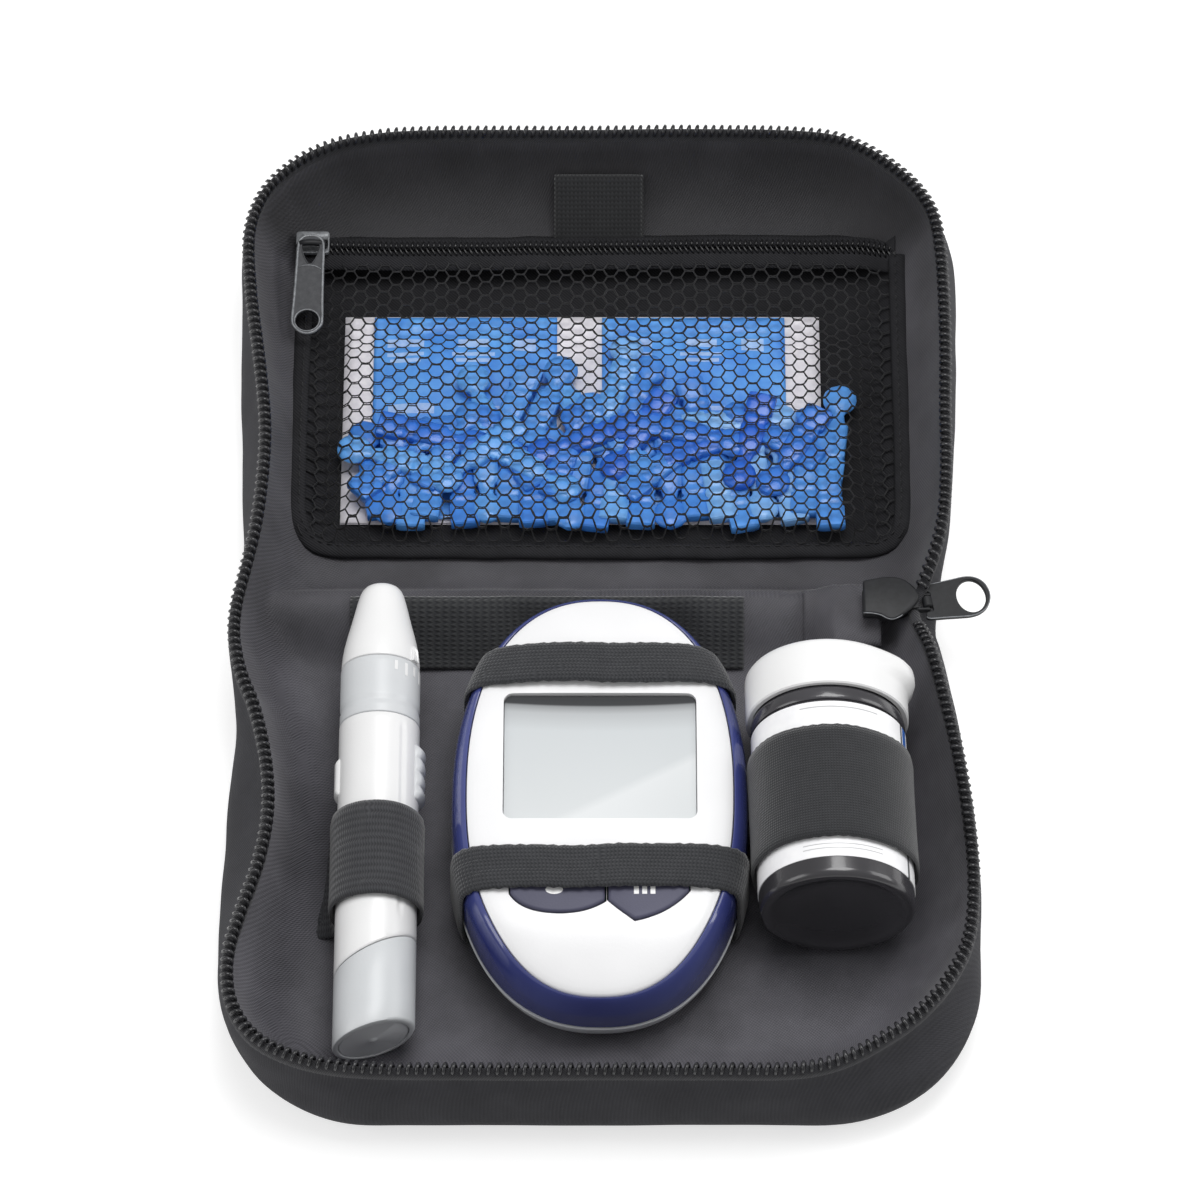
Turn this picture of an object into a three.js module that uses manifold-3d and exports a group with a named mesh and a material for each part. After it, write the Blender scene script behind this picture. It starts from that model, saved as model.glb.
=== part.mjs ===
// A zipped pouch for a glucose meter, lying open: the base with the meter, the lancing pen and the vial of
// test strips in front, and the lid with its mesh pocket behind. Sizes are in millimetres, X runs to the
// right, Y from the base to the lid and Z up, with the fold along X where Y is zero.
import * as THREE from 'three';
import { mergeVertices } from 'three/addons/utils/BufferGeometryUtils.js';
import Module from 'manifold-3d';

const wasm = await Module();
wasm.setup();

// Clearances shared by all pieces
const gap = 0.3; // left between pieces that touch
const overrun = 6; // how far a cutting shape runs past what it cuts

// Sides of the round forms, from large to small
const sides = { ring: 16, barrel: 14, eye: 12, bar: 10, wide: 6, corner: 4, small: 3 };

// What the base holds, and where: the meter in the middle, the pen on its left and the vial on its right
const meter = { foldGap: 3, length: 86.4, width: 53.6, powerShare: 2.3, steps: 32 };
const meterHalf = meter.width / 2;
meter.y = -(meter.foldGap + meter.length / 2);
// The lancing pen, measured along its own axis from its rear end
const pen = { beside: 14.2, tip: 0.6, z: 11.4, tilt: 3.8, radius: 7.5, length: 93.5, sides: 20 };
pen.x = -(meterHalf + pen.beside);
pen.y = pen.tip - pen.length;
// The vial of test strips, measured along its own axis from its closed end
const vial = {
  beside: 16.7, y: -71.1, radius: 14.25, wall: 1.35, floor: 1.6, edge: 1, shoulder: 40.8, neck: 43.5,
  neckRadius: 13.6, sides: 28,
};
vial.x = meterHalf + vial.beside;

// The halves are as deep as the meter and the pen need, and as wide as the pen and the vial need
const halves = { zipInset: 2.2, meterRoom: 17.6, penRoom: 13.5, leftRoom: 27.2, rightRoom: 24.3 };
halves.depth = Math.max(meter.foldGap + meter.length + halves.meterRoom, pen.length + halves.penRoom);
halves.left = halves.leftRoom - pen.x;
halves.right = halves.rightRoom + vial.x;

// The fold between the halves
const fold = { height: 23.6, floorEdge: 9.2, rimEdge: 5.5, kneeHeight: 3.6 };

// The two outlines of a half, seen from above: the zip line round the rim and the belly low on the side
const side = { taperLength: 60, dentAt: 43, dentReach: 36 };
const zip = {
  ...side, right: halves.right, left: halves.left, depth: halves.depth - halves.zipInset, corner: 26,
  rightTaper: 7.5, leftTaper: 0, dent: 6,
};
const bellyProud = { right: 1.8, left: 1.4 };
const belly = {
  ...side, right: halves.right + bellyProud.right, left: halves.left + bellyProud.left, depth: halves.depth,
  corner: 28, rightTaper: 6, leftTaper: 3.2, dent: 0,
};
const taperShare = 1.5; // power of the narrowing towards the fold
const sideSteps = 7;
const cornerSteps = 7;

// Moulded shell of a half
const shell = {
  rimDrop: 6.6, rimLip: 1.9, rimInside: 0.6, soleInset: 6.4, kneeInset: 2.6, kneeHeight: 2.3, bellyHeight: 7.5,
  floor: 2.4, soleWall: 0.4, kneeWall: 1.4, wall: 2.5, innerKneeRise: 2.6, innerBellyRise: 1,
};
shell.height = fold.height - shell.rimDrop;
const lining = { thickness: 0.8, kneeRiseShare: 0.7, bellyRiseShare: 0.3, spreadShare: 1.15 };
const floorTop = shell.floor + gap + lining.thickness;
const seat = floorTop + gap; // height at which loose things lie

// The soft fold and the elastic band sewn over it
const spine = {
  inset: 8, foot: 7.9, footHeight: 1.9, crestY: 2.6, crestHeight: 10.4, thickness: 1.6, steps: 8,
  pressedHalf: 14, freeHalf: 21, freeKneeY: -5.2, freeKneeZ: 6, freeNeckY: -1.5, pressedKneeY: -0.6,
  pressedKneeZ: 0.9, pressedNeckY: -0.4, lidNeckY: 5.2, lidKneeY: 6.6, lidKneeZ: 6,
};
spine.length = halves.left + halves.right - 2 * spine.inset;
const webbing = { left: -47, right: 27.3, thickness: 0.7, lift: 0.6 };

// The zip: its tape, its rows of teeth, its slider at the fold and the chain's end that leads to it
const tape = { width: 3.3, thickness: 0.8, steps: 40 };
const teeth = { pitch: 4.5, tooth: 1.7, width: 2.6, strip: 0.8, mesh: 0.4, rowStart: 4.2 };
const slider = {
  inset: 5.3, y: -1.5, length: 10, width: 9.6, plate: 1, channel: 2, postLeft: 1.3, postLength: 3,
  postWidth: 2.4, lip: 0.9, lipDrop: 0.5, armReach: 3, armInside: 1.7, armWidth: 1, barRadius: 0.7,
};
slider.x = spine.length / 2 - slider.inset;
const zipEnd = {
  leftReach: 17.7, bendReach: 11.7, rightReach: 3.3, slotReach: 6.2, back: 5, front: -8.5, thickness: 0.6,
  height: 15.9, slotWidth: 6, chainWidth: 4.4, chainHeight: 1.4,
};
zipEnd.left = slider.x - zipEnd.leftReach;
zipEnd.bend = slider.x - zipEnd.bendReach;
zipEnd.right = slider.x + zipEnd.rightReach;
zipEnd.slotLeft = slider.x - zipEnd.slotReach;
const pull = {
  eyeBore: 1, eyeRadius: 1.9, eyeWidth: 2.6, neck: 3, shoulder: 5, width: 7, length: 11.5, thickness: 1.2,
  hole: 5.6, holeEdge: 0.7,
};

// The glucose meter's pieces
const housing = {
  height: 8, soleInset: 4.6, kneeInset: 1.9, kneeHeight: 1.4, sideInset: 0.5, sideHeight: 4,
  floor: 1.6, cavityKnee: 3, floorInset: 6.4, cavityKneeInset: 3.6, wall: 1.8,
};
const bezel = {
  bottom: 8.3, straightTop: 12.5, curveA: 16, curveAInset: 0.7, curveB: 18.2, curveBInset: 2.2, top: 19.3,
  topInset: 3.6, wallBend: 15.5, innerBend: 17.6, innerBendInset: 3.2, innerTopInset: 4,
};
const face = { bottom: 17, edge: 19, top: 20.2, edgeInset: 4.3, edgeTopInset: 5.3, topInset: 9 };
const lcd = {
  y: 6.8, inset: 9.1, height: 26.8, corner: 2, top: 19.4, panelInset: 6.8, panelHeight: 31,
  panelBottom: 12.5,
};
lcd.width = meter.width - 2 * lcd.inset;
lcd.panelWidth = meter.width - 2 * lcd.panelInset;
const board = { bottom: 10.6, thickness: 1.6, bossRadius: 2, bossInset: 12.2, bossBackY: 24, bossFrontY: -8 };
board.bossX = meterHalf - board.bossInset;
const cell = { radius: 10, thickness: 3.2, y: -22 };
const door = {
  inset: 14.8, back: -10, front: -36, travel: 7, thickness: 1, rib: 0.5, ribs: 4, ribPitch: 1.6,
};
door.width = meter.width - 2 * door.inset;
const port = { width: 10, depth: 6, bottom: 6.9, top: 10.3, slotWidth: 6.4, slotHeight: 1 };
const button = {
  bottom: 13.2, top: 20.5, travel: 0.7, leftInset: 12.3, middle: 0.6, parting: 1.2, rightInset: 13,
  back: -15.6, shoulder: -21, leftLow: -26.8, rightLow: -28.3, pointX: 5.8,
};
button.left = button.leftInset - meterHalf;
button.right = meterHalf - button.rightInset;

// Elastic straps over the meter
const strap = {
  thickness: 0.9, top: 25.6, tabReach: 4.4, bendReach: 1.8, upperBack: -15, upperFront: -26, upperInset: 1.2,
  lowerBack: -59.3, lowerFront: -70.9, lowerProud: 0.05, kneeHeight: 6.2, shoulderHeight: 18,
  shoulderLean: 2.6,
};
strap.tabEnd = meterHalf + strap.tabReach;
strap.tabBend = meterHalf + strap.bendReach;

// The lancing pen's pieces
const sleeve = {
  front: 16, frontSlant: 5, rearSlant: 1.2, rim: 1, rimInset: 0.9, endDepth: 4.4, bore: 5.9, endRecess: 1.4,
  recessRadius: 6.1,
};
const toTip = {
  springRear: 62, springFront: 48, bore: 62.5, carrierRear: 47.5, rib: 44.9, ribEnd: 37, releaseEnd: 33,
  needleRear: 32, barrel: 30.9, dialRear: 30.6, carrierFront: 19.5, dialFront: 19, nose: 18.7, neck: 16.5,
  needleShoulder: 14.5, waist: 9.5, needleFront: 8.5, rounding: 1.5,
};
const barrel = {
  front: pen.length - toTip.barrel, spigotRear: 4.8, spigotRadius: 5.6, spigotBore: 4.6,
  boreStart: pen.length - toTip.bore, bore: 5.2, neckRadius: 6, neckFront: pen.length - toTip.neck,
  ribStart: pen.length - toTip.rib, ribEnd: pen.length - toTip.ribEnd, ribProud: 0.9, ribHeight: 6,
};
const release = {
  start: pen.length - toTip.rib, end: pen.length - toTip.releaseEnd, height: 7, depth: 1.4, proud: 1,
  travel: 0.8, bumps: 4, bump: 0.5,
};
const dial = {
  rear: pen.length - toTip.dialRear, front: pen.length - toTip.dialFront, bore: 6.3, groove: 0.4,
};
const nose = {
  rear: pen.length - toTip.nose, rearRadius: 7.3, waistAt: pen.length - toTip.waist, waistRadius: 5.9,
  tipAt: pen.length - toTip.rounding, tipRadius: 4.2, endRadius: 3.3, wall: 1, tipHole: 1.2,
};
const carrier = {
  rear: pen.length - toTip.carrierRear, front: pen.length - toTip.carrierFront, radius: 4.8,
  stemRadius: 2.6, collar: 4, bore: 2.2, boreDepth: 13,
};
const needle = {
  rear: pen.length - toTip.needleRear, front: pen.length - toTip.needleFront, radius: 1.9,
  shoulder: pen.length - toTip.needleShoulder, tipRadius: 0.5,
};
const spring = {
  rear: pen.length - toTip.springRear, front: pen.length - toTip.springFront, radius: 3.9, wire: 0.45,
  curls: 6, curlSteps: 8, wireSides: 5,
};
const penLoop = {
  back: -44.8, front: -65, clearance: 0.6, thickness: 0.9, leftReach: 12, rightReach: 3.5, tabBack: -47.4,
  tabFront: -71, footHalf: 3.6,
};
penLoop.tabLeft = pen.x - penLoop.leftReach;
penLoop.tabRight = pen.x + penLoop.rightReach;

// The vial's cap, its loop and its strips
const cap = {
  start: 41.5, inside: 44, top: 50.5, radius: 15.1, bore: 14, edge: 1, tabReach: 16.8, tabHalf: 4,
  tabThickness: 3,
};
const vialLoop = { back: -38.8, front: -68.1, thickness: 0.9 };
const vialZ = seat + vialLoop.thickness + gap + vial.radius;
const strips = { start: 2, end: 36, halfWidth: 6, low: -11, high: -5.5 };

// The mesh pocket in the lid and what it holds, measured from the fold outwards
const pocket = {
  inset: 9.8, front: 17.5, back: 82, corner: 8, binding: 3.2, top: 9.2, netThickness: 0.6, rim: 2.2,
  columns: 13, rows: 8, strandShare: 0.17,
};
pocket.half = (halves.left + halves.right) / 2 - pocket.inset;
const netBottom = pocket.top + gap;
const netTop = netBottom + pocket.netThickness;
const pocketZip = {
  y: 86.4, leftProud: 1.8, rightProud: 2.3, slit: 1.3, width: 3.8, coil: 0.8, coilPitch: 3, skirt: 0.8,
  skirtInset: 1.7,
};
pocketZip.left = -(pocket.half + pocketZip.leftProud);
pocketZip.right = pocket.half + pocketZip.rightProud;
pocketZip.skirtHalf = pocket.half - pocketZip.skirtInset;
const pocketSlider = {
  inset: 3.5, length: 6.4, width: 5.4, plate: 0.9, post: 0.9, postLength: 2.4, bar: 0.6, barRise: 1.9,
  earWidth: 0.8, earInside: 1.6,
};
pocketSlider.x = pocketZip.left + pocketSlider.inset;
const pocketPull = {
  length: 20.5, width: 6.3, thickness: 1, hole: 4.5, holeEdge: 2, bore: 0.9, eye: 1.5, eyeWidth: 2.6,
};
const leaflet = { left: -50, right: 43, front: 23.8, back: 74.6, thickness: 0.6, fold: 8 };
const sachet = {
  width: 35.8, leftAt: -44.2, rightAt: 0.4, front: 24.5, back: 73.9, thickness: 1, notch: 1.2, notches: 5,
};
const lancet = {
  count: 10, first: -45.5, pitch: 10.1, y: 26, length: 24, height: 3, head: 3.2, neck: 1, neckLength: 2,
  half: 2.6, foot: 1.9, footLength: 5, turn: 4,
};
const lidLoop = { half: 9, front: 91.2, back: 97.6, thickness: 0.9, rise: 2.6, foot: 3 };

const quarter = Math.PI / 2;
const radians = (degrees) => THREE.MathUtils.degToRad(degrees);

// Closed solids from outlines

function plain(geometry) {
  geometry.deleteAttribute('normal');
  geometry.deleteAttribute('uv');
  return mergeVertices(geometry);
}

function solid(geometry) {
  const bare = plain(geometry.clone());
  const vertProperties = new Float32Array(bare.attributes.position.array);
  const triVerts = new Uint32Array(bare.index.array);
  return new wasm.Manifold(new wasm.Mesh({ numProp: 3, vertProperties, triVerts }));
}

function fromSolid(manifold) {
  const mesh = manifold.getMesh();
  const geometry = new THREE.BufferGeometry();
  geometry.setAttribute('position', new THREE.BufferAttribute(new Float32Array(mesh.vertProperties), 3));
  geometry.setIndex(new THREE.BufferAttribute(new Uint32Array(mesh.triVerts), 1));
  return geometry;
}

function join(...parts) {
  return fromSolid(parts.map(solid).reduce((whole, part) => whole.add(part)));
}

function cut(body, ...tools) {
  return fromSolid(tools.map(solid).reduce((rest, tool) => rest.subtract(tool), solid(body)));
}

function outline(points) {
  return new THREE.Shape(points.map((point) => new THREE.Vector2(...point)));
}

// A slab with an outline in X and Y between two heights
function plate(shape, bottom, top, curveSegments = sides.wide) {
  const options = { depth: top - bottom, bevelEnabled: false, curveSegments };
  return new THREE.ExtrudeGeometry(shape, options).translate(0, 0, bottom);
}

// A bar with an outline in Y and Z, running along X
const alongTurn = new THREE.Matrix4().set(0, 0, 1, 0, 1, 0, 0, 0, 0, 1, 0, 0, 0, 0, 0, 1);

function alongX(shape, left, right, curveSegments = sides.wide) {
  return plate(shape, left, right, curveSegments).applyMatrix4(alongTurn);
}

// A bar with an outline in X and Z, running along Y
function alongY(shape, front, back, curveSegments = sides.wide) {
  const turn = new THREE.Matrix4().set(1, 0, 0, 0, 0, 0, -1, 0, 0, 1, 0, 0, 0, 0, 0, 1);
  return plate(shape, -back, -front, curveSegments).applyMatrix4(turn);
}

function box(x0, x1, y0, y1, z0, z1) {
  const geometry = new THREE.BoxGeometry(x1 - x0, y1 - y0, z1 - z0);
  return geometry.translate((x0 + x1) / 2, (y0 + y1) / 2, (z0 + z1) / 2);
}

function roundedBox(x0, x1, y0, y1, radius) {
  const shape = new THREE.Shape();
  shape.absarc(x1 - radius, y1 - radius, radius, 0, quarter);
  shape.absarc(x0 + radius, y1 - radius, radius, quarter, 2 * quarter);
  shape.absarc(x0 + radius, y0 + radius, radius, 2 * quarter, 3 * quarter);
  shape.absarc(x1 - radius, y0 + radius, radius, 3 * quarter, 4 * quarter);
  return shape;
}

function disc(x, y, radius) {
  const shape = new THREE.Shape();
  shape.absarc(x, y, radius, 0, 4 * quarter);
  return shape;
}

// A solid through rings of points that run anticlockwise, from the lowest ring to the highest
function loft(rings) {
  const count = rings[0].length;
  const last = (rings.length - 1) * count;
  const index = [];
  for (let start = 0; start < last; start += count) {
    for (let i = 0; i < count; i += 1) {
      const here = start + i;
      const next = start + ((i + 1) % count);
      index.push(here, next, next + count, here, next + count, here + count);
    }
  }
  for (const [a, b, c] of THREE.ShapeUtils.triangulateShape(rings[0], [])) index.push(a, c, b);
  for (const [a, b, c] of THREE.ShapeUtils.triangulateShape(rings.at(-1), [])) {
    index.push(a + last, b + last, c + last);
  }
  const geometry = new THREE.BufferGeometry();
  const places = rings.flat().flatMap((point) => point.toArray());
  geometry.setAttribute('position', new THREE.Float32BufferAttribute(places, 3));
  geometry.setIndex(index);
  return geometry;
}

// A shape revolved about the Y axis, from a profile of radius and place along the axis
function turned(profile, sides) {
  const points = profile.map((point) => new THREE.Vector2(...point));
  return new THREE.LatheGeometry([...points, points[0].clone()], sides);
}

function cylinder(radius, from, to, sides) {
  return turned([[0, from], [radius, from], [radius, to], [0, to]], sides);
}

// Points moved sideways off a line, to the right of its direction
function offset(points, distance) {
  return points.map((point, i) => {
    const before = points[Math.max(i - 1, 0)];
    const after = points[Math.min(i + 1, points.length - 1)];
    const along = after.clone().sub(before).normalize();
    return new THREE.Vector2(point.x + along.y * distance, point.y - along.x * distance);
  });
}

// A flat strip of even thickness that follows a line
function ribbon(points, thickness) {
  return new THREE.Shape([...offset(points, thickness / 2), ...offset(points, -thickness / 2).reverse()]);
}

// The other half of the case: the same piece mirrored over the fold
function mirrored(geometry) {
  const bare = plain(geometry.clone());
  bare.scale(1, -1, 1);
  const { array } = bare.index;
  for (let i = 0; i < array.length; i += 3) [array[i], array[i + 1]] = [array[i + 1], array[i]];
  return bare;
}

// The case

// The edge of a half from the fold's left end round the front to its right end
function halfOutline(form, inset, start = 0) {
  const [left, right, depth, corner] = ['left', 'right', 'depth', 'corner'].map((key) => form[key] - inset);
  const straight = depth - corner;
  const narrow = (away) => Math.max(0, 1 - away / form.taperLength) ** taperShare;
  const dent = (away) => {
    const from = (away - form.dentAt) / form.dentReach;
    return Math.abs(from) < 1 ? form.dent * (1 + Math.cos(Math.PI * from)) / 2 : 0;
  };
  const points = [];
  for (let i = 0; i < sideSteps; i += 1) {
    const away = start + (straight - start) * i / sideSteps;
    points.push(new THREE.Vector2(form.leftTaper * narrow(away) + dent(away) - left, -away));
  }
  for (let i = 0; i <= cornerSteps; i += 1) {
    const angle = quarter * i / cornerSteps;
    const x = corner - left - corner * Math.cos(angle);
    points.push(new THREE.Vector2(x, -straight - corner * Math.sin(angle)));
  }
  for (let i = 0; i <= cornerSteps; i += 1) {
    const angle = quarter * i / cornerSteps;
    const x = right - corner + corner * Math.sin(angle);
    points.push(new THREE.Vector2(x, -straight - corner * Math.cos(angle)));
  }
  for (let i = sideSteps - 1; i >= 0; i -= 1) {
    const away = start + (straight - start) * i / sideSteps;
    points.push(new THREE.Vector2(right - form.rightTaper * narrow(away), -away));
  }
  return points;
}

// A level ring of a half, closed past the fold
function caseRing([height, form, inset]) {
  const edge = halfOutline(form, inset);
  const closed = [...edge, new THREE.Vector2(edge.at(-1).x, overrun), new THREE.Vector2(edge[0].x, overrun)];
  return closed.map((point) => new THREE.Vector3(point.x, point.y, height));
}

// The levels of the inside of the shell, or of a skin laid inside it
function insideLevels(skin) {
  const spread = skin * lining.spreadShare;
  const knee = shell.kneeHeight + shell.innerKneeRise + skin * lining.kneeRiseShare;
  const bellyAt = shell.bellyHeight + shell.innerBellyRise + skin * lining.bellyRiseShare;
  return [
    [shell.floor + skin, belly, shell.soleInset + shell.soleWall + skin],
    [knee, belly, shell.kneeInset + shell.kneeWall + spread],
    [bellyAt, belly, shell.wall + spread],
    [shell.height, zip, shell.rimInside + spread],
  ];
}

// Both halves stop short of the fold along a slanting line
function foldCut() {
  const low = [-fold.floorEdge, -overrun];
  const knee = [-fold.floorEdge, fold.kneeHeight];
  const rim = [-fold.rimEdge, shell.height];
  const above = [-fold.rimEdge, shell.height + 2 * overrun];
  const past = 2 * overrun;
  const section = outline([low, [past, -overrun], [past, shell.height + 2 * overrun], above, rim, knee]);
  return alongX(section, -belly.left - overrun, belly.right + overrun);
}

function tray(outside, inside) {
  const rim = inside.at(-1);
  const above = [shell.height + overrun, rim[1], rim[2]];
  return cut(loft(outside.map(caseRing)), loft([...inside, above].map(caseRing)), foldCut());
}

function shellHalf() {
  const outside = [
    [0, belly, shell.soleInset],
    [shell.kneeHeight, belly, shell.kneeInset],
    [shell.bellyHeight, belly, 0],
    [shell.height, zip, -shell.rimLip],
  ];
  return tray(outside, insideLevels(0));
}

function liningHalf() {
  return tray(insideLevels(gap), insideLevels(gap + lining.thickness));
}

// The zip line as a path, and evenly spaced points on it
function zipLine() {
  const points = halfOutline(zip, 0, teeth.rowStart);
  const line = new THREE.CurvePath();
  for (let i = 1; i < points.length; i += 1) line.add(new THREE.LineCurve(points[i - 1], points[i]));
  return line;
}

const tapeBottom = shell.height + gap;
const tapeTop = tapeBottom + tape.width;

function tapeHalf() {
  const line = zipLine();
  const points = Array.from({ length: tape.steps + 1 }, (_, i) => line.getPoint(i / tape.steps));
  return plate(ribbon(points, tape.thickness), tapeBottom, tapeTop);
}

// A row of teeth on its strip: the two rows mesh because one starts half a pitch later
function teethRow(firstTooth) {
  const line = zipLine();
  const total = line.getLength();
  const bottom = tapeTop + gap;
  const middle = bottom + teeth.strip;
  const top = fold.height + teeth.mesh;
  const stops = firstTooth > 0 ? [0] : [];
  for (let at = firstTooth; at + teeth.tooth < total; at += teeth.pitch) stops.push(at, at + teeth.tooth);
  const points = stops.map((at) => line.getPoint(at / total));
  const outer = offset(points, teeth.width / 2);
  const inner = offset(points, -teeth.width / 2);
  const corners = [];
  const corner = (edge, i, height) => [edge[i].x, edge[i].y, height];
  const quad = (a, b, c, d) => corners.push(...a, ...b, ...c, ...a, ...c, ...d);
  const level = (i, height) => [corner(outer, i, height), corner(inner, i, height)];
  const wall = (i, low, high, forward) => {
    const [outLow, inLow] = level(i, low);
    const [outHigh, inHigh] = level(i, high);
    if (forward) quad(outLow, inLow, inHigh, outHigh);
    else quad(outLow, outHigh, inHigh, inLow);
  };
  const flank = (i, low, high) => {
    const next = i + 1;
    quad(corner(outer, i, low), corner(outer, next, low), corner(outer, next, high), corner(outer, i, high));
    quad(corner(inner, next, low), corner(inner, i, low), corner(inner, i, high), corner(inner, next, high));
  };
  for (let i = 0; i + 1 < points.length; i += 1) {
    const onTooth = (i % 2 === 0) === (firstTooth === 0);
    const roof = onTooth ? top : middle;
    flank(i, bottom, middle);
    quad(...[[outer, i], [inner, i], [inner, i + 1], [outer, i + 1]].map(([e, k]) => corner(e, k, bottom)));
    quad(...[[outer, i], [outer, i + 1], [inner, i + 1], [inner, i]].map(([e, k]) => corner(e, k, roof)));
    if (onTooth) {
      flank(i, middle, top);
      wall(i, middle, top, false);
      wall(i + 1, middle, top, true);
    }
  }
  wall(0, bottom, middle, false);
  wall(points.length - 1, bottom, middle, true);
  const geometry = new THREE.BufferGeometry();
  geometry.setAttribute('position', new THREE.Float32BufferAttribute(corners, 3));
  return plain(geometry);
}

// The base side of the soft fold: free beside the meter, pressed down under the meter's end
function spineRise(press) {
  const { lerp } = THREE.MathUtils;
  const { foot, footHeight, crestY, crestHeight } = spine;
  return new THREE.CubicBezierCurve(
    new THREE.Vector2(-foot, footHeight),
    new THREE.Vector2(
      lerp(spine.freeKneeY, spine.pressedKneeY, press), lerp(spine.freeKneeZ, spine.pressedKneeZ, press),
    ),
    new THREE.Vector2(lerp(spine.freeNeckY, spine.pressedNeckY, press), crestHeight),
    new THREE.Vector2(crestY, crestHeight),
  );
}

function spineFall() {
  const { foot, footHeight, crestY, crestHeight } = spine;
  return new THREE.CubicBezierCurve(
    new THREE.Vector2(crestY, crestHeight), new THREE.Vector2(spine.lidNeckY, crestHeight),
    new THREE.Vector2(spine.lidKneeY, spine.lidKneeZ), new THREE.Vector2(foot, footHeight),
  );
}

// A strip that crosses the fold, drawn at a few places along X from the line that it follows there
function acrossFold(left, right, thickness, lineAt) {
  const { pressedHalf, freeHalf } = spine;
  const middle = [[-freeHalf, 0], [-pressedHalf, 1], [pressedHalf, 1], [freeHalf, 0]];
  const stations = [[left, 0], ...middle, [right, 0]];
  const rings = stations.map(([x, press]) => {
    const line = lineAt(press);
    const edge = [...offset(line, thickness / 2), ...offset(line, -thickness / 2).reverse()];
    return edge.map((point) => new THREE.Vector3(point.x, point.y, x));
  });
  return loft(rings).applyMatrix4(alongTurn);
}

function spinePanel() {
  const half = spine.length / 2;
  const line = (press) => [
    ...spineRise(press).getPoints(spine.steps), ...spineFall().getPoints(spine.steps).slice(1),
  ];
  return acrossFold(-half, half, spine.thickness, line);
}

// The band lies on the base side of the fold, up to its crest
function spineWebbing() {
  const rise = spine.thickness / 2 + webbing.lift + webbing.thickness / 2;
  const line = (press) => offset(spineRise(press).getPoints(spine.steps), -rise).slice(1);
  return acrossFold(webbing.left, webbing.right, webbing.thickness, line);
}

// The end of the zip: its tape rises from the crest of the fold and carries the last stretch of chain
function zipEndTape() {
  const half = zipEnd.thickness / 2;
  const crest = spine.crestHeight + spine.thickness / 2 + gap + half;
  const line = [[zipEnd.left, crest], [zipEnd.bend, zipEnd.height], [zipEnd.right, zipEnd.height]];
  const points = line.map((point) => new THREE.Vector2(...point));
  const strip = alongY(ribbon(points.reverse(), zipEnd.thickness), zipEnd.front, zipEnd.back);
  const chainHalf = zipEnd.chainHeight / 2;
  const chain = box(
    zipEnd.bend, zipEnd.slotLeft, slider.y - zipEnd.chainWidth / 2, slider.y + zipEnd.chainWidth / 2,
    zipEnd.height - chainHalf, zipEnd.height + chainHalf,
  );
  const slot = box(
    zipEnd.slotLeft, zipEnd.right + overrun, slider.y - zipEnd.slotWidth / 2, slider.y + zipEnd.slotWidth / 2,
    zipEnd.height - overrun, zipEnd.height + overrun,
  );
  return cut(join(strip, chain), slot);
}

// The slider: two plates held apart by a post, with lips that guide the chain and a bar for the pull
const barX = slider.x + slider.length / 2 + slider.armReach - slider.armWidth;

function zipSlider() {
  const { x, y } = slider;
  const halfChannel = slider.channel / 2;
  const left = x - slider.length / 2;
  const right = x + slider.length / 2;
  const halfWidth = slider.width / 2;
  const shield = outline([
    [left, y - halfWidth + slider.lip], [left + slider.lip, y - halfWidth],
    [right - halfWidth / 2, y - halfWidth], [right, y - halfWidth / 2], [right, y + halfWidth / 2],
    [right - halfWidth / 2, y + halfWidth], [left + slider.lip, y + halfWidth],
    [left, y + halfWidth - slider.lip],
  ]);
  const middle = zipEnd.height;
  const low = middle - halfChannel;
  const high = middle + halfChannel;
  const postX = x + slider.postLeft;
  const postMiddle = postX + slider.postLength / 2;
  const post = outline([
    [postX, y], [postMiddle, y - slider.postWidth / 2],
    [postX + slider.postLength, y], [postMiddle, y + slider.postWidth / 2],
  ]);
  const pieces = [
    plate(shield, low - slider.plate, low),
    plate(shield, high, high + slider.plate),
    plate(post, low - slider.plate / 2, high + slider.plate / 2),
  ];
  for (const hand of [-1, 1]) {
    const lipEdge = y + hand * halfWidth;
    const lipInside = y + hand * (halfWidth - slider.lip);
    const lip = [Math.min(lipEdge, lipInside), Math.max(lipEdge, lipInside)];
    const reach = right - halfWidth / 2;
    pieces.push(box(left + slider.lip, reach, ...lip, high - slider.lipDrop, high + slider.plate / 2));
    pieces.push(box(left + slider.lip, reach, ...lip, low - slider.plate / 2, low + slider.lipDrop));
    const armInside = y + hand * slider.armInside;
    const armOutside = y + hand * (slider.armInside + slider.armWidth);
    const arm = [Math.min(armInside, armOutside), Math.max(armInside, armOutside)];
    const armRight = barX + slider.armWidth;
    pieces.push(box(right - slider.armWidth, armRight, ...arm, low - slider.plate, high + slider.plate));
  }
  const barHalf = slider.armInside + slider.armWidth / 2;
  pieces.push(cylinder(slider.barRadius, -barHalf, barHalf, sides.bar).translate(barX, y, middle));
  return join(...pieces);
}

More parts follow.
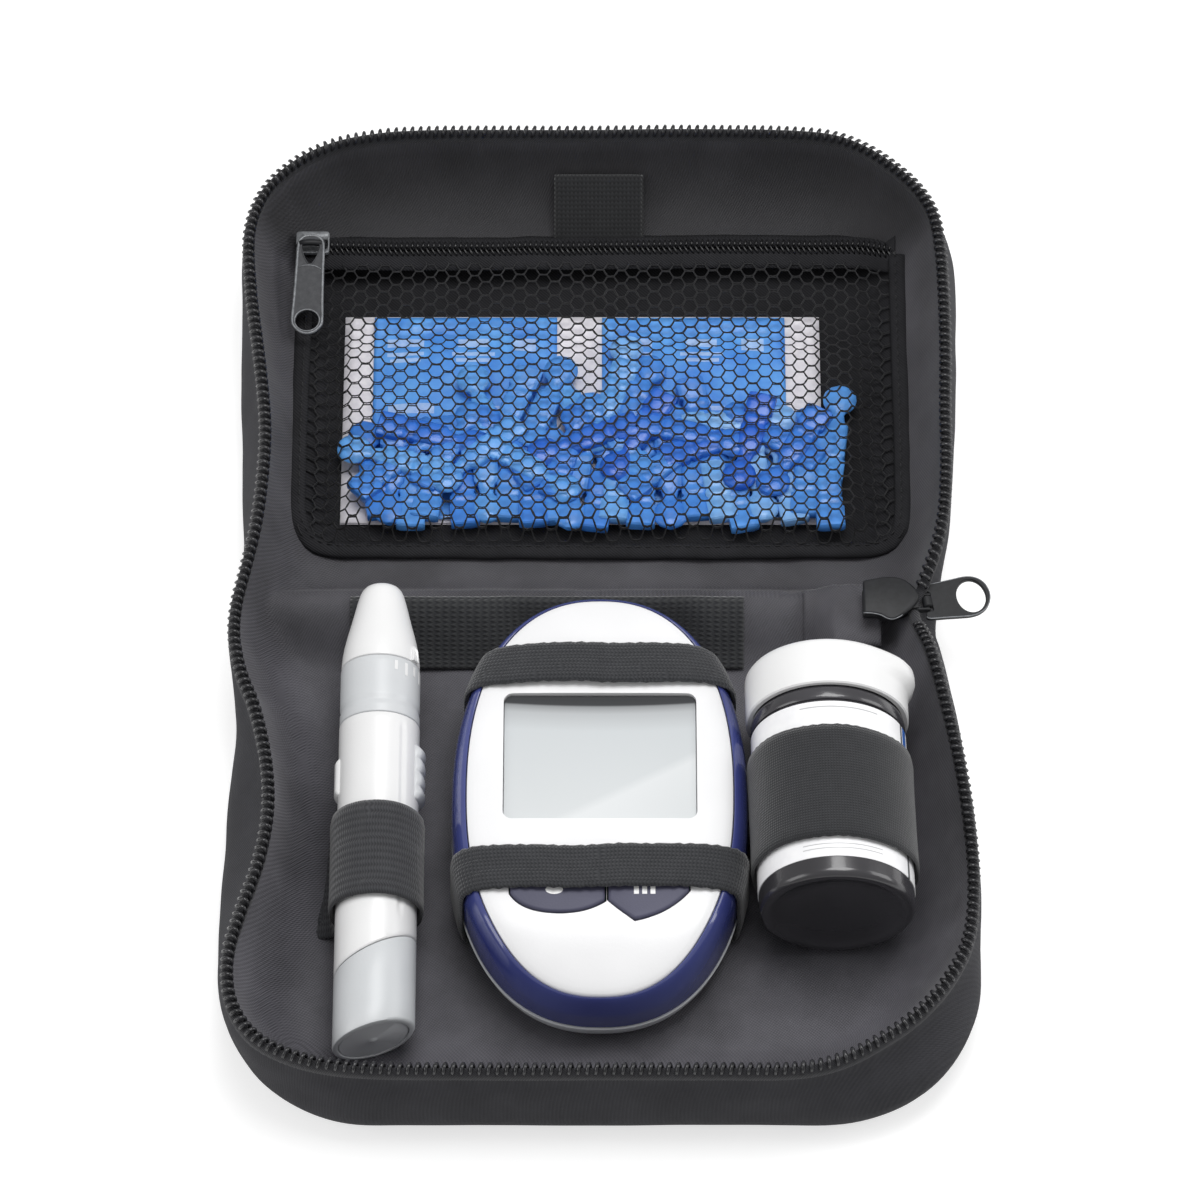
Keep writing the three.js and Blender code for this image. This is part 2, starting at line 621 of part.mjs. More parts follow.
// A pull: an eye round the slider's bar, a neck and a broad end with a hole, drawn along X from the bar
function pullTab(form) {
  const half = form.thickness / 2;
  const eyeHalf = form.eyeWidth / 2;
  const shape = new THREE.Shape();
  shape.moveTo(0, -eyeHalf);
  shape.lineTo(form.neck, -eyeHalf);
  shape.lineTo(form.shoulder, -form.width / 2);
  const round = form.width / 2;
  shape.lineTo(form.length - round, -round);
  shape.absarc(form.length - round, 0, round, -quarter, quarter);
  shape.lineTo(form.shoulder, form.width / 2);
  shape.lineTo(form.neck, eyeHalf);
  shape.lineTo(0, eyeHalf);
  const tab = plate(shape, form.lift - half, form.lift + half);
  const eye = cylinder(form.eyeRadius, -eyeHalf, eyeHalf, sides.eye);
  const bore = cylinder(form.eyeBore, -eyeHalf - overrun, eyeHalf + overrun, sides.eye);
  const holeX = form.length - form.holeEdge - form.hole / 2;
  const hole = plate(disc(holeX, 0, form.hole / 2), form.lift - overrun, form.lift + overrun);
  return cut(join(tab, eye), bore, hole);
}

// The meter, drawn about its own middle with its underside at zero

function ovalRing(inset, height) {
  const power = 2 / meter.powerShare;
  return Array.from({ length: meter.steps }, (_, i) => {
    const angle = 4 * quarter * i / meter.steps;
    const [c, s] = [Math.cos(angle), Math.sin(angle)];
    const x = (meter.width / 2 - inset) * Math.sign(c) * Math.abs(c) ** power;
    const y = (meter.length / 2 - inset) * Math.sign(s) * Math.abs(s) ** power;
    return new THREE.Vector3(x, y, height);
  });
}

const ovalLoft = (levels) => loft(levels.map(([inset, height]) => ovalRing(inset, height)));

function portNotch() {
  const half = port.width / 2 + gap;
  const end = meter.length / 2;
  return box(-half, half, end - port.depth - gap, end + overrun, port.bottom - gap, port.top + gap);
}

function backHousing() {
  const outside = ovalLoft([
    [housing.soleInset, 0], [housing.kneeInset, housing.kneeHeight], [housing.sideInset, housing.sideHeight],
    [0, housing.height],
  ]);
  const cavity = ovalLoft([
    [housing.floorInset, housing.floor], [housing.cavityKneeInset, housing.cavityKnee],
    [housing.wall, housing.height], [housing.wall, housing.height + overrun],
  ]);
  const half = door.width / 2 + gap;
  const front = door.front - door.travel - overrun;
  const channel = box(-half, half, front, door.back + gap, -overrun, housing.floor);
  const bosses = [-1, 1].flatMap((hand) => [board.bossFrontY, board.bossBackY].map((y) => {
    const peg = disc(hand * board.bossX, y, board.bossRadius);
    return plate(peg, housing.floor / 2, board.bottom - gap, sides.small);
  }));
  return cut(join(cut(outside, cavity), ...bosses), channel, portNotch());
}

function meterBezel() {
  const outside = ovalLoft([
    [0, bezel.bottom], [0, bezel.straightTop], [bezel.curveAInset, bezel.curveA],
    [bezel.curveBInset, bezel.curveB], [bezel.topInset, bezel.top],
  ]);
  const inside = ovalLoft([
    [housing.wall, bezel.bottom - overrun], [housing.wall, bezel.wallBend],
    [bezel.innerBendInset, bezel.innerBend], [bezel.innerTopInset, bezel.top],
    [bezel.innerTopInset, bezel.top + overrun],
  ]);
  return cut(outside, inside, portNotch());
}

// The two keys meet along a parting line, the left one oval and the right one coming to a point
function buttonShape(isLeft, clearance) {
  const shape = new THREE.Shape();
  const back = button.back + clearance;
  if (isLeft) {
    const left = button.left - clearance;
    const right = button.middle + clearance;
    shape.moveTo(right, back);
    shape.lineTo(left + button.travel, back);
    shape.quadraticCurveTo(left, button.shoulder, (left * 2 + right) / 3, button.leftLow - clearance);
    const low = button.leftLow - clearance;
    shape.quadraticCurveTo((left + right * 2) / 3, low, right, button.shoulder - clearance);
    return shape;
  }
  const left = button.middle + button.parting - clearance;
  const right = button.right + clearance;
  shape.moveTo(right - button.travel, back);
  shape.lineTo(left, back);
  shape.lineTo(left, button.shoulder);
  shape.lineTo(button.pointX, button.rightLow - clearance);
  shape.quadraticCurveTo(right, (button.shoulder + button.rightLow) / 2, right, button.shoulder);
  return shape;
}

function meterFace() {
  const crown = ovalLoft([
    [face.edgeInset, face.bottom], [face.edgeInset, face.edge],
    [face.edgeTopInset, (face.edge + face.top) / 2],
    [face.topInset, face.top],
  ]);
  const [halfX, halfY] = [lcd.width / 2 + gap, lcd.height / 2 + gap];
  const pane = roundedBox(-halfX, halfX, lcd.y - halfY, lcd.y + halfY, lcd.corner + gap);
  const through = [face.bottom - overrun, face.top + overrun];
  const holes = [true, false].map((isLeft) => plate(buttonShape(isLeft, gap), ...through, sides.corner));
  return cut(crown, plate(pane, ...through, sides.small), ...holes);
}

function lcdLens() {
  const [halfX, halfY] = [lcd.width / 2, lcd.height / 2];
  const pane = roundedBox(-halfX, halfX, lcd.y - halfY, lcd.y + halfY, lcd.corner);
  return plate(pane, face.bottom, lcd.top, sides.small);
}

function lcdPanel() {
  const [halfX, halfY] = [lcd.panelWidth / 2, lcd.panelHeight / 2];
  return box(-halfX, halfX, lcd.y - halfY, lcd.y + halfY, lcd.panelBottom, face.bottom - gap);
}

function circuitBoard() {
  const inset = housing.wall + gap;
  return ovalLoft([[inset, board.bottom], [inset, board.bottom + board.thickness]]);
}

function batteryDoor() {
  const half = door.width / 2;
  const cover = box(-half, half, door.front, door.back, gap, gap + door.thickness);
  const ribs = Array.from({ length: door.ribs }, (_, i) => {
    const y = door.front + door.ribPitch * (i + 1);
    return box(-half / 2, half / 2, y, y + door.rib, gap / 2, gap + door.thickness / 2);
  });
  return join(cover, ...ribs);
}

function stripPort() {
  const half = port.width / 2;
  const end = meter.length / 2;
  const block = box(-half, half, end - port.depth, end, port.bottom, port.top);
  const middle = (port.bottom + port.top) / 2;
  const slotHalf = port.slotHeight / 2;
  const mouth = outline([
    [end - port.depth + port.slotHeight, middle - slotHalf], [end - port.slotHeight, middle - slotHalf],
    [end + port.slotHeight, middle - port.slotHeight], [end + port.slotHeight, middle + port.slotHeight],
    [end - port.slotHeight, middle + slotHalf], [end - port.depth + port.slotHeight, middle + slotHalf],
  ]);
  return cut(block, alongX(mouth, -port.slotWidth / 2, port.slotWidth / 2));
}

function meterStrap(half, front, back) {
  const { thickness, tabEnd, tabBend, kneeHeight, shoulderHeight } = strap;
  const low = seat + thickness / 2;
  const top = strap.top - thickness / 2;
  const shoulder = seat + shoulderHeight;
  const right = [
    [tabEnd, low], [tabBend, low], [half, low + kneeHeight / 2], [half, shoulder - kneeHeight],
    [half - thickness / 2, shoulder - thickness], [half - strap.shoulderLean, shoulder + thickness],
    [half - 2 * strap.shoulderLean, top - thickness], [half / 2, top - thickness / 4],
  ];
  const left = right.map(([x, z]) => [-x, z]);
  const line = [...left, [0, top], ...right.reverse()].map((point) => new THREE.Vector2(...point));
  return alongY(ribbon(line, thickness), front, back);
}

// The lancing pen, along Y from its rear end

// Everything in front of a slanted plane across the pen
function slantCut(at, slant, end) {
  const reach = pen.radius + overrun;
  const lean = slant * reach / pen.radius;
  const line = [[-reach, at - lean], [reach, at + lean], [reach, end], [-reach, end]];
  return plate(outline(end > at ? line : line.reverse()), -reach, reach);
}

function cockingSleeve() {
  const far = sleeve.front + 2 * sleeve.frontSlant;
  const inner = sleeve.endDepth + sleeve.endRecess;
  const outside = turned([
    [0, 0], [pen.radius - sleeve.rimInset, 0], [pen.radius, sleeve.rim], [pen.radius, far],
    [sleeve.bore, far], [sleeve.bore, inner], [0, inner],
  ], pen.sides);
  const recess = cylinder(sleeve.recessRadius, -overrun, sleeve.endRecess, pen.sides);
  const front = slantCut(sleeve.front - gap, sleeve.frontSlant, pen.length);
  return cut(outside, recess, slantCut(sleeve.rearSlant, sleeve.rearSlant, -pen.radius), front);
}

function penBody() {
  const rear = sleeve.front - 2 * sleeve.frontSlant;
  const skin = turned([
    [0, rear], [pen.radius, rear], [pen.radius, barrel.front], [barrel.neckRadius, barrel.front],
    [barrel.neckRadius, barrel.neckFront], [0, barrel.neckFront],
  ], pen.sides);
  const reach = pen.radius + overrun;
  const behind = cut(box(-reach, reach, -overrun, sleeve.front + overrun, -reach, reach),
    slantCut(sleeve.front, sleeve.frontSlant, pen.length));
  const ribTop = barrel.ribHeight / 2;
  const rib = box(-pen.radius - barrel.ribProud, 0, barrel.ribStart, barrel.ribEnd, -ribTop, ribTop);
  const spigotRear = barrel.spigotRear + sleeve.endRecess;
  const spigot = cylinder(barrel.spigotRadius, spigotRear, barrel.front / 2, pen.sides);
  const spigotBore = cylinder(barrel.spigotBore, 0, barrel.boreStart - barrel.spigotBore, pen.sides);
  const bore = cylinder(barrel.bore, barrel.boreStart, barrel.neckFront + overrun, pen.sides);
  const half = release.height / 2 + gap;
  const pocketHole = box(
    pen.radius - release.depth - release.travel - gap, reach,
    release.start - gap, release.end + gap, -half, half,
  );
  return cut(join(cut(skin, behind), rib, spigot), spigotBore, bore, pocketHole);
}

function releaseButton() {
  const half = release.height / 2;
  const floor = pen.radius - release.depth;
  const top = pen.radius + release.proud - release.bump;
  const key = plate(outline([
    [floor, release.start], [top - release.bump, release.start], [top, release.start + release.proud],
    [top, release.end - release.proud], [top - release.bump, release.end], [floor, release.end],
  ]), -half, half);
  const pitch = (release.end - release.start) / (release.bumps + 1);
  const bumps = Array.from({ length: release.bumps }, (_, i) => {
    const y = release.start + pitch * (i + 1);
    const [low, high] = [y - release.bump, y + release.bump];
    return box(top - release.bump, top + release.bump, low, high, -half / 2, half / 2);
  });
  return join(key, ...bumps);
}

function depthDial() {
  const { rear, front, bore, groove } = dial;
  return turned([
    [bore, rear], [pen.radius - groove, rear], [pen.radius, rear + groove], [pen.radius, front - groove],
    [pen.radius - groove, front], [bore, front],
  ], pen.sides);
}

function noseCap() {
  const inner = nose.rearRadius - nose.wall;
  return turned([
    [inner, nose.rear], [nose.rearRadius, nose.rear], [nose.waistRadius, nose.waistAt],
    [nose.tipRadius, nose.tipAt], [nose.endRadius, pen.length], [nose.tipHole, pen.length],
    [nose.tipHole, pen.length - nose.wall], [nose.tipRadius - nose.wall, nose.tipAt - nose.wall],
    [nose.waistRadius - nose.wall + gap, nose.waistAt],
  ], pen.sides);
}

function lancetCarrier() {
  const { rear, front, radius, stemRadius, collar, bore, boreDepth } = carrier;
  const inner = front - boreDepth;
  return turned([
    [0, rear], [radius, rear], [radius, rear + collar], [stemRadius, rear + collar],
    [stemRadius, inner - collar], [radius - gap, inner], [radius - gap, front],
    [bore, front], [bore, inner], [0, inner],
  ], sides.barrel);
}

function penLancet() {
  const { rear, front, radius, shoulder, tipRadius } = needle;
  return turned([
    [0, rear], [radius, rear], [radius, shoulder], [tipRadius, shoulder + radius],
    [tipRadius, front], [0, front],
  ], sides.eye);
}

// A compression spring as one unbroken wire
function driveSpring() {
  const steps = spring.curls * spring.curlSteps;
  const travel = spring.front - spring.rear - 2 * spring.wire;
  const middle = (i) => {
    const angle = 4 * quarter * i / spring.curlSteps;
    const y = spring.rear + spring.wire + travel * i / steps;
    return { angle, y };
  };
  const rise = travel / steps;
  console.log('spring clearance between curls', (travel / spring.curls - 2 * spring.wire).toFixed(2));
  const slope = Math.atan2(rise, 4 * quarter * spring.radius / spring.curlSteps);
  const positions = [];
  const index = [];
  for (let i = 0; i <= steps; i += 1) {
    const { angle, y } = middle(i);
    const out = new THREE.Vector3(Math.cos(angle), 0, Math.sin(angle));
    const lean = Math.sin(slope);
    const up = new THREE.Vector3(Math.sin(angle) * lean, Math.cos(slope), -Math.cos(angle) * lean);
    for (let k = 0; k < spring.wireSides; k += 1) {
      const turn = 4 * quarter * k / spring.wireSides;
      const point = out.clone().multiplyScalar(spring.radius + spring.wire * Math.cos(turn));
      point.addScaledVector(up, spring.wire * Math.sin(turn)).add(new THREE.Vector3(0, y, 0));
      positions.push(...point.toArray());
    }
  }
  const sides = spring.wireSides;
  for (let i = 0; i < steps; i += 1) {
    for (let k = 0; k < sides; k += 1) {
      const a = i * sides + k;
      const b = i * sides + ((k + 1) % sides);
      index.push(a, b, b + sides, a, b + sides, a + sides);
    }
  }
  for (let k = 1; k + 1 < sides; k += 1) {
    index.push(0, k + 1, k);
    index.push(steps * sides, steps * sides + k, steps * sides + k + 1);
  }
  const geometry = new THREE.BufferGeometry();
  geometry.setAttribute('position', new THREE.Float32BufferAttribute(positions, 3));
  geometry.setIndex(index);
  return geometry;
}

// The elastic loop round the pen, with the tab that sews it to the floor
function penStrap() {
  const bore = pen.radius + penLoop.clearance;
  const outer = bore + penLoop.thickness;
  const tilt = radians(pen.tilt);
  const along = (y) => (y - pen.y) / Math.cos(tilt);
  const place = new THREE.Matrix4().makeRotationX(tilt).setPosition(pen.x, pen.y, pen.z);
  const [front, back] = [along(penLoop.front), along(penLoop.back)];
  const ring = cylinder(outer, front, back, pen.sides).applyMatrix4(place);
  const hollow = cylinder(bore, front - overrun, back + overrun, pen.sides).applyMatrix4(place);
  const tabTop = seat + penLoop.thickness;
  const tab = box(penLoop.tabLeft, penLoop.tabRight, penLoop.tabFront, penLoop.tabBack, seat, tabTop);
  const foot = box(
    pen.x - penLoop.footHalf, pen.x + penLoop.footHalf, penLoop.front, penLoop.back - gap,
    seat, pen.z - bore / 2,
  );
  return cut(join(ring, tab, foot), hollow);
}

// The vial, along Y from its closed end

function vialBody() {
  const inner = vial.radius - vial.wall;
  return turned([
    [0, 0], [vial.radius - vial.edge, 0], [vial.radius, vial.edge], [vial.radius, vial.shoulder - gap],
    [vial.neckRadius, vial.shoulder], [vial.neckRadius, vial.neck], [inner, vial.neck], [inner, vial.floor],
    [0, vial.floor],
  ], vial.sides);
}

function vialCap() {
  const rim = turned([
    [0, cap.inside], [cap.bore, cap.inside], [cap.bore, cap.start], [cap.radius, cap.start],
    [cap.radius, cap.top - cap.edge], [cap.radius - cap.edge, cap.top], [0, cap.top],
  ], vial.sides);
  const tabBottom = cap.top - cap.tabThickness;
  const tab = box(cap.radius - 2 * cap.edge, cap.tabReach, tabBottom, cap.top, -cap.tabHalf, cap.tabHalf);
  return join(rim, tab);
}

function vialStrap() {
  const inner = vial.radius + gap;
  const ring = disc(vial.x, vialZ, inner + vialLoop.thickness);
  ring.holes.push(disc(vial.x, vialZ, inner));
  return alongY(ring, vialLoop.front, vialLoop.back, sides.ring);
}

// The pocket

function pocketBinding() {
  const { half, front, back, corner, binding } = pocket;
  const inner = corner - binding;
  const shape = new THREE.Shape();
  shape.moveTo(-half, back);
  shape.lineTo(-half, front + corner);
  shape.absarc(corner - half, front + corner, corner, 2 * quarter, 3 * quarter);
  shape.absarc(half - corner, front + corner, corner, 3 * quarter, 4 * quarter);
  shape.lineTo(half, back);
  shape.lineTo(half - binding, back);
  shape.absarc(half - corner, front + corner, inner, 0, -quarter, true);
  shape.absarc(corner - half, front + corner, inner, -quarter, -2 * quarter, true);
  shape.lineTo(binding - half, back);
  return plate(shape, seat, pocket.top, sides.corner);
}

// The net: rows of six-sided holes in one sheet
function pocketNet() {
  const { half, front, back, corner, rim, columns, rows, strandShare } = pocket;
  const sheet = roundedBox(-half, half, front, back, corner);
  const pitchX = (2 * half - 2 * rim) / (columns + 1 / 2);
  const pitchY = (back - front - 2 * rim) / (rows + 1 / 3);
  const reach = pitchX / 2 * (1 - strandShare);
  const rise = pitchY * 2 / 3 * (1 - strandShare);
  for (let row = 0; row < rows; row += 1) {
    const y = front + rim + pitchY * (row + 2 / 3);
    for (let column = 0; column < columns; column += 1) {
      const x = rim - half + pitchX * (column + 1 / 2 + (row % 2) / 2);
      const hole = new THREE.Path([
        [0, -rise], [-reach, -rise / 2], [-reach, rise / 2], [0, rise], [reach, rise / 2], [reach, -rise / 2],
      ].map(([dx, dy]) => new THREE.Vector2(x + dx, y + dy)));
      const inCorner = row === 0 && (column === 0 || column === columns - 1);
      if (!inCorner) sheet.holes.push(hole);
    }
  }
  return plate(sheet, netBottom, netTop, sides.small);
}

// One side of the pocket's zip: a tape with a toothed edge, the upper one with a skirt down to the lining
function pocketZipSide(hand) {
  const { y, left, right, slit, width, coil, coilPitch } = pocketZip;
  const points = [[left, hand * width], [right, hand * width]];
  const count = Math.floor((right - left) / coilPitch);
  for (let i = count; i >= 0; i -= 1) {
    const x = left + (right - left) * i / count;
    const shift = hand > 0 ? 1 / 2 : 0;
    points.push([x, hand * (slit / 2 + coil)]);
    if (i > 0) points.push([x - coilPitch * (1 - shift) / 2, hand * slit / 2]);
  }
  const placed = points.map(([x, away]) => [x, y + away]);
  const strip = plate(outline(hand > 0 ? placed.reverse() : placed), netBottom, netTop);
  if (hand < 0) return strip;
  const back = y + width;
  const { skirt, skirtHalf } = pocketZip;
  return join(strip, box(-skirtHalf, skirtHalf, back - skirt, back, seat, netTop));
}

const pocketBarZ = netTop + gap + pocketSlider.plate + pocketSlider.barRise;

function spread(middle, size) {
  return [middle - size / 2, middle + size / 2];
}

function pocketZipSlider() {
  const { x, length, width, plate: thick, post, postLength, bar, earWidth, earInside } = pocketSlider;
  const [left, right] = [x - length / 2, x + length / 2];
  const [front, back] = [pocketZip.y - width / 2, pocketZip.y + width / 2];
  const shape = roundedBox(left, right, front, back, thick);
  const low = netBottom - gap;
  const high = netTop + gap;
  const barY = front + thick;
  const pieces = [
    plate(shape, low - thick, low, 2),
    plate(shape, high, high + thick, 2),
    box(...spread(x, postLength), ...spread(pocketZip.y, post), low - thick / 2, high + thick / 2),
    alongX(disc(barY, pocketBarZ, bar), ...spread(x, 2 * earInside + earWidth), sides.corner),
  ];
  for (const hand of [-1, 1]) {
    const middle = x + hand * (earInside + earWidth / 2);
    const ear = [middle - earWidth / 2, middle + earWidth / 2];
    pieces.push(box(...ear, barY - thick, barY + thick, high + thick / 2, pocketBarZ + bar));
  }
  return join(...pieces);
}

function sachetSheet(left) {
  const { width, front, back, notch, notches } = sachet;
  const points = [];
  const stepAt = (i) => left + width * i / (2 * notches);
  for (let i = 0; i <= 2 * notches; i += 1) points.push([stepAt(i), front + (i % 2) * notch]);
  for (let i = 2 * notches; i >= 0; i -= 1) points.push([stepAt(i), back - (i % 2) * notch]);
  const low = seat + leaflet.thickness + gap;
  return plate(outline(points), low, low + sachet.thickness);
}

// A lancet lying flat: a round twist-off head, a thin neck and a body that steps down to its foot
function lancetSolid() {
  const { length, height, head, neck, neckLength, half, foot, footLength } = lancet;
  const shape = new THREE.Shape();
  const neckAt = length - 2 * head;
  const bodyEnd = neckAt - neckLength;
  const open = Math.asin(neck / head);
  shape.moveTo(-foot, 0);
  shape.lineTo(foot, 0);
  shape.lineTo(foot, footLength);
  shape.lineTo(half, footLength);
  shape.lineTo(half, bodyEnd);
  shape.lineTo(neck, bodyEnd);
  shape.absarc(0, neckAt + head, head, open - quarter, 3 * quarter - open);
  shape.lineTo(-neck, bodyEnd);
  shape.lineTo(-half, bodyEnd);
  shape.lineTo(-half, footLength);
  shape.lineTo(-foot, footLength);
  return plate(shape, 0, height, sides.bar);
}

function leafletSheet() {
  const { left, right, front, back, thickness, fold: crease } = leaflet;
  const shape = outline([
    [left, front], [right, front], [right, back - crease], [right - crease, back], [left, back],
  ]);
  return plate(shape, seat, seat + thickness);
}

function lidLoopStrap() {
  const { half, front, back, thickness, rise, foot } = lidLoop;
  const low = seat + thickness / 2;
  const points = [
    [-half, low], [foot - half, low], [foot - half / 2, low + rise], [half / 2 - foot, low + rise],
    [half - foot, low], [half, low],
  ].map((point) => new THREE.Vector2(...point));
  return alongY(ribbon(points.reverse(), thickness), front, back);
}

// Assembly

const finishes = {
  fabric: { color: '#333436', roughness: 0.9, metalness: 0 },
  lining: { color: '#3d3e40', roughness: 0.85, metalness: 0 },
  elastic: { color: '#4a4b4d', roughness: 0.9, metalness: 0 },
  zip: { color: '#2a2a2c', roughness: 0.5, metalness: 0 },
  enamel: { color: '#242426', roughness: 0.35, metalness: 0.3 },
  paper: { color: '#e9e4ea', roughness: 0.8, metalness: 0 },
  foil: { color: '#4a80d4', roughness: 0.45, metalness: 0.1 },
  blue: { color: '#3b7fd9', roughness: 0.4, metalness: 0 },
  navy: { color: '#2a2f6b', roughness: 0.25, metalness: 0 },
  white: { color: '#f4f4f5', roughness: 0.4, metalness: 0 },
  pale: { color: '#dcdfe1', roughness: 0.4, metalness: 0 },
  key: { color: '#4a4a5e', roughness: 0.6, metalness: 0 },
  glass: { color: '#d2d5d6', roughness: 0.15, metalness: 0 },
  board: { color: '#2f6b46', roughness: 0.6, metalness: 0 },
  steel: { color: '#b9bcc0', roughness: 0.3, metalness: 1 },
  vial: { color: '#1c1b1d', roughness: 0.35, metalness: 0 },
};

function piece(group, name, geometry, finish) {
  const mesh = new THREE.Mesh(geometry, new THREE.MeshStandardMaterial(finishes[finish]));
  mesh.name = name;
  group.add(mesh);
  return mesh;
}

function groupAt(parent, x, y, z) {
  const group = new THREE.Group();
  group.position.set(x, y, z);
  parent.add(group);
  return group;
}

function buildBase(base) {
  piece(base, 'base_shell', shellHalf(), 'fabric');
  piece(base, 'base_lining', liningHalf(), 'lining');
  piece(base, 'base_zip_tape', tapeHalf(), 'fabric');
  piece(base, 'base_zip_teeth', teethRow(0), 'zip');
  piece(base, 'spine_panel', spinePanel(), 'lining');
  piece(base, 'spine_webbing', spineWebbing(), 'elastic');
  piece(base, 'zip_end_tape', zipEndTape(), 'fabric');
  piece(base, 'main_slider', zipSlider(), 'enamel');
  const tab = piece(base, 'main_pull_tab', pullTab({ ...pull, lift: 0 }), 'enamel');
  tab.position.set(barX, slider.y, zipEnd.height);
  const upper = meterStrap(meterHalf - strap.upperInset, strap.upperFront, strap.upperBack);
  const lower = meterStrap(meterHalf + strap.lowerProud, strap.lowerFront, strap.lowerBack);
  piece(base, 'meter_strap_upper', upper, 'elastic');
  piece(base, 'meter_strap_lower', lower, 'elastic');
  piece(base, 'pen_loop', penStrap(), 'elastic');
  piece(base, 'vial_loop', vialStrap(), 'elastic');
}

function buildMeter(group) {
  piece(group, 'meter_back_housing', backHousing(), 'pale');
  piece(group, 'meter_bezel', meterBezel(), 'navy');
  piece(group, 'meter_face', meterFace(), 'white');
  piece(group, 'lcd_lens', lcdLens(), 'glass');
  piece(group, 'lcd_panel', lcdPanel(), 'pale');
  piece(group, 'circuit_board', circuitBoard(), 'board');
  const coin = plate(disc(0, cell.y, cell.radius), housing.floor, housing.floor + cell.thickness, sides.eye);
  piece(group, 'coin_cell', coin, 'steel');
  piece(group, 'battery_door', batteryDoor(), 'pale');
  piece(group, 'button_left', plate(buttonShape(true, 0), button.bottom, button.top, sides.corner), 'key');
  piece(group, 'button_right', plate(buttonShape(false, 0), button.bottom, button.top, sides.corner), 'key');
  piece(group, 'strip_port', stripPort(), 'vial');
}

function buildPen(group) {
  piece(group, 'cocking_sleeve', cockingSleeve(), 'pale');
  piece(group, 'pen_body', penBody(), 'white');
  piece(group, 'release_button', releaseButton(), 'pale');
  piece(group, 'depth_dial', depthDial(), 'pale');
  piece(group, 'pen_nose_cap', noseCap(), 'white');
  piece(group, 'lancet_carrier', lancetCarrier(), 'pale');
  piece(group, 'pen_lancet', penLancet(), 'blue');
  piece(group, 'drive_spring', driveSpring(), 'steel');
}

function buildVial(group) {
  piece(group, 'vial_body', vialBody(), 'vial');
  piece(group, 'vial_cap', vialCap(), 'white');
  const bundle = box(-strips.halfWidth, strips.halfWidth, strips.start, strips.end, strips.low, strips.high);
  piece(group, 'test_strips', bundle, 'white');
}

function buildLid(lid) {
  piece(lid, 'lid_shell', mirrored(shellHalf()), 'fabric');
  piece(lid, 'lid_lining', mirrored(liningHalf()), 'lining');
  piece(lid, 'lid_zip_tape', mirrored(tapeHalf()), 'fabric');
  piece(lid, 'lid_zip_teeth', mirrored(teethRow(teeth.pitch / 2)), 'zip');
  piece(lid, 'lid_loop', lidLoopStrap(), 'elastic');
  piece(lid, 'pocket_binding', pocketBinding(), 'fabric');
  piece(lid, 'pocket_net', pocketNet(), 'zip');
  piece(lid, 'pocket_zip_upper', pocketZipSide(1), 'zip');
  piece(lid, 'pocket_zip_lower', pocketZipSide(-1), 'zip');
  piece(lid, 'pocket_slider', pocketZipSlider(), 'enamel');
  const form = {
    ...pocketPull, eyeBore: pocketPull.bore, eyeRadius: pocketPull.eye, neck: pocketPull.eyeWidth,
    shoulder: pocketPull.eyeWidth * 2, lift: pocketPull.thickness / 2 - pocketPull.eye,
  };
  const tab = piece(lid, 'pocket_pull_tab', pullTab(form), 'enamel');
  tab.rotation.z = -quarter;
  tab.position.set(pocketSlider.x, pocketZip.y - pocketSlider.width / 2 + pocketSlider.plate, pocketBarZ);
  piece(lid, 'leaflet', leafletSheet(), 'paper');
  piece(lid, 'sachet_left', sachetSheet(sachet.leftAt), 'foil');
  piece(lid, 'sachet_right', sachetSheet(sachet.rightAt), 'foil');
  const lancetBottom = seat + leaflet.thickness + sachet.thickness + 2 * gap;
  for (let i = 0; i < lancet.count; i += 1) {
    const name = `lancet_${String(i + 1).padStart(2, '0')}`;
    const mesh = piece(lid, name, lancetSolid(), 'blue');
    mesh.position.set(lancet.first + lancet.pitch * i, lancet.y, lancetBottom);
    mesh.rotation.z = radians(i % 2 ? lancet.turn : -lancet.turn);
  }
}

const pouch = new THREE.Group();
pouch.position.x = (zip.left + shell.rimLip - barX - pull.length) / 2;
buildBase(pouch);
buildLid(pouch);
buildMeter(groupAt(pouch, 0, meter.y, seat));
const penGroup = groupAt(pouch, pen.x, pen.y, pen.z);
penGroup.rotation.x = radians(pen.tilt);
buildPen(penGroup);
buildVial(groupAt(pouch, vial.x, vial.y, vialZ));

export default pouch;
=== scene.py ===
# %% [markdown]
# # A glucose meter case, lying open
# The object is a zipped pouch of two equal trays that fold together. The front tray holds a meter, a lancing
# pen and a vial of test strips under elastic, and the back tray has a net pocket with supplies.
# The hard pieces come from a CAD model that is loaded first and never moved. Cloth, elastic, net, zip chain
# and the finer forms of the plastic pieces are made here and take the place of the plain solids.

# %% Load the CAD model as the fixed frame
import math
import random

import bmesh
import bpy
from mathutils import Matrix, Vector, noise
from mathutils.bvhtree import BVHTree


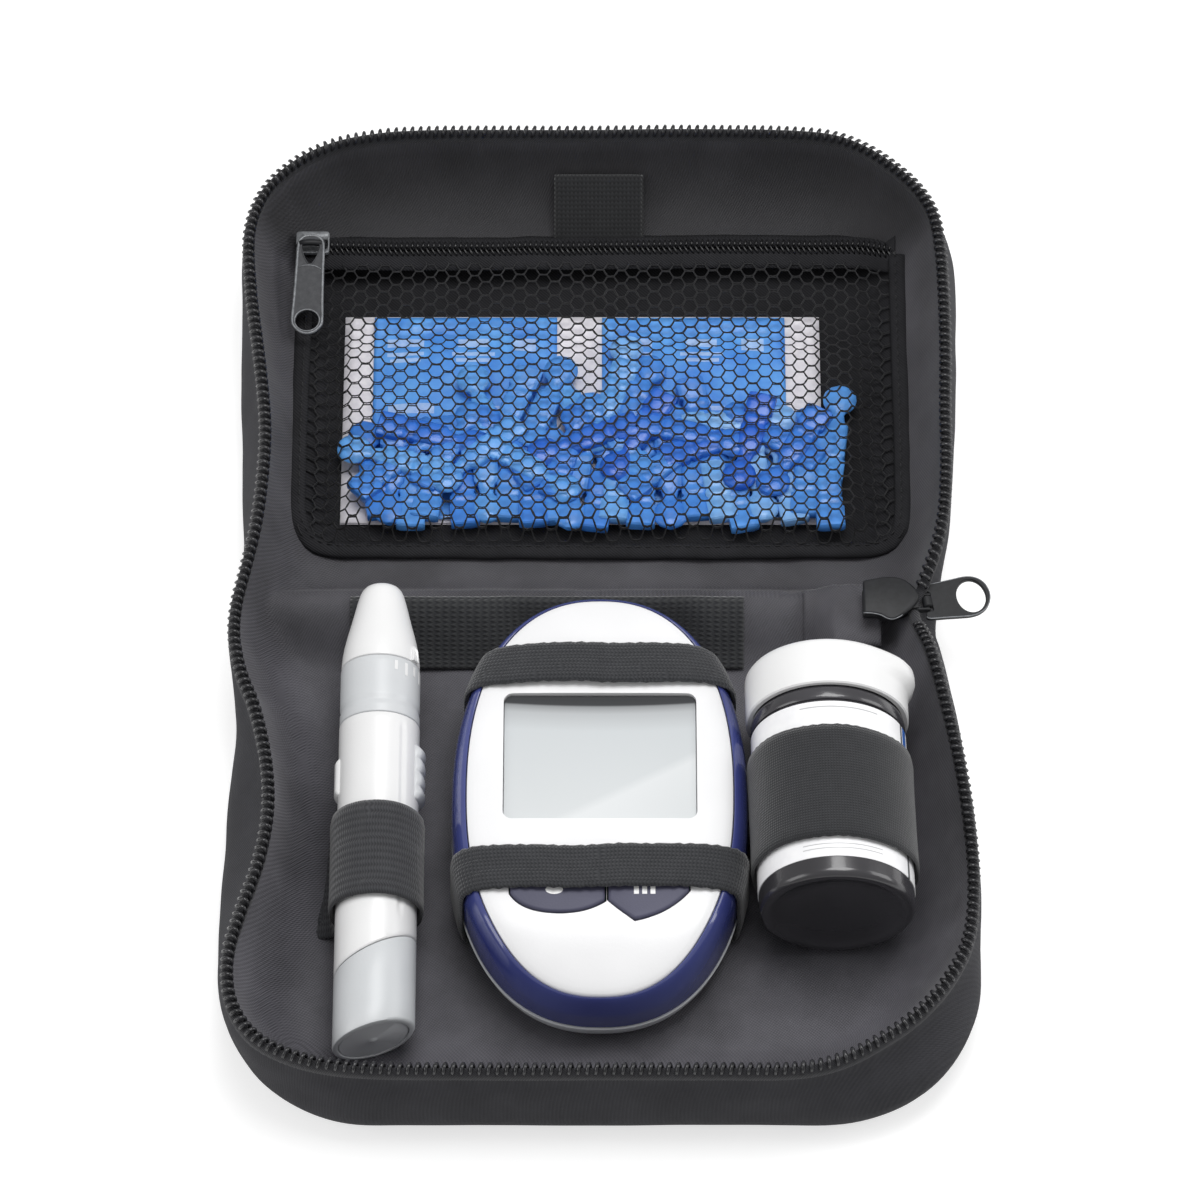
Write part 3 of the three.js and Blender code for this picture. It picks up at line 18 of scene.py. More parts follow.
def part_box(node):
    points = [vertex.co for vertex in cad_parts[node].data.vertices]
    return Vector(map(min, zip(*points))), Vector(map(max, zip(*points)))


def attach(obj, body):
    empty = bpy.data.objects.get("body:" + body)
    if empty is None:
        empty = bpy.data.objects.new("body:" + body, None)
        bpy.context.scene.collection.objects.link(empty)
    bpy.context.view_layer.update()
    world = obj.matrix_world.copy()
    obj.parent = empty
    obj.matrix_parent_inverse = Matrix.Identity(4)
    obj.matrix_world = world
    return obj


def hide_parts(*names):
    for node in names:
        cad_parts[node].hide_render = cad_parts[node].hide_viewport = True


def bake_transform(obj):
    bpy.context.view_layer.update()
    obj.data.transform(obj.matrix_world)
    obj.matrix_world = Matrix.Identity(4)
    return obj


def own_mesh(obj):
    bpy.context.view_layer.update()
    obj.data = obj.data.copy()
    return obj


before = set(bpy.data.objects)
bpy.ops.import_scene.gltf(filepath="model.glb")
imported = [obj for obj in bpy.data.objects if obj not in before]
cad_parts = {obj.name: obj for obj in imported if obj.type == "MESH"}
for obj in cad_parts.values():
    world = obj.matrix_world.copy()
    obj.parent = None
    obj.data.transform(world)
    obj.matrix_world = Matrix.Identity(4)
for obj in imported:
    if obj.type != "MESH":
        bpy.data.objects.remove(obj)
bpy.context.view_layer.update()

# %% [markdown]
# Every size below is in millimetres as one would measure it on the case: X from the middle of the fold to the
# right, Y from the fold to the back, and Z up from the table. The CAD model puts its zero a little to the side,
# so one offset, read from the shell's own box, brings both together. The helper below turns lists of points and
# faces into a finished object.

# %% Millimetres on the case to metres in the model
SHELL_LEFT = -70.1
X_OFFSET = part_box("base_shell")[0].x * 1000 - SHELL_LEFT


def metres(point):
    """A point in millimetres on the case, as metres in the model's frame."""
    return Vector(((point[0] + X_OFFSET) / 1000, point[1] / 1000, point[2] / 1000))


def new_piece(name, points, faces, finish=None, smooth=True):
    """An object from points in millimetres and faces, with its place in its mesh."""
    mesh = bpy.data.meshes.new(name)
    mesh.from_pydata([metres(p) for p in points], [], faces)
    mesh.validate()
    piece = bpy.data.objects.new(name, mesh)
    bpy.context.scene.collection.objects.link(piece)
    if finish:
        mesh.materials.append(finish)
    for polygon in mesh.polygons:
        polygon.use_smooth = smooth
    return piece


def outward(piece):
    """Turns the faces of a closed form so that they point outwards."""
    form = bmesh.new()
    form.from_mesh(piece.data)
    bmesh.ops.recalc_face_normals(form, faces=form.faces)
    form.to_mesh(piece.data)
    form.free()
    return piece


def loft(rings, capped=False):
    """Points and faces of a skin over rings that have equal numbers of points, with or without end faces."""
    count = len(rings[0])
    points = [p for ring in rings for p in ring]
    faces = []
    for r in range(len(rings) - 1):
        for i in range(count):
            j = (i + 1) % count
            faces.append((r * count + i, r * count + j, (r + 1) * count + j, (r + 1) * count + i))
    if capped:
        faces.append(tuple(reversed(range(count))))
        faces.append(tuple(range((len(rings) - 1) * count, len(rings) * count)))
    return points, faces


def weld(mesh, distance=1e-7, clean=False):
    """Joins points that lie on each other, and if asked removes faces that this leaves without area."""
    form = bmesh.new()
    form.from_mesh(mesh)
    bmesh.ops.remove_doubles(form, verts=form.verts, dist=distance)
    if clean:
        bmesh.ops.dissolve_degenerate(form, edges=form.edges, dist=1e-7)
    form.to_mesh(mesh)
    form.free()


def shade(piece, degrees=40):
    """Smooth shading that keeps edges sharper than the angle."""
    for polygon in piece.data.polygons:
        polygon.use_smooth = True
    piece.data.set_sharp_from_angle(angle=math.radians(degrees))
    return piece


def finished(piece):
    """Applies the piece's modifiers, so that its mesh is plain."""
    bpy.context.view_layer.update()
    evaluated = piece.evaluated_get(bpy.context.evaluated_depsgraph_get())
    mesh = bpy.data.meshes.new_from_object(evaluated)
    piece.modifiers.clear()
    piece.data = mesh
    return piece


def spread(first, span, steps):
    """Numbers from the first one over a span in equal steps, with both ends."""
    return [first + span * i / steps for i in range(steps + 1)]


def dress(piece, body, slot, *nodes):
    """Fixes a piece to a body and hides the CAD nodes that it stands for. The slot is not used."""
    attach(piece, body)
    if nodes:
        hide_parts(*nodes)


# %% [markdown]
# The photograph was taken from the front with a long lens, from well above the table. A long lens far away keeps
# the two halves nearly the same width in the picture, as the photograph has them.

# %% Camera at the photograph's viewing angle
CAMERA_ELEVATION = math.radians(57)
CAMERA_DISTANCE = 1180
CAMERA_TARGET_Y = 9.5
FIELD_OF_VIEW = math.radians(11.127)

camera_data = bpy.data.cameras.new("studio_camera")
camera_data.sensor_fit = "HORIZONTAL"
camera_data.sensor_width = 36
camera_data.lens = 18 / math.tan(FIELD_OF_VIEW / 2)
camera_data.clip_end = 20
camera = bpy.data.objects.new("studio_camera", camera_data)
bpy.context.scene.collection.objects.link(camera)
camera.location = metres(
    (
        0,
        CAMERA_TARGET_Y - CAMERA_DISTANCE * math.cos(CAMERA_ELEVATION),
        CAMERA_DISTANCE * math.sin(CAMERA_ELEVATION),
    )
)
camera.rotation_euler = (math.pi / 2 - CAMERA_ELEVATION, 0, 0)
bpy.context.scene.camera = camera
print("lens", round(camera_data.lens, 1), "mm")

# %% [markdown]
# Materials are built from nodes. One small function adds a node with its settings and its links, and another
# turns the familiar hex colours to the linear light that the renderer works in.

# %% Helpers for materials
def linear(code):
    """An sRGB hex colour as linear red, green, blue and alpha."""
    channels = [int(code[i : i + 2], 16) / 255 for i in (1, 3, 5)]
    values = [c / 12.92 if c <= 0.04045 else ((c + 0.055) / 1.055) ** 2.4 for c in channels]
    return (*values, 1.0)


def add_node(tree, kind, links=None, **settings):
    """Adds a node. Settings name an attribute or an input's default, and links name inputs."""
    node = tree.nodes.new(kind)
    for key, value in settings.items():
        socket = key.replace("_", " ")
        if hasattr(node, key):
            setattr(node, key, value)
        else:
            matches = [s for s in node.inputs if s.name.lower() == socket.lower()]
            matches[0].default_value = value
    for key, source in (links or {}).items():
        target = node.inputs[key]
        tree.links.new(source, target)
    return node


def new_material(name, colour, roughness, **settings):
    """A material with a Principled shader, whose constant sockets are set here."""
    material = bpy.data.materials.new(name)
    material.use_nodes = True
    tree = material.node_tree
    tree.nodes.clear()
    shader = add_node(tree, "ShaderNodeBsdfPrincipled", Base_Color=linear(colour), Roughness=roughness, **settings)
    add_node(tree, "ShaderNodeOutputMaterial", {"Surface": shader.outputs[0]})
    return material, tree, shader


def ramp(tree, source, stops):
    """A colour ramp over a source, with stops of place and hex colour."""
    node = add_node(tree, "ShaderNodeValToRGB", {"Fac": source})
    while len(node.color_ramp.elements) < len(stops):
        node.color_ramp.elements.new(0.5)
    for element, (place, colour) in zip(node.color_ramp.elements, stops):
        element.position = place
        element.color = linear(colour)
    return node.outputs["Color"]


def maths(tree, operation, *values):
    """A Math node over sockets and numbers."""
    node = add_node(tree, "ShaderNodeMath", operation=operation)
    for socket, value in zip(node.inputs, values):
        if hasattr(value, "links"):
            tree.links.new(value, socket)
        else:
            socket.default_value = value
    return node.outputs[0]


# %% [markdown]
# The table is plain and white. It shows as white to the camera, to reflections and through glass, and still
# takes the object's soft shadow. A large soft box above and a weaker one at each side light the object at a
# level at which a colour renders about as it is written.

# %% Floor, world and lamps
floor_material, floor_tree, floor_shader = new_material("white_paper_backdrop", "#c4c4c4", 0.9)
floor_path = add_node(floor_tree, "ShaderNodeLightPath")
seen = maths(floor_tree, "MAXIMUM", floor_path.outputs["Is Camera Ray"], floor_path.outputs["Is Glossy Ray"])
seen = maths(floor_tree, "MAXIMUM", seen, floor_path.outputs["Is Transmission Ray"])
glow = add_node(floor_tree, "ShaderNodeEmission", {"Strength": maths(floor_tree, "MULTIPLY", seen, 0.62)})
both = add_node(floor_tree, "ShaderNodeAddShader")
floor_tree.links.new(floor_shader.outputs[0], both.inputs[0])
floor_tree.links.new(glow.outputs[0], both.inputs[1])
floor_tree.links.new(both.outputs[0], floor_tree.nodes["Material Output"].inputs["Surface"])
table = new_piece(
    "backdrop", [(-3000, -3000, 0), (3000, -3000, 0), (3000, 3000, 0), (-3000, 3000, 0)], [(0, 1, 2, 3)], floor_material
)
table.location.z = -0.0002

world = bpy.data.worlds.new("studio")
bpy.context.scene.world = world
world.use_nodes = True
world_tree = world.node_tree
world_tree.nodes.clear()
world_path = add_node(world_tree, "ShaderNodeLightPath")
world_seen = maths(
    world_tree, "MAXIMUM", world_path.outputs["Is Camera Ray"], world_path.outputs["Is Transmission Ray"]
)
surround = add_node(world_tree, "ShaderNodeBackground", Color=(1, 1, 1, 1), Strength=0.46)
white = add_node(world_tree, "ShaderNodeBackground", Color=(1, 1, 1, 1), Strength=1.0)
chosen = add_node(world_tree, "ShaderNodeMixShader", {"Fac": world_seen})
world_tree.links.new(surround.outputs[0], chosen.inputs[1])
world_tree.links.new(white.outputs[0], chosen.inputs[2])
add_node(world_tree, "ShaderNodeOutputWorld", {"Surface": chosen.outputs[0]})


def soft_box(name, place, target, size, watts):
    """A square soft lamp at a place, turned to a target, both in millimetres."""
    data = bpy.data.lights.new(name, "AREA")
    data.shape = "SQUARE"
    data.size = size / 1000
    data.energy = watts
    lamp = bpy.data.objects.new(name, data)
    bpy.context.scene.collection.objects.link(lamp)
    lamp.location = metres(place)
    lamp.rotation_euler = (metres(target) - metres(place)).to_track_quat("-Z", "Y").to_euler()


soft_box("top_soft_box", (80, 150, 860), (0, 0, 10), 480, 4.7)
soft_box("left_soft_box", (-800, -250, 500), (0, 0, 10), 500, 2.0)
soft_box("right_soft_box", (820, 100, 420), (0, 0, 10), 500, 2.3)
bpy.context.scene.view_settings.view_transform = "Standard"

# %% [markdown]
# Cloth is threads that pass over and under each other. A sine wave along each thread direction, multiplied
# together, gives the little hills of a plain weave, and their difference the diagonal of a twill. The waves run
# on the piece's own coordinates in metres, so the thread pitch is a real size. Height is mixed into both
# directions so that the weave also shows on upright walls. The other helpers here are used by every material.

# %% Helpers for cloth and surfaces
def object_place(tree):
    """The shaded place in the piece's own coordinates, in metres."""
    return add_node(tree, "ShaderNodeTexCoord").outputs["Object"]


def split(tree, vector):
    """X, Y and Z of a vector."""
    return add_node(tree, "ShaderNodeSeparateXYZ", {"Vector": vector}).outputs


def height_of(tree, wave):
    """A wave of -1 to 1 as a height of 0 to 1."""
    return maths(tree, "MULTIPLY_ADD", wave, 0.5, 0.5)


def weigh(tree, first, first_share, second, second_share):
    """Two heights added by their shares."""
    return maths(tree, "MULTIPLY_ADD", first, first_share, maths(tree, "MULTIPLY", second, second_share))


def thread_waves(tree, pitch, slant=0.0):
    """Two waves, across and along, of that thread pitch in millimetres."""
    x, y, z = split(tree, object_place(tree))
    turns = 2 * math.pi * 1000 / pitch
    across = maths(tree, "ADD", maths(tree, "ADD", x, maths(tree, "MULTIPLY", y, slant)), z)
    along = maths(tree, "ADD", maths(tree, "SUBTRACT", y, maths(tree, "MULTIPLY", x, slant)), z)
    return [maths(tree, "SINE", maths(tree, "MULTIPLY", way, turns)) for way in (across, along)]


def plain_weave(tree, pitch, slant=0.0):
    """The height of a plain weave, highest where both threads rise."""
    over, under = thread_waves(tree, pitch, slant)
    return height_of(tree, maths(tree, "MULTIPLY", over, under))


def grain(tree, size, detail=2.0, roughness=0.6):
    """Noise with features of that size in millimetres."""
    return add_node(
        tree, "ShaderNodeTexNoise", {"Vector": object_place(tree)}, Scale=1000 / size, Detail=detail,
        Roughness=roughness,
    ).outputs["Fac"]


def relief(tree, shader, height, depth):
    """Sends a height of 0 to 1 to the shader's normal, at that depth in millimetres."""
    bump = add_node(tree, "ShaderNodeBump", {"Height": height}, Strength=1.0, Distance=depth / 1000)
    tree.links.new(bump.outputs[0], shader.inputs["Normal"])


def tint(tree, shader, factor, dark, light, low=0.3, high=0.7):
    """Colours the shader from dark to light by a factor."""
    tree.links.new(ramp(tree, factor, [(low, dark), (high, light)]), shader.inputs["Base Color"])


def mix_in(tree, share, base, colour):
    """A base colour that turns to a hex colour by a share."""
    node = add_node(tree, "ShaderNodeMix", data_type="RGBA")
    tree.links.new(share, node.inputs[0])
    tree.links.new(base, node.inputs[6])
    node.inputs[7].default_value = linear(colour)
    return node.outputs[2]


def mottled(name, colour, roughness, tones, patch, grit, depth, **settings):
    """A material with a tone that changes in patches and a fine grit. Patch and grit are what grain takes."""
    material, tree, shader = new_material(name, colour, roughness, **settings)
    tint(tree, shader, grain(tree, *patch), *tones)
    relief(tree, shader, grain(tree, *grit), depth)
    return material


# %% [markdown]
# The outside of the case is a matt polyester cloth bonded to foam. It is dark grey rather than black, softly
# mottled where it has been handled, and it takes light at grazing angles from its loose fibres.

# %% Outer polyester
outer_cloth, tree, shader = new_material(
    "woven_polyester_outer", "#333436", 0.9, Sheen_Weight=0.06, Sheen_Roughness=0.5, Specular_IOR_Level=0.2
)
hills = plain_weave(tree, 0.7)
tint(tree, shader, weigh(tree, hills, 0.35, grain(tree, 9, 4), 0.65), "#2b2b2e", "#3e3e42", 0.2, 0.75)
relief(tree, shader, weigh(tree, hills, 0.8, grain(tree, 0.5), 0.4), 0.1)

# %% [markdown]
# The lining is a thin, slightly shiny polyester. Where it turns towards the light each crossing of the threads glints,
# which reads as rows of small dots. The real thread pitch is near 0.3 mm; it is drawn at 0.62 mm so that the dots show.
# Its colour also carries painted light and shade: the front tray's panel is painted lighter and the lid's panel darker,
# and a painted shadow darkens the lid's back wall behind the pocket zip, down to the floor.

# %% Lining
lining_cloth, tree, shader = new_material(
    "polyester_lining", "#3a3b3e", 0.62, Sheen_Weight=0.18, Sheen_Roughness=0.4, Specular_IOR_Level=0.4
)
dots = plain_weave(tree, 0.62, 0.18)
tint(tree, shader, weigh(tree, dots, 0.36, grain(tree, 14, 3), 0.64), "#2f2e32", "#5b5a60", 0.22, 0.8)
# Painted light and shade: the colour is scaled up on the front tray and down on the lid, and a painted shadow darkens
# the lid's back wall behind the pocket zip.
_, back_at, up_at = split(tree, object_place(tree))
lid_share = add_node(tree, "ShaderNodeMapRange", {"Value": back_at}, From_Min=-0.014, From_Max=0.006)
painted_panel_light = maths(tree, "MULTIPLY_ADD", lid_share.outputs[0], -0.48, 1.23)
behind = add_node(tree, "ShaderNodeMapRange", {"Value": back_at}, From_Min=0.083, From_Max=0.088, To_Max=0.6)
below = add_node(
    tree, "ShaderNodeMapRange", {"Value": up_at}, From_Min=0.017, From_Max=0.022, To_Min=1.0, To_Max=0.0
)
shaded = maths(tree, "MULTIPLY", behind.outputs[0], below.outputs[0])
painted_panel_light = maths(tree, "MULTIPLY", painted_panel_light, maths(tree, "SUBTRACT", 1.0, shaded))
toned = add_node(tree, "ShaderNodeVectorMath", operation="SCALE")
tree.links.new(shader.inputs["Base Color"].links[0].from_socket, toned.inputs[0])
tree.links.new(painted_panel_light, toned.inputs["Scale"])
tree.links.new(toned.outputs[0], shader.inputs["Base Color"])
relief(tree, shader, weigh(tree, dots, 0.9, grain(tree, 3, 3), 0.3), 0.09)

# %% [markdown]
# The zip tape and the pocket's cloth are a tight twill. Its fine diagonal is what tells it from the lining. The
# pocket's cloth is blacker than the rest.

# %% Twill cloths
def twill_cloth(name, colour, roughness, pitch, thread_share, tones, depth, **settings):
    """A tight twill, whose tone is partly its threads and partly wear. The tones are dark and light."""
    material, tree, shader = new_material(name, colour, roughness, **settings)
    twill = height_of(tree, thread_waves(tree, pitch, 1.0)[0])
    worn = weigh(tree, twill, thread_share, grain(tree, 6, 3), 1 - thread_share)
    tint(tree, shader, worn, *tones, 0.2, 0.8)
    relief(tree, shader, weigh(tree, twill, 0.7, grain(tree, 0.6), 0.5), depth)
    return material


tape_cloth = twill_cloth(
    "polyester_twill_tape", "#2b2b2e", 0.8, 0.5, 0.3, ("#1f1f22", "#333337"), 0.12, Sheen_Weight=0.2,
    Specular_IOR_Level=0.3,
)
pocket_cloth = twill_cloth(
    "black_polyester_pocket_cloth", "#151517", 0.85, 0.7, 0.4, ("#151517", "#29292c"), 0.1, Specular_IOR_Level=0.2
)

# %% [markdown]
# Knitted elastic has fine cords of rubber along its length, with stitches that cross them. Each strap carries a
# UV map in centimetres along and across it, so its ribs follow the strap wherever it bends.

# %% Knitted elastic
def knitted(name, dark, light, rib, stitch, depth=0.2):
    """Elastic with ribs along the strap and stitches across it, by their pitch in millimetres."""
    material, tree, shader = new_material(name, dark, 0.85, Sheen_Weight=0.3, Specular_IOR_Level=0.25)
    length, width, _ = split(tree, add_node(tree, "ShaderNodeUVMap", uv_map="strap").outputs[0])
    cords = maths(tree, "SINE", maths(tree, "MULTIPLY", width, 20 * math.pi / rib))
    shift = maths(tree, "MULTIPLY", cords, 1.2)
    loops = maths(tree, "SINE", maths(tree, "MULTIPLY_ADD", length, 20 * math.pi / stitch, shift))
    knit = weigh(tree, height_of(tree, loops), 0.55, height_of(tree, cords), 0.45)
    tint(tree, shader, weigh(tree, knit, 0.6, grain(tree, 2.2, 3), 0.4), dark, light, 0.25, 0.8)
    relief(tree, shader, knit, depth)
    return material


strap_knit = knitted("knitted_strap_elastic", "#242528", "#3a3b3e", 0.8, 0.7, 0.12)
spine_knit = knitted("knitted_spine_webbing", "#232427", "#373839", 0.9, 1.5)
fine_knit = knitted("fine_knitted_elastic", "#222325", "#333437", 0.55, 0.5, 0.09)
pen_knit = knitted("ribbed_elastic_of_the_pen_loop", "#29292c", "#404144", 1.4, 0.5, 0.12)
# The finger loop's elastic is painted darker than the others, as painted shade where the loop stands off the wall.
loop_knit_painted_shade = knitted("ribbed_elastic_of_the_finger_loop", "#121214", "#242527", 0.8, 0.9, 0.12)

# %% [markdown]
# Net thread and zip teeth are moulded or spun black plastic. The thread is dull, and the teeth have small bright
# glints on their rounded tops. The pocket's fine coil is blacker still.

# %% Net thread, zip teeth and coil
net_thread = mottled(
    "polyester_net_thread", "#121214", 0.55, ("#0d0d0f", "#1c1c1f"), (0.8, 2), (0.3, 1), 0.05, Sheen_Weight=0.08,
    Specular_IOR_Level=0.3,
)
tooth_plastic = mottled("moulded_acetal_teeth", "#222224", 0.22, ("#1b1b1d", "#2e2e31"), (2.5, 2), (0.5, 2), 0.02)
coil_nylon = mottled("nylon_zip_coil", "#0e0e10", 0.3, ("#0b0b0c", "#18181a"), (2.5, 2), (0.5, 2), 0.02)

# %% [markdown]
# The sliders and their pulls are die-cast zinc under black enamel. The enamel is rubbed along the rims and scuffed on
# the small pull, where more of the grey zinc shows. The same pale finish paints a highlight along the front edge of the
# big slider's shield.

# %% Enamel on zinc, whole, scuffed and rubbed
def enamel(name, dark, light, roughness, metal):
    """Enamel on zinc, with small scuffs where more or less of the metal shows."""
    return mottled(
        name, dark, roughness, (dark, light, 0.35, 0.75), (1.1, 4, 0.7), (0.9, 3), 0.03, Metallic=metal,
        Specular_IOR_Level=0.35,
    )


black_enamel = enamel("black_enamel_on_zinc", "#17181a", "#212225", 0.52, 0.0)
scuffed_enamel = enamel("scuffed_enamel_on_zinc", "#353639", "#454649", 0.52, 0.1)
wear_and_highlight_enamel = enamel("rubbed_enamel_and_painted_highlight", "#67696c", "#8f9194", 0.42, 0.4)

# %% [markdown]
# Moulded plastics differ in how smooth the mould was. The meter's face is satin white ABS and the pen satin
# polypropylene, the navy rim is a high-gloss moulding, the greys are a softer satin, and the keys are dull
# silicone rubber.

# %% Moulded plastics
def moulded(name, colour, lighter, roughness, grit=0.5, depth=0.012, coat=0.0):
    """A moulded plastic with its mould's fine grit and a slight change of tone."""
    return mottled(
        name, colour, roughness, (colour, lighter, 0.35, 0.65), (22, 2), (grit, 2), depth, Coat_Weight=coat,
        Coat_Roughness=0.08,
    )


white_abs = moulded("satin_white_abs", "#e4e4e5", "#eaeaeb", 0.34)
pen_white = moulded("satin_white_polypropylene", "#e1e1e1", "#e8e8e8", 0.3)
pale_grey = moulded("satin_pale_grey_abs", "#c4c7c9", "#ced0d2", 0.36)
end_grey = moulded("satin_mid_grey_abs", "#c4c6c9", "#cfd1d3", 0.42)
navy_gloss = moulded("gloss_navy_abs", "#333a76", "#414983", 0.16, 0.8, 0.006, 0.8)
slate_silicone = moulded("slate_silicone_rubber", "#3d3d50", "#4c4c61", 0.55, 0.35, 0.03)
smoke_vial = moulded("near_black_polypropylene", "#2f2e31", "#3c3b3f", 0.24, 0.7, 0.01, 0.4)
cap_white = moulded("white_polyethylene", "#e7e7e7", "#ededed", 0.38)
board_green = moulded("fibreglass_board", "#2c6242", "#357a50", 0.5)
strip_white = moulded("white_polyester_strip", "#e9e9e6", "#f3f3f1", 0.5)

steel, tree, shader = new_material("bright_stainless_steel", "#c3c5c8", 0.25, Metallic=1.0)
relief(tree, shader, grain(tree, 0.6, 2), 0.01)

# %% [markdown]
# ## The soft case
# Everything soft about the case hangs on one line: the line of the zip. It was taken from the photograph, point
# by point, as a loop round both open trays. A smooth curve runs through the points and is walked at even steps,
# so that walls, tape and chain all share the same stations. At the right end of the fold the line is pinched in
# and lower, because the slider holds the two rows together there.

# %% The line of the zip
RIM_HEIGHT = 21.6
PINCH = (59.2, -2.6)
PINCH_DROP = 5.2
PINCH_REACH = 8.5

ZIP_LINE = [
    (59.2, -2.6), (61.4, 2.6), (63.6, 8.2), (65.2, 15.5), (66.0, 27), (66.2, 40), (66.6, 52), (66.7, 64),
    (66.4, 76), (65.2, 85.3), (61.9, 92.2), (56.9, 97.8), (51.4, 102.0), (45.0, 104.6), (34, 105.6), (18, 105.7),
    (0, 105.6), (-18, 105.6), (-33.5, 105.4), (-44, 104.6), (-53.1, 102.2), (-60.6, 97.3), (-66.0, 90.2),
    (-68.5, 80.5), (-67.8, 67), (-66.1, 54), (-64.7, 42.5), (-64.0, 33), (-64.3, 22), (-65.2, 12), (-66.9, 2.5),
    (-68.3, -5), (-68.5, -12.5), (-67.0, -20.5), (-64.5, -27.5), (-62.4, -36), (-61.2, -44.8), (-61.2, -53),
    (-62.6, -62), (-65.4, -72), (-67.3, -80.5), (-67.0, -89), (-64.2, -95.4), (-59.4, -99.9), (-51, -103.3),
    (-40, -104.6), (-20, -104.8), (0, -104.8), (20, -104.8), (34, -104.7), (42.5, -102.9), (50.4, -98.6),
    (57.4, -93.1), (63.3, -85.6), (67.1, -76.6), (68.2, -64), (67.4, -49), (66.0, -37.3), (63.9, -25.3),
    (61.9, -15.5), (60.0, -8),
]


def smooth_path(points, spacing, closed=False):
    """Points at even spacing on a smooth curve through the given ones."""
    count = len(points)
    corners = [Vector((*p, 0)) if len(p) == 2 else Vector(p) for p in points]
    dense = []
    for i in range(count if closed else count - 1):
        near = [(i + k) % count if closed else min(max(i + k, 0), count - 1) for k in (-1, 0, 1, 2)]
        a, b, c, d = (corners[k] for k in near)
        for j in range(16):
            t = j / 16
            dense.append(
                0.5 * (2 * b + (c - a) * t + (2 * a - 5 * b + 4 * c - d) * t**2 + (3 * b - a - 3 * c + d) * t**3)
            )
    dense.append(corners[0].copy() if closed else corners[-1].copy())
    reach = [0.0]
    for a, b in zip(dense, dense[1:]):
        reach.append(reach[-1] + (b - a).length)
    steps = max(2, round(reach[-1] / spacing))
    walked, k = [], 0
    for i in range(steps + (0 if closed else 1)):
        want = reach[-1] * i / steps
        while k < len(reach) - 2 and reach[k + 1] < want:
            k += 1
        span = max(reach[k + 1] - reach[k], 1e-9)
        walked.append(dense[k].lerp(dense[k + 1], min(1.0, (want - reach[k]) / span)))
    return walked


def outward_normals(path, closed=True):
    """Level directions to the right of an anticlockwise path, evened over a few steps."""
    count = len(path)
    sides = []
    for i in range(count):
        before = path[(i - 2) % count if closed else max(i - 2, 0)]
        after = path[(i + 2) % count if closed else min(i + 2, count - 1)]
        along = after - before
        sides.append(Vector((along.y, -along.x, 0)).normalized())
    return sides


rim = smooth_path(ZIP_LINE, 1.4, closed=True)
rim_out = outward_normals(rim)
for point in rim:
    pinch = math.exp(-(((point.y - PINCH[1]) / PINCH_REACH) ** 2)) if point.x > 0 else 0
    sag = 0.7 * math.exp(-(((point.y + 4) / 12) ** 2)) if point.x < 0 else 0
    point.z = RIM_HEIGHT - PINCH_DROP * pinch - sag + 0.25 * noise.noise(point / 22)
print("zip line", round(sum((a - b).length for a, b in zip(rim, rim[1:]))), "mm in", len(rim), "stations")

# %% [markdown]
# The wall bulges outwards below the zip, and its outline there doesn't follow the dents of the zip line. So a
# second line, the belly, is drawn by rule: two straight sides that narrow towards the fold, and round corners.
# Each station looks along its own outward direction for where it meets the belly.

# %% The line of the belly
BELLY_DEPTH = 107.0
BELLY_CORNER = 29.0
BELLY_LEFT, BELLY_RIGHT = 69.7, 69.5


def belly_half():
    """The belly line of the front half, from the fold's left end round to its right end."""
    line = []
    for i in range(60):
        away = (BELLY_DEPTH - BELLY_CORNER) * i / 60
        line.append((-BELLY_LEFT + 3.0 * max(0, 1 - away / 60) ** 1.5, -away))
    for side in (-1, 1):
        for i in range(31):
            turn = math.pi / 2 * (i / 30 if side < 0 else 1 - i / 30)
            reach = BELLY_LEFT if side < 0 else BELLY_RIGHT
            line.append((
                side * (reach - BELLY_CORNER + BELLY_CORNER * math.cos(turn)),
                -(BELLY_DEPTH - BELLY_CORNER) - BELLY_CORNER * math.sin(turn),
            ))
    for i in range(60, -1, -1):
        away = (BELLY_DEPTH - BELLY_CORNER) * i / 60
        line.append((BELLY_RIGHT - 6.0 * max(0, 1 - away / 60) ** 1.5, -away))
    return line


front_line = belly_half()
belly_line = [Vector((x, y, 0)) for x, y in front_line] + [Vector((x, -y, 0)) for x, y in reversed(front_line)]
belly_away = []
for point, side in zip(rim, rim_out):
    found = []
    for a, b in zip(belly_line, belly_line[1:] + belly_line[:1]):
        span, to = b - a, a - point
        across = side.x * span.y - side.y * span.x
        if abs(across) > 1e-9:
            away = (to.x * span.y - to.y * span.x) / across
            share = (to.x * side.y - to.y * side.x) / across
            if -0.01 <= share <= 1.01 and abs(away) < 16:
                found.append(away)
    belly_away.append(min(found, key=abs) if found else 0.0)
for _ in range(4):
    count = len(belly_away)
    belly_away = [(belly_away[i - 1] + 2 * belly_away[i] + belly_away[(i + 1) % count]) / 4 for i in range(count)]
print("belly stands", round(min(belly_away), 1), "to", round(max(belly_away), 1), "mm outside the zip")

# %% [markdown]
# Inside, the floor of each tray is nearly flat, and the fold between them rises as a soft crest with a steeper
# side towards the meter. One function gives that height at any place, and the floor, the walls and the band
# that is sewn over the crest all read it.

# %% Height of the fold's crest
FLOOR = 3.7
CREST_HEIGHT = 11.3


def smooth_step(value, low, high):
    """A soft rise from 0 at low to 1 at high. Low may be the larger one."""
    t = min(1.0, max(0.0, (value - low) / (high - low)))
    return t * t * (3 - 2 * t)


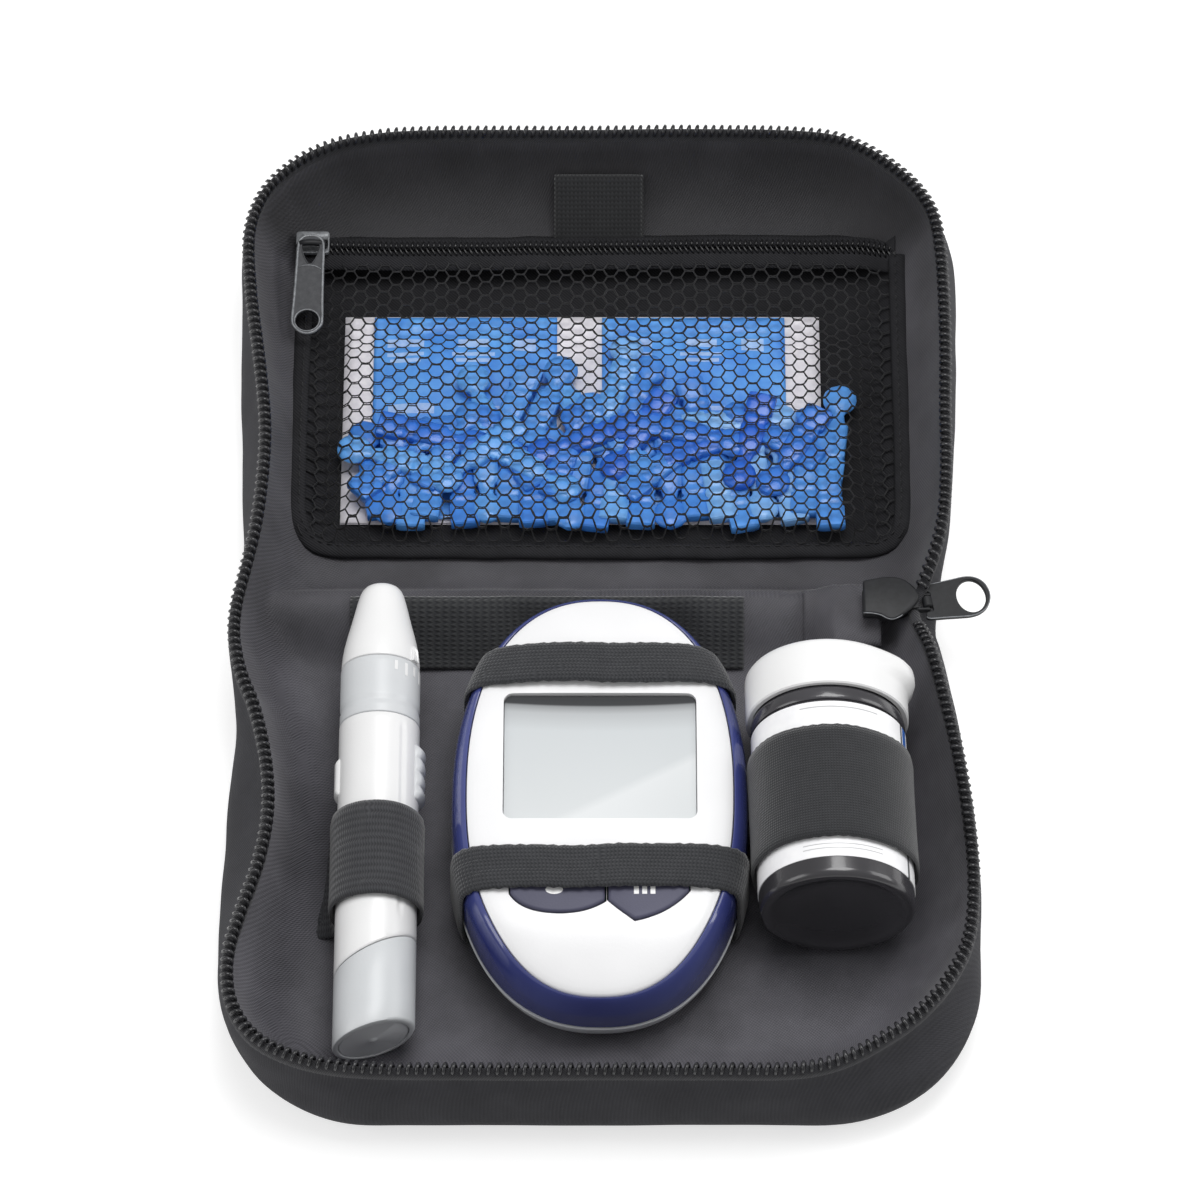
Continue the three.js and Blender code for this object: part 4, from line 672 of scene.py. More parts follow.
def crest(x, y):
    """Height of the lining at a place near the fold."""
    pressed = smooth_step(abs(x), 21, 14)
    start = -9.2 + 6.0 * pressed
    rise = smooth_step(y, start, 1.8)
    fall = 1 - smooth_step(y, 3.4, 10.5)
    ends = 1 - 0.16 * smooth_step(x, 30, 54)
    return FLOOR + (CREST_HEIGHT - FLOOR) * ends * min(rise, fall)


# %% [markdown]
# The outer shell is one skin for both trays: from the rim down over the belly, under the sole and across to the
# middle. Cloth over foam is never quite even, so slow noise moves the wall in and out by a few tenths of a
# millimetre.

# %% Outer shell
def ring_at(offsets, height):
    """A ring along the zip line, at an outward offset for each station and a height of the full rim."""
    ring = []
    for point, side, away in zip(rim, rim_out, offsets):
        z = height * point.z / RIM_HEIGHT
        ring.append((point.x + side.x * away, point.y + side.y * away, z))
    return ring


def inner_rings(ring, shares, height):
    """Rings that close in from a ring to a line down the middle, with a height for every place."""
    rings = []
    for share in shares:
        closer = []
        for x, y, z in ring:
            target = min(max(y, -62), 62)
            nx, ny = x * (1 - share), y + (target - y) * share
            closer.append((nx, ny, height(nx, ny, z, share)))
        rings.append(closer)
    return rings


SHELL_PROFILE = [
    # height, share of the belly's offset, offset beside it
    (0.0, 1, -6.6), (0.25, 1, -5.2), (0.9, 1, -3.6), (2.1, 1, -1.9), (3.8, 1, -0.75), (5.8, 1, -0.1), (8.0, 1, 0.1),
    (10.4, 0.84, 0.35), (12.8, 0.58, 0.75), (15.0, 0.3, 1.1), (17.0, 0.1, 1.15), (18.6, 0, 1.05), (19.9, 0, 0.95),
]
levels = []
for height, share, beside in reversed(SHELL_PROFILE):
    offsets = []
    for i, point in enumerate(rim):
        swell = noise.noise(Vector((point.x / 26, point.y / 26, height / 14)))
        swell += 0.5 * noise.noise(Vector((point.x / 11, point.y / 11, height / 9 + 5)))
        rounded = math.sin(math.pi * min(1, height / 19))
        offsets.append(share * belly_away[i] + beside + 0.55 * swell * rounded)
    levels.append(ring_at(offsets, height))


def sole_height(x, y, z, share):
    """Height of the outer shell's underside, which arches under the fold."""
    return 0.15 + 2.6 * math.exp(-((y / 4.5) ** 2)) * smooth_step(share, 0, 0.12)


levels += inner_rings(levels[-1], [0.05, 0.12, 0.25, 0.4, 0.55, 0.7, 0.85, 0.95, 0.998], sole_height)


def skin_piece(name, levels, finish, inside=False):
    """A skin over rings whose narrow last ring is closed by walking its two sides together, front to back."""
    points, faces = loft(levels)
    ring = levels[-1]
    count, start = len(ring), len(points) - len(ring)
    front = min(range(count), key=lambda i: ring[i][1])
    back = max(range(count), key=lambda i: ring[i][1])
    one = [(front + k) % count for k in range((back - front) % count + 1)]
    two = [(front - k) % count for k in range((front - back) % count + 1)]
    i = j = 0
    while i < len(one) - 1 or j < len(two) - 1:
        one_is_next = j == len(two) - 1 or (i < len(one) - 1 and ring[one[i + 1]][1] <= ring[two[j + 1]][1])
        face = (one[i], one[i + 1], two[j]) if one_is_next else (two[j + 1], two[j], one[i])
        i, j = (i + 1, j) if one_is_next else (i, j + 1)
        if len(set(face)) == 3:
            faces.append(tuple(start + k for k in face))
    if inside:
        faces = [tuple(reversed(face)) for face in faces]
    return new_piece(name, points, faces, finish)


outer_shell = skin_piece("outer_shell", levels, outer_cloth)
print("outer shell", len(outer_shell.data.polygons), "faces")

# %% [markdown]
# The lining falls from the rim as a slanting wall, meets the floor in a round corner and runs over the crest.
# Thin polyester over foam puckers: shallow diagonal folds on the walls, and loose ripples on the floors.

# %% Lining
LINING_PROFILE = [
    (19.8, -1.05), (19.0, -1.3), (17.4, -1.8), (15.6, -2.5), (13.6, -3.3), (11.6, -4.3), (9.7, -5.5), (7.9, -6.9),
    (6.4, -8.5), (5.2, -10.2), (4.4, -12.0), (3.95, -13.8),
]


def ripple(x, y, size, seed):
    """Folds that run aslant, as a height from -1 to 1."""
    bend = 5 * noise.noise(Vector((x / 30, y / 30, seed)))
    fold = noise.noise(Vector(((x + y * 0.45 + bend) / size, (y - x * 0.3) / (size * 3.2), seed + 9)))
    return fold + 0.5 * noise.noise(Vector((x / (size * 0.45), y / (size * 0.6), seed + 3)))


levels = []
for height, beside in LINING_PROFILE:
    offsets = []
    for i, point in enumerate(rim):
        on_wall = math.sin(math.pi * min(1, max(0, (20 - height) / 17)))
        fold = ripple(point.x, point.y, 7.5, height / 40)
        pushed = 4.2 * math.exp(-(((point.x + 41) / 9) ** 2)) * on_wall if point.y < -80 else 0  # by the pen's end
        offsets.append(beside + 0.5 * fold * on_wall + pushed)
    ring = ring_at(offsets, height)
    levels.append([(x, y, max(z, crest(x, y) + 0.2 * noise.noise(Vector((x / 4, y / 4, 2))))) for x, y, z in ring])


SEAMS = (36.6, 41.6)  # two seams cross the fold, right of the band


def floor_height(x, y, z, share):
    """Height of the lining's floor, with loose ripples and the two seams."""
    loose = 0.30 * ripple(x, y, 9, 0.5) * smooth_step(share, 0, 0.1)
    behind = smooth_step(y, 86, 90) * smooth_step(abs(x), 66, 56)
    loose += 0.75 * behind * ripple(x * 1.3 + 7, y * 2.0, 6.5, 4)
    for seam in SEAMS:
        loose -= 0.8 * math.exp(-(((x - seam) / 0.5) ** 2)) * smooth_step(abs(y), 11, 7)
    return crest(x, y) + loose


levels += inner_rings(levels[-1], [k / 26 for k in range(1, 26)] + [0.982, 0.998], floor_height)
lining = skin_piece("inner_lining", levels, lining_cloth, inside=True)
print("lining", len(lining.data.polygons), "faces")

# %% [markdown]
# The zip's tape joins the two skins. It stands up from the rim as a narrow twill edge with a rounded top, and
# the chain is sewn along it.

# %% Zip tape along the rim
TAPE_PROFILE = [
    (19.7, 0.95), (20.3, 1.0), (21.0, 0.9), (21.5, 0.55), (21.75, 0.0), (21.6, -0.55), (21.1, -0.95), (20.3, -1.1),
    (19.6, -1.1),
]
points, faces = loft([ring_at([beside] * len(rim), height) for height, beside in TAPE_PROFILE])
rim_tape = new_piece("zip_tape_edge", points, faces, tape_cloth)


def across_fold(piece, slot, *nodes):
    """Bakes a fabric piece's place into its mesh and hides the CAD nodes that it stands for. The slot is not used."""
    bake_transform(piece)
    if nodes:
        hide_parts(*nodes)


across_fold(outer_shell, "shell_fabric", "base_shell", "lid_shell")
across_fold(lining, "lining_fabric", "base_lining", "lid_lining", "spine_panel")
across_fold(rim_tape, "shell_fabric", "base_zip_tape", "lid_zip_tape")

# %% [markdown]
# ## The chain
# The zip is a nylon coil: one thread that loops out, round and back for each tooth. On an open zip only the
# rounded heads of the loops show, each with a glint on its top and one on its side. A tooth is a short bent
# tube, and Geometry Nodes set one at every 1.6 mm of the line, turned to follow it.

# %% A tooth of the coil
TOOTH_PITCH = 1.6
TOOTH_BEND = [
    # along the chain, outwards, up
    (-0.30, -0.75, 0.10), (-0.22, -0.35, 0.65), (-0.12, 0.25, 0.95), (0.02, 0.85, 0.85), (0.16, 1.2, 0.4),
    (0.30, 1.2, -0.2), (0.42, 0.95, -0.85),
]
TOOTH_THICK = [0.30, 0.36, 0.42, 0.43, 0.40, 0.36, 0.30]


def bent_tube(name, line, radii, sides, finish):
    """A tube of changing thickness with rounded ends, along a line of points in millimetres, at the origin."""
    line = [Vector(p) for p in line]
    rings = []
    side = None
    for i, point in enumerate(line):
        along = (line[min(i + 1, len(line) - 1)] - line[max(i - 1, 0)]).normalized()
        if side is None:
            side = along.orthogonal().normalized()
        side = (side - along * side.dot(along)).normalized()
        up = along.cross(side)
        ring = []
        for k in range(sides):
            turn = 2 * math.pi * k / sides
            ring.append(point + (side * math.cos(turn) + up * math.sin(turn)) * radii[i])
        rings.append(ring)
    rings = [[line[0].lerp(p, 0.4) for p in rings[0]]] + rings + [[line[-1].lerp(p, 0.4) for p in rings[-1]]]
    points, faces = loft(rings, capped=True)
    mesh = bpy.data.meshes.new(name)
    mesh.from_pydata([Vector(p) / 1000 for p in points], [], faces)
    mesh.materials.append(finish)
    for polygon in mesh.polygons:
        polygon.use_smooth = True
    return outward(bpy.data.objects.new(name, mesh))


tooth = bent_tube("coil_tooth", TOOTH_BEND, TOOTH_THICK, 6, tooth_plastic)
print("tooth", len(tooth.data.polygons), "faces")

# %% [markdown]
# The tree below is used for every row of equal things along a line: zip teeth here, the coil of the small zip,
# and stitches. It walks a curve at a spacing, puts a copy of one object at each step, turns it so that its X
# runs along the line, and ends as plain mesh with its material set.

# %% Geometry Nodes: copies along a line
def copies_tree(name, numbers):
    """A node group that puts copies of an object on points, with its input node and the node that places them."""
    tree = bpy.data.node_groups.new(name, "GeometryNodeTree")
    inputs = [("Points", "Geometry"), ("Piece", "Object"), *((n, "Float") for n in numbers), ("Finish", "Material")]
    for label, kind in inputs:
        tree.interface.new_socket(label, in_out="INPUT", socket_type="NodeSocket" + kind)
    tree.interface.new_socket("Copies", in_out="OUTPUT", socket_type="NodeSocketGeometry")
    entry = add_node(tree, "NodeGroupInput")
    thing = add_node(tree, "GeometryNodeObjectInfo", {"Object": entry.outputs["Piece"]})
    placed = add_node(
        tree, "GeometryNodeInstanceOnPoints",
        {"Points": entry.outputs["Points"], "Instance": thing.outputs["Geometry"]},
    )
    real = add_node(tree, "GeometryNodeRealizeInstances", {"Geometry": placed.outputs[0]})
    dressed = add_node(
        tree, "GeometryNodeSetMaterial", {"Geometry": real.outputs[0], "Material": entry.outputs["Finish"]}
    )
    add_node(tree, "NodeGroupOutput", {"Copies": dressed.outputs[0]})
    return tree, entry, placed


copies_along, entry, placed = copies_tree("copies_along_a_line", ["Spacing"])
walk = add_node(
    copies_along, "GeometryNodeResampleCurve",
    {"Curve": entry.outputs["Points"], "Length": entry.outputs["Spacing"]}, mode="LENGTH",
)
heading = add_node(copies_along, "GeometryNodeInputTangent")
turn = add_node(
    copies_along, "FunctionNodeAlignRotationToVector", {"Vector": heading.outputs[0]}, axis="X", pivot_axis="Z"
)
copies_along.links.new(walk.outputs[0], placed.inputs["Points"])
copies_along.links.new(turn.outputs[0], placed.inputs["Rotation"])


def curve_of(name, line):
    """A poly curve through points in millimetres on the case."""
    data = bpy.data.curves.new(name, "CURVE")
    data.dimensions = "3D"
    spline = data.splines.new("POLY")
    spline.points.add(len(line) - 1)
    for target, point in zip(spline.points, line):
        target.co = (*metres(point), 1)
    obj = bpy.data.objects.new(name, data)
    bpy.context.scene.collection.objects.link(obj)
    return obj


def set_inputs(modifier, tree, values):
    """Sets a modifier's inputs by the identifiers of the tree's sockets."""
    for socket in tree.interface.items_tree:
        if socket.item_type == "SOCKET" and socket.in_out == "INPUT" and socket.name in values:
            modifier[socket.identifier] = values[socket.name]


def row_of(name, line, piece, spacing, finish):
    """A plain mesh of copies of a piece along a line, spaced in millimetres."""
    path = curve_of(name + "_line", line)
    modifier = path.modifiers.new("row", "NODES")
    modifier.node_group = copies_along
    set_inputs(modifier, copies_along, {"Piece": piece, "Spacing": spacing / 1000, "Finish": finish})
    bpy.context.view_layer.update()
    made = bpy.data.meshes.new_from_object(path.evaluated_get(bpy.context.evaluated_depsgraph_get()))
    path.modifiers.clear()
    bpy.data.objects.remove(path)
    made.name = name
    for polygon in made.polygons:
        polygon.use_smooth = True
    row = bpy.data.objects.new(name, made)
    bpy.context.scene.collection.objects.link(row)
    return row


# %% Rows of teeth round both trays
chain_line = [(p.x + n.x * 0.15, p.y + n.y * 0.15, p.z + 0.25) for p, n in zip(rim, rim_out)]
STATIONS_AT_SLIDER = 3  # no teeth show here, inside the slider
open_line = chain_line[STATIONS_AT_SLIDER:-STATIONS_AT_SLIDER]
chain = row_of("zip_chain", open_line, tooth, TOOTH_PITCH, tooth_plastic)
print("zip chain", len(chain.data.polygons), "faces")
across_fold(chain, "zip_plastic", "base_zip_teeth", "lid_zip_teeth")

# %% [markdown]
# ## Elastic straps and loops
# Every strap here is a flat knitted band that follows a line. It is modelled as a grid of points down its middle
# surface, from which a closed band with soft edges is made. The same function writes the UV map in centimetres
# that the knitted material reads.

# %% A band from a grid
def band(name, grid, thickness, finish, edge_wave=0.0):
    """A closed band from rows of points along it, each row running across it. Its edges can be scalloped."""
    rows, across = len(grid), len(grid[0])
    grid = [[Vector(p) for p in row] for row in grid]
    reach = [0.0]
    half = across // 2
    for a, b in zip(grid, grid[1:]):
        reach.append(reach[-1] + (b[half] - a[half]).length)
    points, chart = [], []
    for i, row in enumerate(grid):
        top, bottom, row_chart = [], [], []
        width = 0.0
        for j, point in enumerate(row):
            along = grid[min(i + 1, rows - 1)][j] - grid[max(i - 1, 0)][j]
            side = row[min(j + 1, across - 1)] - row[max(j - 1, 0)]
            normal = along.cross(side).normalized()
            if j:
                width += (point - row[j - 1]).length
            rim_share = abs(2 * j / (across - 1) - 1)
            body = thickness / 2 * (1 - rim_share**10) ** 0.5 if rim_share < 1 else 0.04
            wave = edge_wave * math.sin(reach[i] * 2 * math.pi / 1.7) if rim_share == 1 else 0
            edge_push = side.normalized() * wave * (1 if j else -1)
            top.append(point + edge_push + normal * body)
            bottom.append(point + edge_push - normal * body)
            row_chart.append((reach[i] / 10, width / 10))
        points.append(top + bottom[::-1])
        chart += row_chart + row_chart[::-1]
    places, faces = loft(points, capped=True)
    piece = new_piece(name, places, faces, finish)
    layer = piece.data.uv_layers.new(name="strap")
    for loop in piece.data.loops:
        layer.data[loop.index].uv = chart[loop.vertex_index]
    return outward(piece)


def mirror_ends(half_line):
    """A symmetrical line of X and Z from its right half, which starts in the middle."""
    return [(-x, z) for x, z in reversed(half_line[1:])] + list(half_line)


# %% [markdown]
# The two straps over the meter are sewn to the floor on both sides of it. They follow the meter's rounded rim,
# so each thread of a strap has its own path: where the meter is narrower the strap turns down sooner.

# %% Straps over the meter
METER_MIDDLE_Y = -46.9
METER_HALF_WIDTH, METER_HALF_LENGTH = 27.4, 42.9
METER_SQUARENESS = 2.3  # 2 would be an ellipse


def meter_half_width(y):
    """Half the meter's width at a place along it."""
    away = min(0.999, abs(y - METER_MIDDLE_Y) / METER_HALF_LENGTH)
    return METER_HALF_WIDTH * (1 - away**METER_SQUARENESS) ** (1 / METER_SQUARENESS)


def rows_across(lines):
    """Rows that cross lines of unequal lengths, as many as the shortest line has points."""
    steps = min(len(line) for line in lines)
    return [[line[round(i * (len(line) - 1) / (steps - 1))] for line in lines] for i in range(steps)]


def meter_strap(name, back, front, crown, slack):
    """A strap from floor to floor over the meter, between two places along it."""
    columns = []
    for y in spread(back, front - back, 12):
        w = meter_half_width(y)
        right = [
            (0, 25.15 + crown), (w * 0.28, 25.1 + crown * 0.8), (w - 10.5, 24.95 + crown * 0.5), (w - 6.2, 24.6),
            (w - 3.4, 23.95), (w - 1.2, 22.7), (w + 0.15, 20.6), (w + 0.5, 17.6), (w + 0.55, 13),
            (w + 0.45 + slack, 8.5), (w + slack, 5.2), (w - 0.6 + slack, 3.9),
        ]
        line = smooth_path([(x, 0, z) for x, z in mirror_ends(right)], 1.0)
        columns.append([(p.x, y, p.z) for p in line])
    y_mid = (back + front) / 2
    bowed = []
    for row in rows_across(columns):
        shift = 0.5 * noise.noise(Vector((row[6][0] / 16, y_mid, 1)))
        bowed.append([(x, y + shift + 0.25 * noise.noise(Vector((x / 7, y / 5, 3))), z) for x, y, z in row])
    return band(name, bowed, 0.9, strap_knit, edge_wave=0.16)


upper_strap = meter_strap("meter_strap_over_screen", -16.3, -25.0, 0.25, 0.0)
lower_strap = meter_strap("meter_strap_over_keys", -59.9, -68.9, 0.35, 0.2)
print("straps", len(upper_strap.data.polygons) + len(lower_strap.data.polygons), "faces")


def soft_strap(piece, joint, *nodes, anchor_z=3.9, slot="elastic"):
    """Fixes a strap to the base, gives it a mesh of its own and hides the CAD nodes that it stands for. The joint,
    anchor_z and slot are not used.
    """
    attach(piece, "base")
    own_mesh(piece)
    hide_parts(*nodes)


soft_strap(upper_strap, "meter_lift", "meter_strap_upper")
soft_strap(lower_strap, "meter_lift", "meter_strap_lower")

# %% [markdown]
# The pen's loop goes round it from a tab that is sewn flat to the floor on its left. The vial's loop is wide
# and fits snugly, so it takes the vial's round shape and only its edges stand off a little.

# %% Loops round the pen and the vial
PEN_X, PEN_REAR_Y, PEN_REAR_Z, PEN_TILT = -41.0, -92.9, 11.4, math.radians(3.8)
PEN_RADIUS = 7.5
VIAL_X, VIAL_Z, VIAL_RADIUS, VIAL_YAW = 42.55, 19.25, 14.25, -0.026
VIAL_REAR_Y = -71.1
VIAL_TURNED_AT = 25  # the place along the vial about which its yaw turns it


def loop_grid(middle_x, height_at, radius, back, front, turn_from, turn_to, left_tail, right_tail, flare):
    """Rows of points for a loop round something that lies along Y."""
    lines = []
    for j, y in enumerate(spread(back, front - back, 16)):
        edge = abs(2 * j / 16 - 1)
        r = radius + flare * edge**4
        z0 = height_at(y)
        arc = []
        for angle in spread(turn_from, turn_to - turn_from, 24):
            turn = math.radians(angle)
            arc.append((middle_x + r * math.cos(turn), y, z0 + r * math.sin(turn)))
        line = [(x, y, z) for x, z in left_tail] + arc + [(x, y, z) for x, z in right_tail]
        lines.append(smooth_path(line, 0.9))
    return rows_across(lines)


def pen_height(y):
    """Height of the pen's axis at a place along the case."""
    return PEN_REAR_Z + (y - PEN_REAR_Y) * math.tan(PEN_TILT)


pen_rows = loop_grid(
    PEN_X, pen_height, 8.25, -49.2, -67.6, 212, -38, [(-53.6, 4.4), (-51.0, 4.5), (-49.0, 5.4)],
    [(-34.4, 5.2), (-35.2, 4.3)], 0.25,
)
pen_rows = [
    [(x, y + (y + 58) * 0.04 + 0.35 * noise.noise(Vector((x / 9, z / 9, 4))), z) for x, y, z in row] for row in pen_rows
]
pen_loop = band("pen_loop_elastic", pen_rows, 0.9, pen_knit)
tab_rows = [[(x, -45.6 - 20.6 * j / 10, 4.55 + 0.12 * noise.noise(Vector((x / 3, j / 3, 1)))) for j in range(11)]
            for x in (-54.4, -52.0, -49.6, -47.6, -45.6, -43.6, -41.6, -39.6, -37.4, -36.4)]
pen_tab = band("pen_loop_tab", tab_rows, 0.8, strap_knit)
soft_strap(pen_loop, "pen_lift", "pen_loop")
dress(pen_tab, "base", "elastic")

vial_rows = loop_grid(
    VIAL_X, lambda y: VIAL_Z, VIAL_RADIUS + 0.6, -39.6, -63.4, 232, -52, [(37.6, 4.5), (35.6, 4.7)],
    [(51.4, 4.7), (49.4, 4.5)], 0.3,
)
vial_rows = [
    [
        (x + VIAL_YAW * (y - VIAL_REAR_Y - VIAL_TURNED_AT), y + 0.5 * noise.noise(Vector((x / 14, z / 14, 8))), z)
        for x, y, z in row
    ]
    for row in vial_rows
]
vial_loop = band("vial_loop_elastic", vial_rows, 0.9, fine_knit, edge_wave=0.1)
soft_strap(vial_loop, "vial_lift", "vial_loop")

# %% [markdown]
# A ribbed band is sewn over the front side of the fold. It takes the crest's shape from the function above.

# %% Band over the fold
BAND_LEFT, BAND_RIGHT = -47.2, 27.2
BAND_BACK = 2.5
band_rows = []
for x in spread(BAND_LEFT, BAND_RIGHT - BAND_LEFT, 75):
    pressed = smooth_step(abs(x), 22, 14)
    front = -8.9 + 5.7 * pressed
    band_rows.append([
        (x, y, crest(x, y) + 0.75 + 0.22 * noise.noise(Vector((x / 7, y / 3, 6))))
        for y in spread(BAND_BACK, front - BAND_BACK, 18)
    ])
fold_band = band("fold_band", band_rows, 0.7, spine_knit)
across_fold(fold_band, "elastic", "spine_webbing")

# %% [markdown]
# Small pieces of the same kind: a finger loop of elastic on the back wall of the lid, which stands off a little, and
# the lining's cloth where it is folded over the end of the zip's tape beside the slider. The finger loop's elastic is
# painted darker than the other straps, as painted shade under the loop.

# %% Lid loop and the end of the zip's tape
loop_rows = []
for t in spread(0, 1, 16):
    rise = 1.5 * math.sin(math.pi * t) ** 0.7
    y = 101.0 - 10.2 * t - 0.35 * rise
    z = 4.9 + 8.6 * (1 - t) ** 1.6 + rise
    loop_rows.append([(x, y, z) for x in spread(-9, 17.6, 14)])
finger_loop = band("lid_finger_loop", loop_rows, 0.9, loop_knit_painted_shade)
dress(finger_loop, "lid", "elastic", "lid_loop")

tape_rows = []
for x in spread(38.6, 14.4, 24):
    rise = smooth_step(x, 39.0, 45.0)
    row = []
    for y in spread(4.9, -13.4, 18):
        low = crest(x, y) + 0.45
        high = 13.2 + 0.35 * noise.noise(Vector((x / 2.2, y / 3.5, 7))) - 0.02 * (y + 1.5) ** 2
        row.append((x, y, low + max(0, high - low) * rise))
    tape_rows.append(row)
tape_end = band("zip_tape_end", tape_rows, 0.6, lining_cloth)
across_fold(tape_end, "shell_fabric", "zip_end_tape")

# %% [markdown]
# ## The meter
# The meter is an oval of three mouldings: a pale back, a navy rim that rolls over its edge, and a white face
# inside the rim. In plan all three are the same kind of curve, an ellipse with squarer shoulders, so one
# function draws every ring and the mouldings are skins over rings.

# %% Rings of the meter
METER_SEAT = 3.8
METER_SIDES = 144


def oval(inset, height, end_inset=None):
    """A ring at that inset from the outline, with another inset at the ends if given. The top slopes at the front."""
    ring = []
    end_inset = inset if end_inset is None else end_inset
    for k in range(METER_SIDES):
        turn = 2 * math.pi * k / METER_SIDES
        c, s = math.cos(turn), math.sin(turn)
        x = (METER_HALF_WIDTH - inset) * math.copysign(abs(c) ** (2 / METER_SQUARENESS), c)
        y = (METER_HALF_LENGTH - end_inset) * math.copysign(abs(s) ** (2 / METER_SQUARENESS), s)
        drop = 4.4 * smooth_step(-y, 26, 45) * smooth_step(height, 8, 17)
        ring.append((x, METER_MIDDLE_Y + y, METER_SEAT + height - drop))
    return ring


def oval_moulding(name, levels, finish, closed_loop=False):
    """A skin over oval rings, given as inset, height and end inset. A closed loop makes a ring-shaped moulding."""
    rings = [oval(*level) for level in levels]
    if closed_loop:
        rings.append(rings[0])
    points, faces = loft(rings, capped=not closed_loop)
    piece = new_piece(name, points, faces, finish)
    if closed_loop:
        weld(piece.data)
    return shade(outward(piece), 34)


def block(x0, x1, y0, y1, z0, z1):
    """A plain block that is only used to cut with."""
    corners = [(x, y, z) for z in (z0, z1) for y in (y0, y1) for x in (x0, x1)]
    sides = [(0, 2, 3, 1), (4, 5, 7, 6), (0, 1, 5, 4), (2, 6, 7, 3), (0, 4, 6, 2), (1, 3, 7, 5)]
    return outward(new_piece("cutter", corners, sides))


def round_edges(piece, millimetres, segments):
    """Rounds the edges that are sharper than 50 degrees."""
    modifier = piece.modifiers.new("rounding", "BEVEL")
    modifier.width = millimetres / 1000
    modifier.segments = segments
    modifier.limit_method = "ANGLE"
    modifier.angle_limit = math.radians(50)
    finished(piece)


def prism(name, outline, low, high, finish=None, rounding=0.0):
    """A slab with an outline in X and Y between two heights, with rounded edges if asked."""
    count = len(outline)
    points = [(x, y, low) for x, y in outline] + [(x, y, high) for x, y in outline]
    faces = [tuple(range(count - 1, -1, -1)), tuple(range(count, 2 * count))]
    faces += [(i, (i + 1) % count, (i + 1) % count + count, i + count) for i in range(count)]
    piece = outward(new_piece(name, points, faces, finish, smooth=False))
    if rounding:
        round_edges(piece, rounding, 3)
        shade(piece, 45)
    return piece


def cut_away(piece, *cutters):
    """Subtracts cutting shapes from a closed piece, and removes them."""
    for cutter in cutters:
        modifier = piece.modifiers.new("cut", "BOOLEAN")
        modifier.operation = "DIFFERENCE"
        modifier.solver = "EXACT"
        modifier.object = cutter
        finished(piece)
    for cutter in cutters:
        bpy.data.objects.remove(cutter)
    return piece


def port_cutter():
    """The slot at the meter's back end that takes a test strip."""
    end = METER_MIDDLE_Y + METER_HALF_LENGTH
    return block(-5.3, 5.3, end - 6.3, end + 6, METER_SEAT + 6.6, METER_SEAT + 10.6)


# %% Back, rim and face
meter_back = oval_moulding(
    "meter_back",
    [(6.6, 0.0), (4.9, 0.05), (3.6, 0.4), (2.4, 1.1), (1.5, 2.0), (0.8, 3.0), (0.35, 4.2), (0.05, 5.4), (-0.05, 5.9),
     (0.1, 6.1), (0.7, 6.15), (1.8, 6.15), (1.8, 5.4), (3.6, 3.0), (6.4, 1.6)],
    pale_grey,
)
channel_end = METER_MIDDLE_Y - 9.7
channel_cutter = block(-12.3, 12.3, METER_MIDDLE_Y - 52, channel_end, METER_SEAT - 6, METER_SEAT + 1.55)
cut_away(meter_back, channel_cutter, port_cutter())
shade(meter_back, 34)

meter_rim = oval_moulding(
    "meter_navy_rim",
    [(0.9, 6.25), (0.35, 6.35), (0.1, 6.6), (0.0, 7.8), (0.0, 10.4), (0.02, 12.4), (0.1, 14.0, 0.07),
     (0.26, 15.2, 0.18), (0.55, 16.4, 0.36), (0.95, 17.4, 0.6), (1.4, 18.25, 0.85), (1.85, 18.85, 1.1),
     (2.25, 19.15, 1.3), (2.5, 19.25, 1.45), (2.7, 19.15, 1.52), (2.8, 18.8, 1.6), (2.8, 17.6, 1.6),
     (2.4, 15.5, 1.5), (1.8, 13.0, 1.5), (1.8, 6.35, 1.5)],
    navy_gloss, closed_loop=True,
)
cut_away(meter_rim, port_cutter())
shade(meter_rim, 34)

meter_face = oval_moulding(
    "meter_white_face",
    [(9.0, 17.0, 6.4), (3.0, 17.0, 1.8), (2.9, 17.4, 1.7), (2.9, 18.9, 1.7), (3.0, 19.25, 1.8), (3.4, 19.5, 2.1),
     (4.4, 19.72, 2.9), (5.8, 19.9, 4.2), (7.4, 20.0, 6.2), (8.6, 20.08, 8.6), (10.5, 20.15, 11.6), (14.0, 20.2, 14.6),
     (18.0, 20.2, 18.0)],
    white_abs,
)

# %% [markdown]
# The window is a rounded rectangle sunk into the face. Its panel has the rim's shadow painted along its top and a pale
# painted reflection swept across it. The two keys meet along a short parting line. The left key is a shallow lens with
# a plain oval on it, and the right one comes to a point below and has three short bars. There is no lettering on the
# meter.

# %% Window and keys
LCD_Y = METER_MIDDLE_Y + 6.8
LCD_HALF_X, LCD_HALF_Y = 17.7, 13.4


KEY_LOW, KEY_TOP = METER_SEAT + 13.2, METER_SEAT + 20.55
KEY_GAP = 0.28


def rounded_rectangle(half_x, half_y, radius, middle=(0, 0)):
    """Points round a rectangle whose corners are rounded."""
    line = []
    for sx, sy, start in ((1, 1, 0), (-1, 1, 90), (-1, -1, 180), (1, -1, 270)):
        for angle in spread(start, 90, 8):
            turn = math.radians(angle)
            line.append((
                middle[0] + sx * (half_x - radius) + radius * math.cos(turn),
                middle[1] + sy * (half_y - radius) + radius * math.sin(turn),
            ))
    return line


def quadratic(a, b, c):
    """Points on a curve from a to c that is pulled towards b, without its first one."""
    return [
        tuple((1 - t) ** 2 * a[axis] + 2 * t * (1 - t) * b[axis] + t * t * c[axis] for axis in (0, 1))
        for t in spread(0, 1, 14)[1:]
    ]


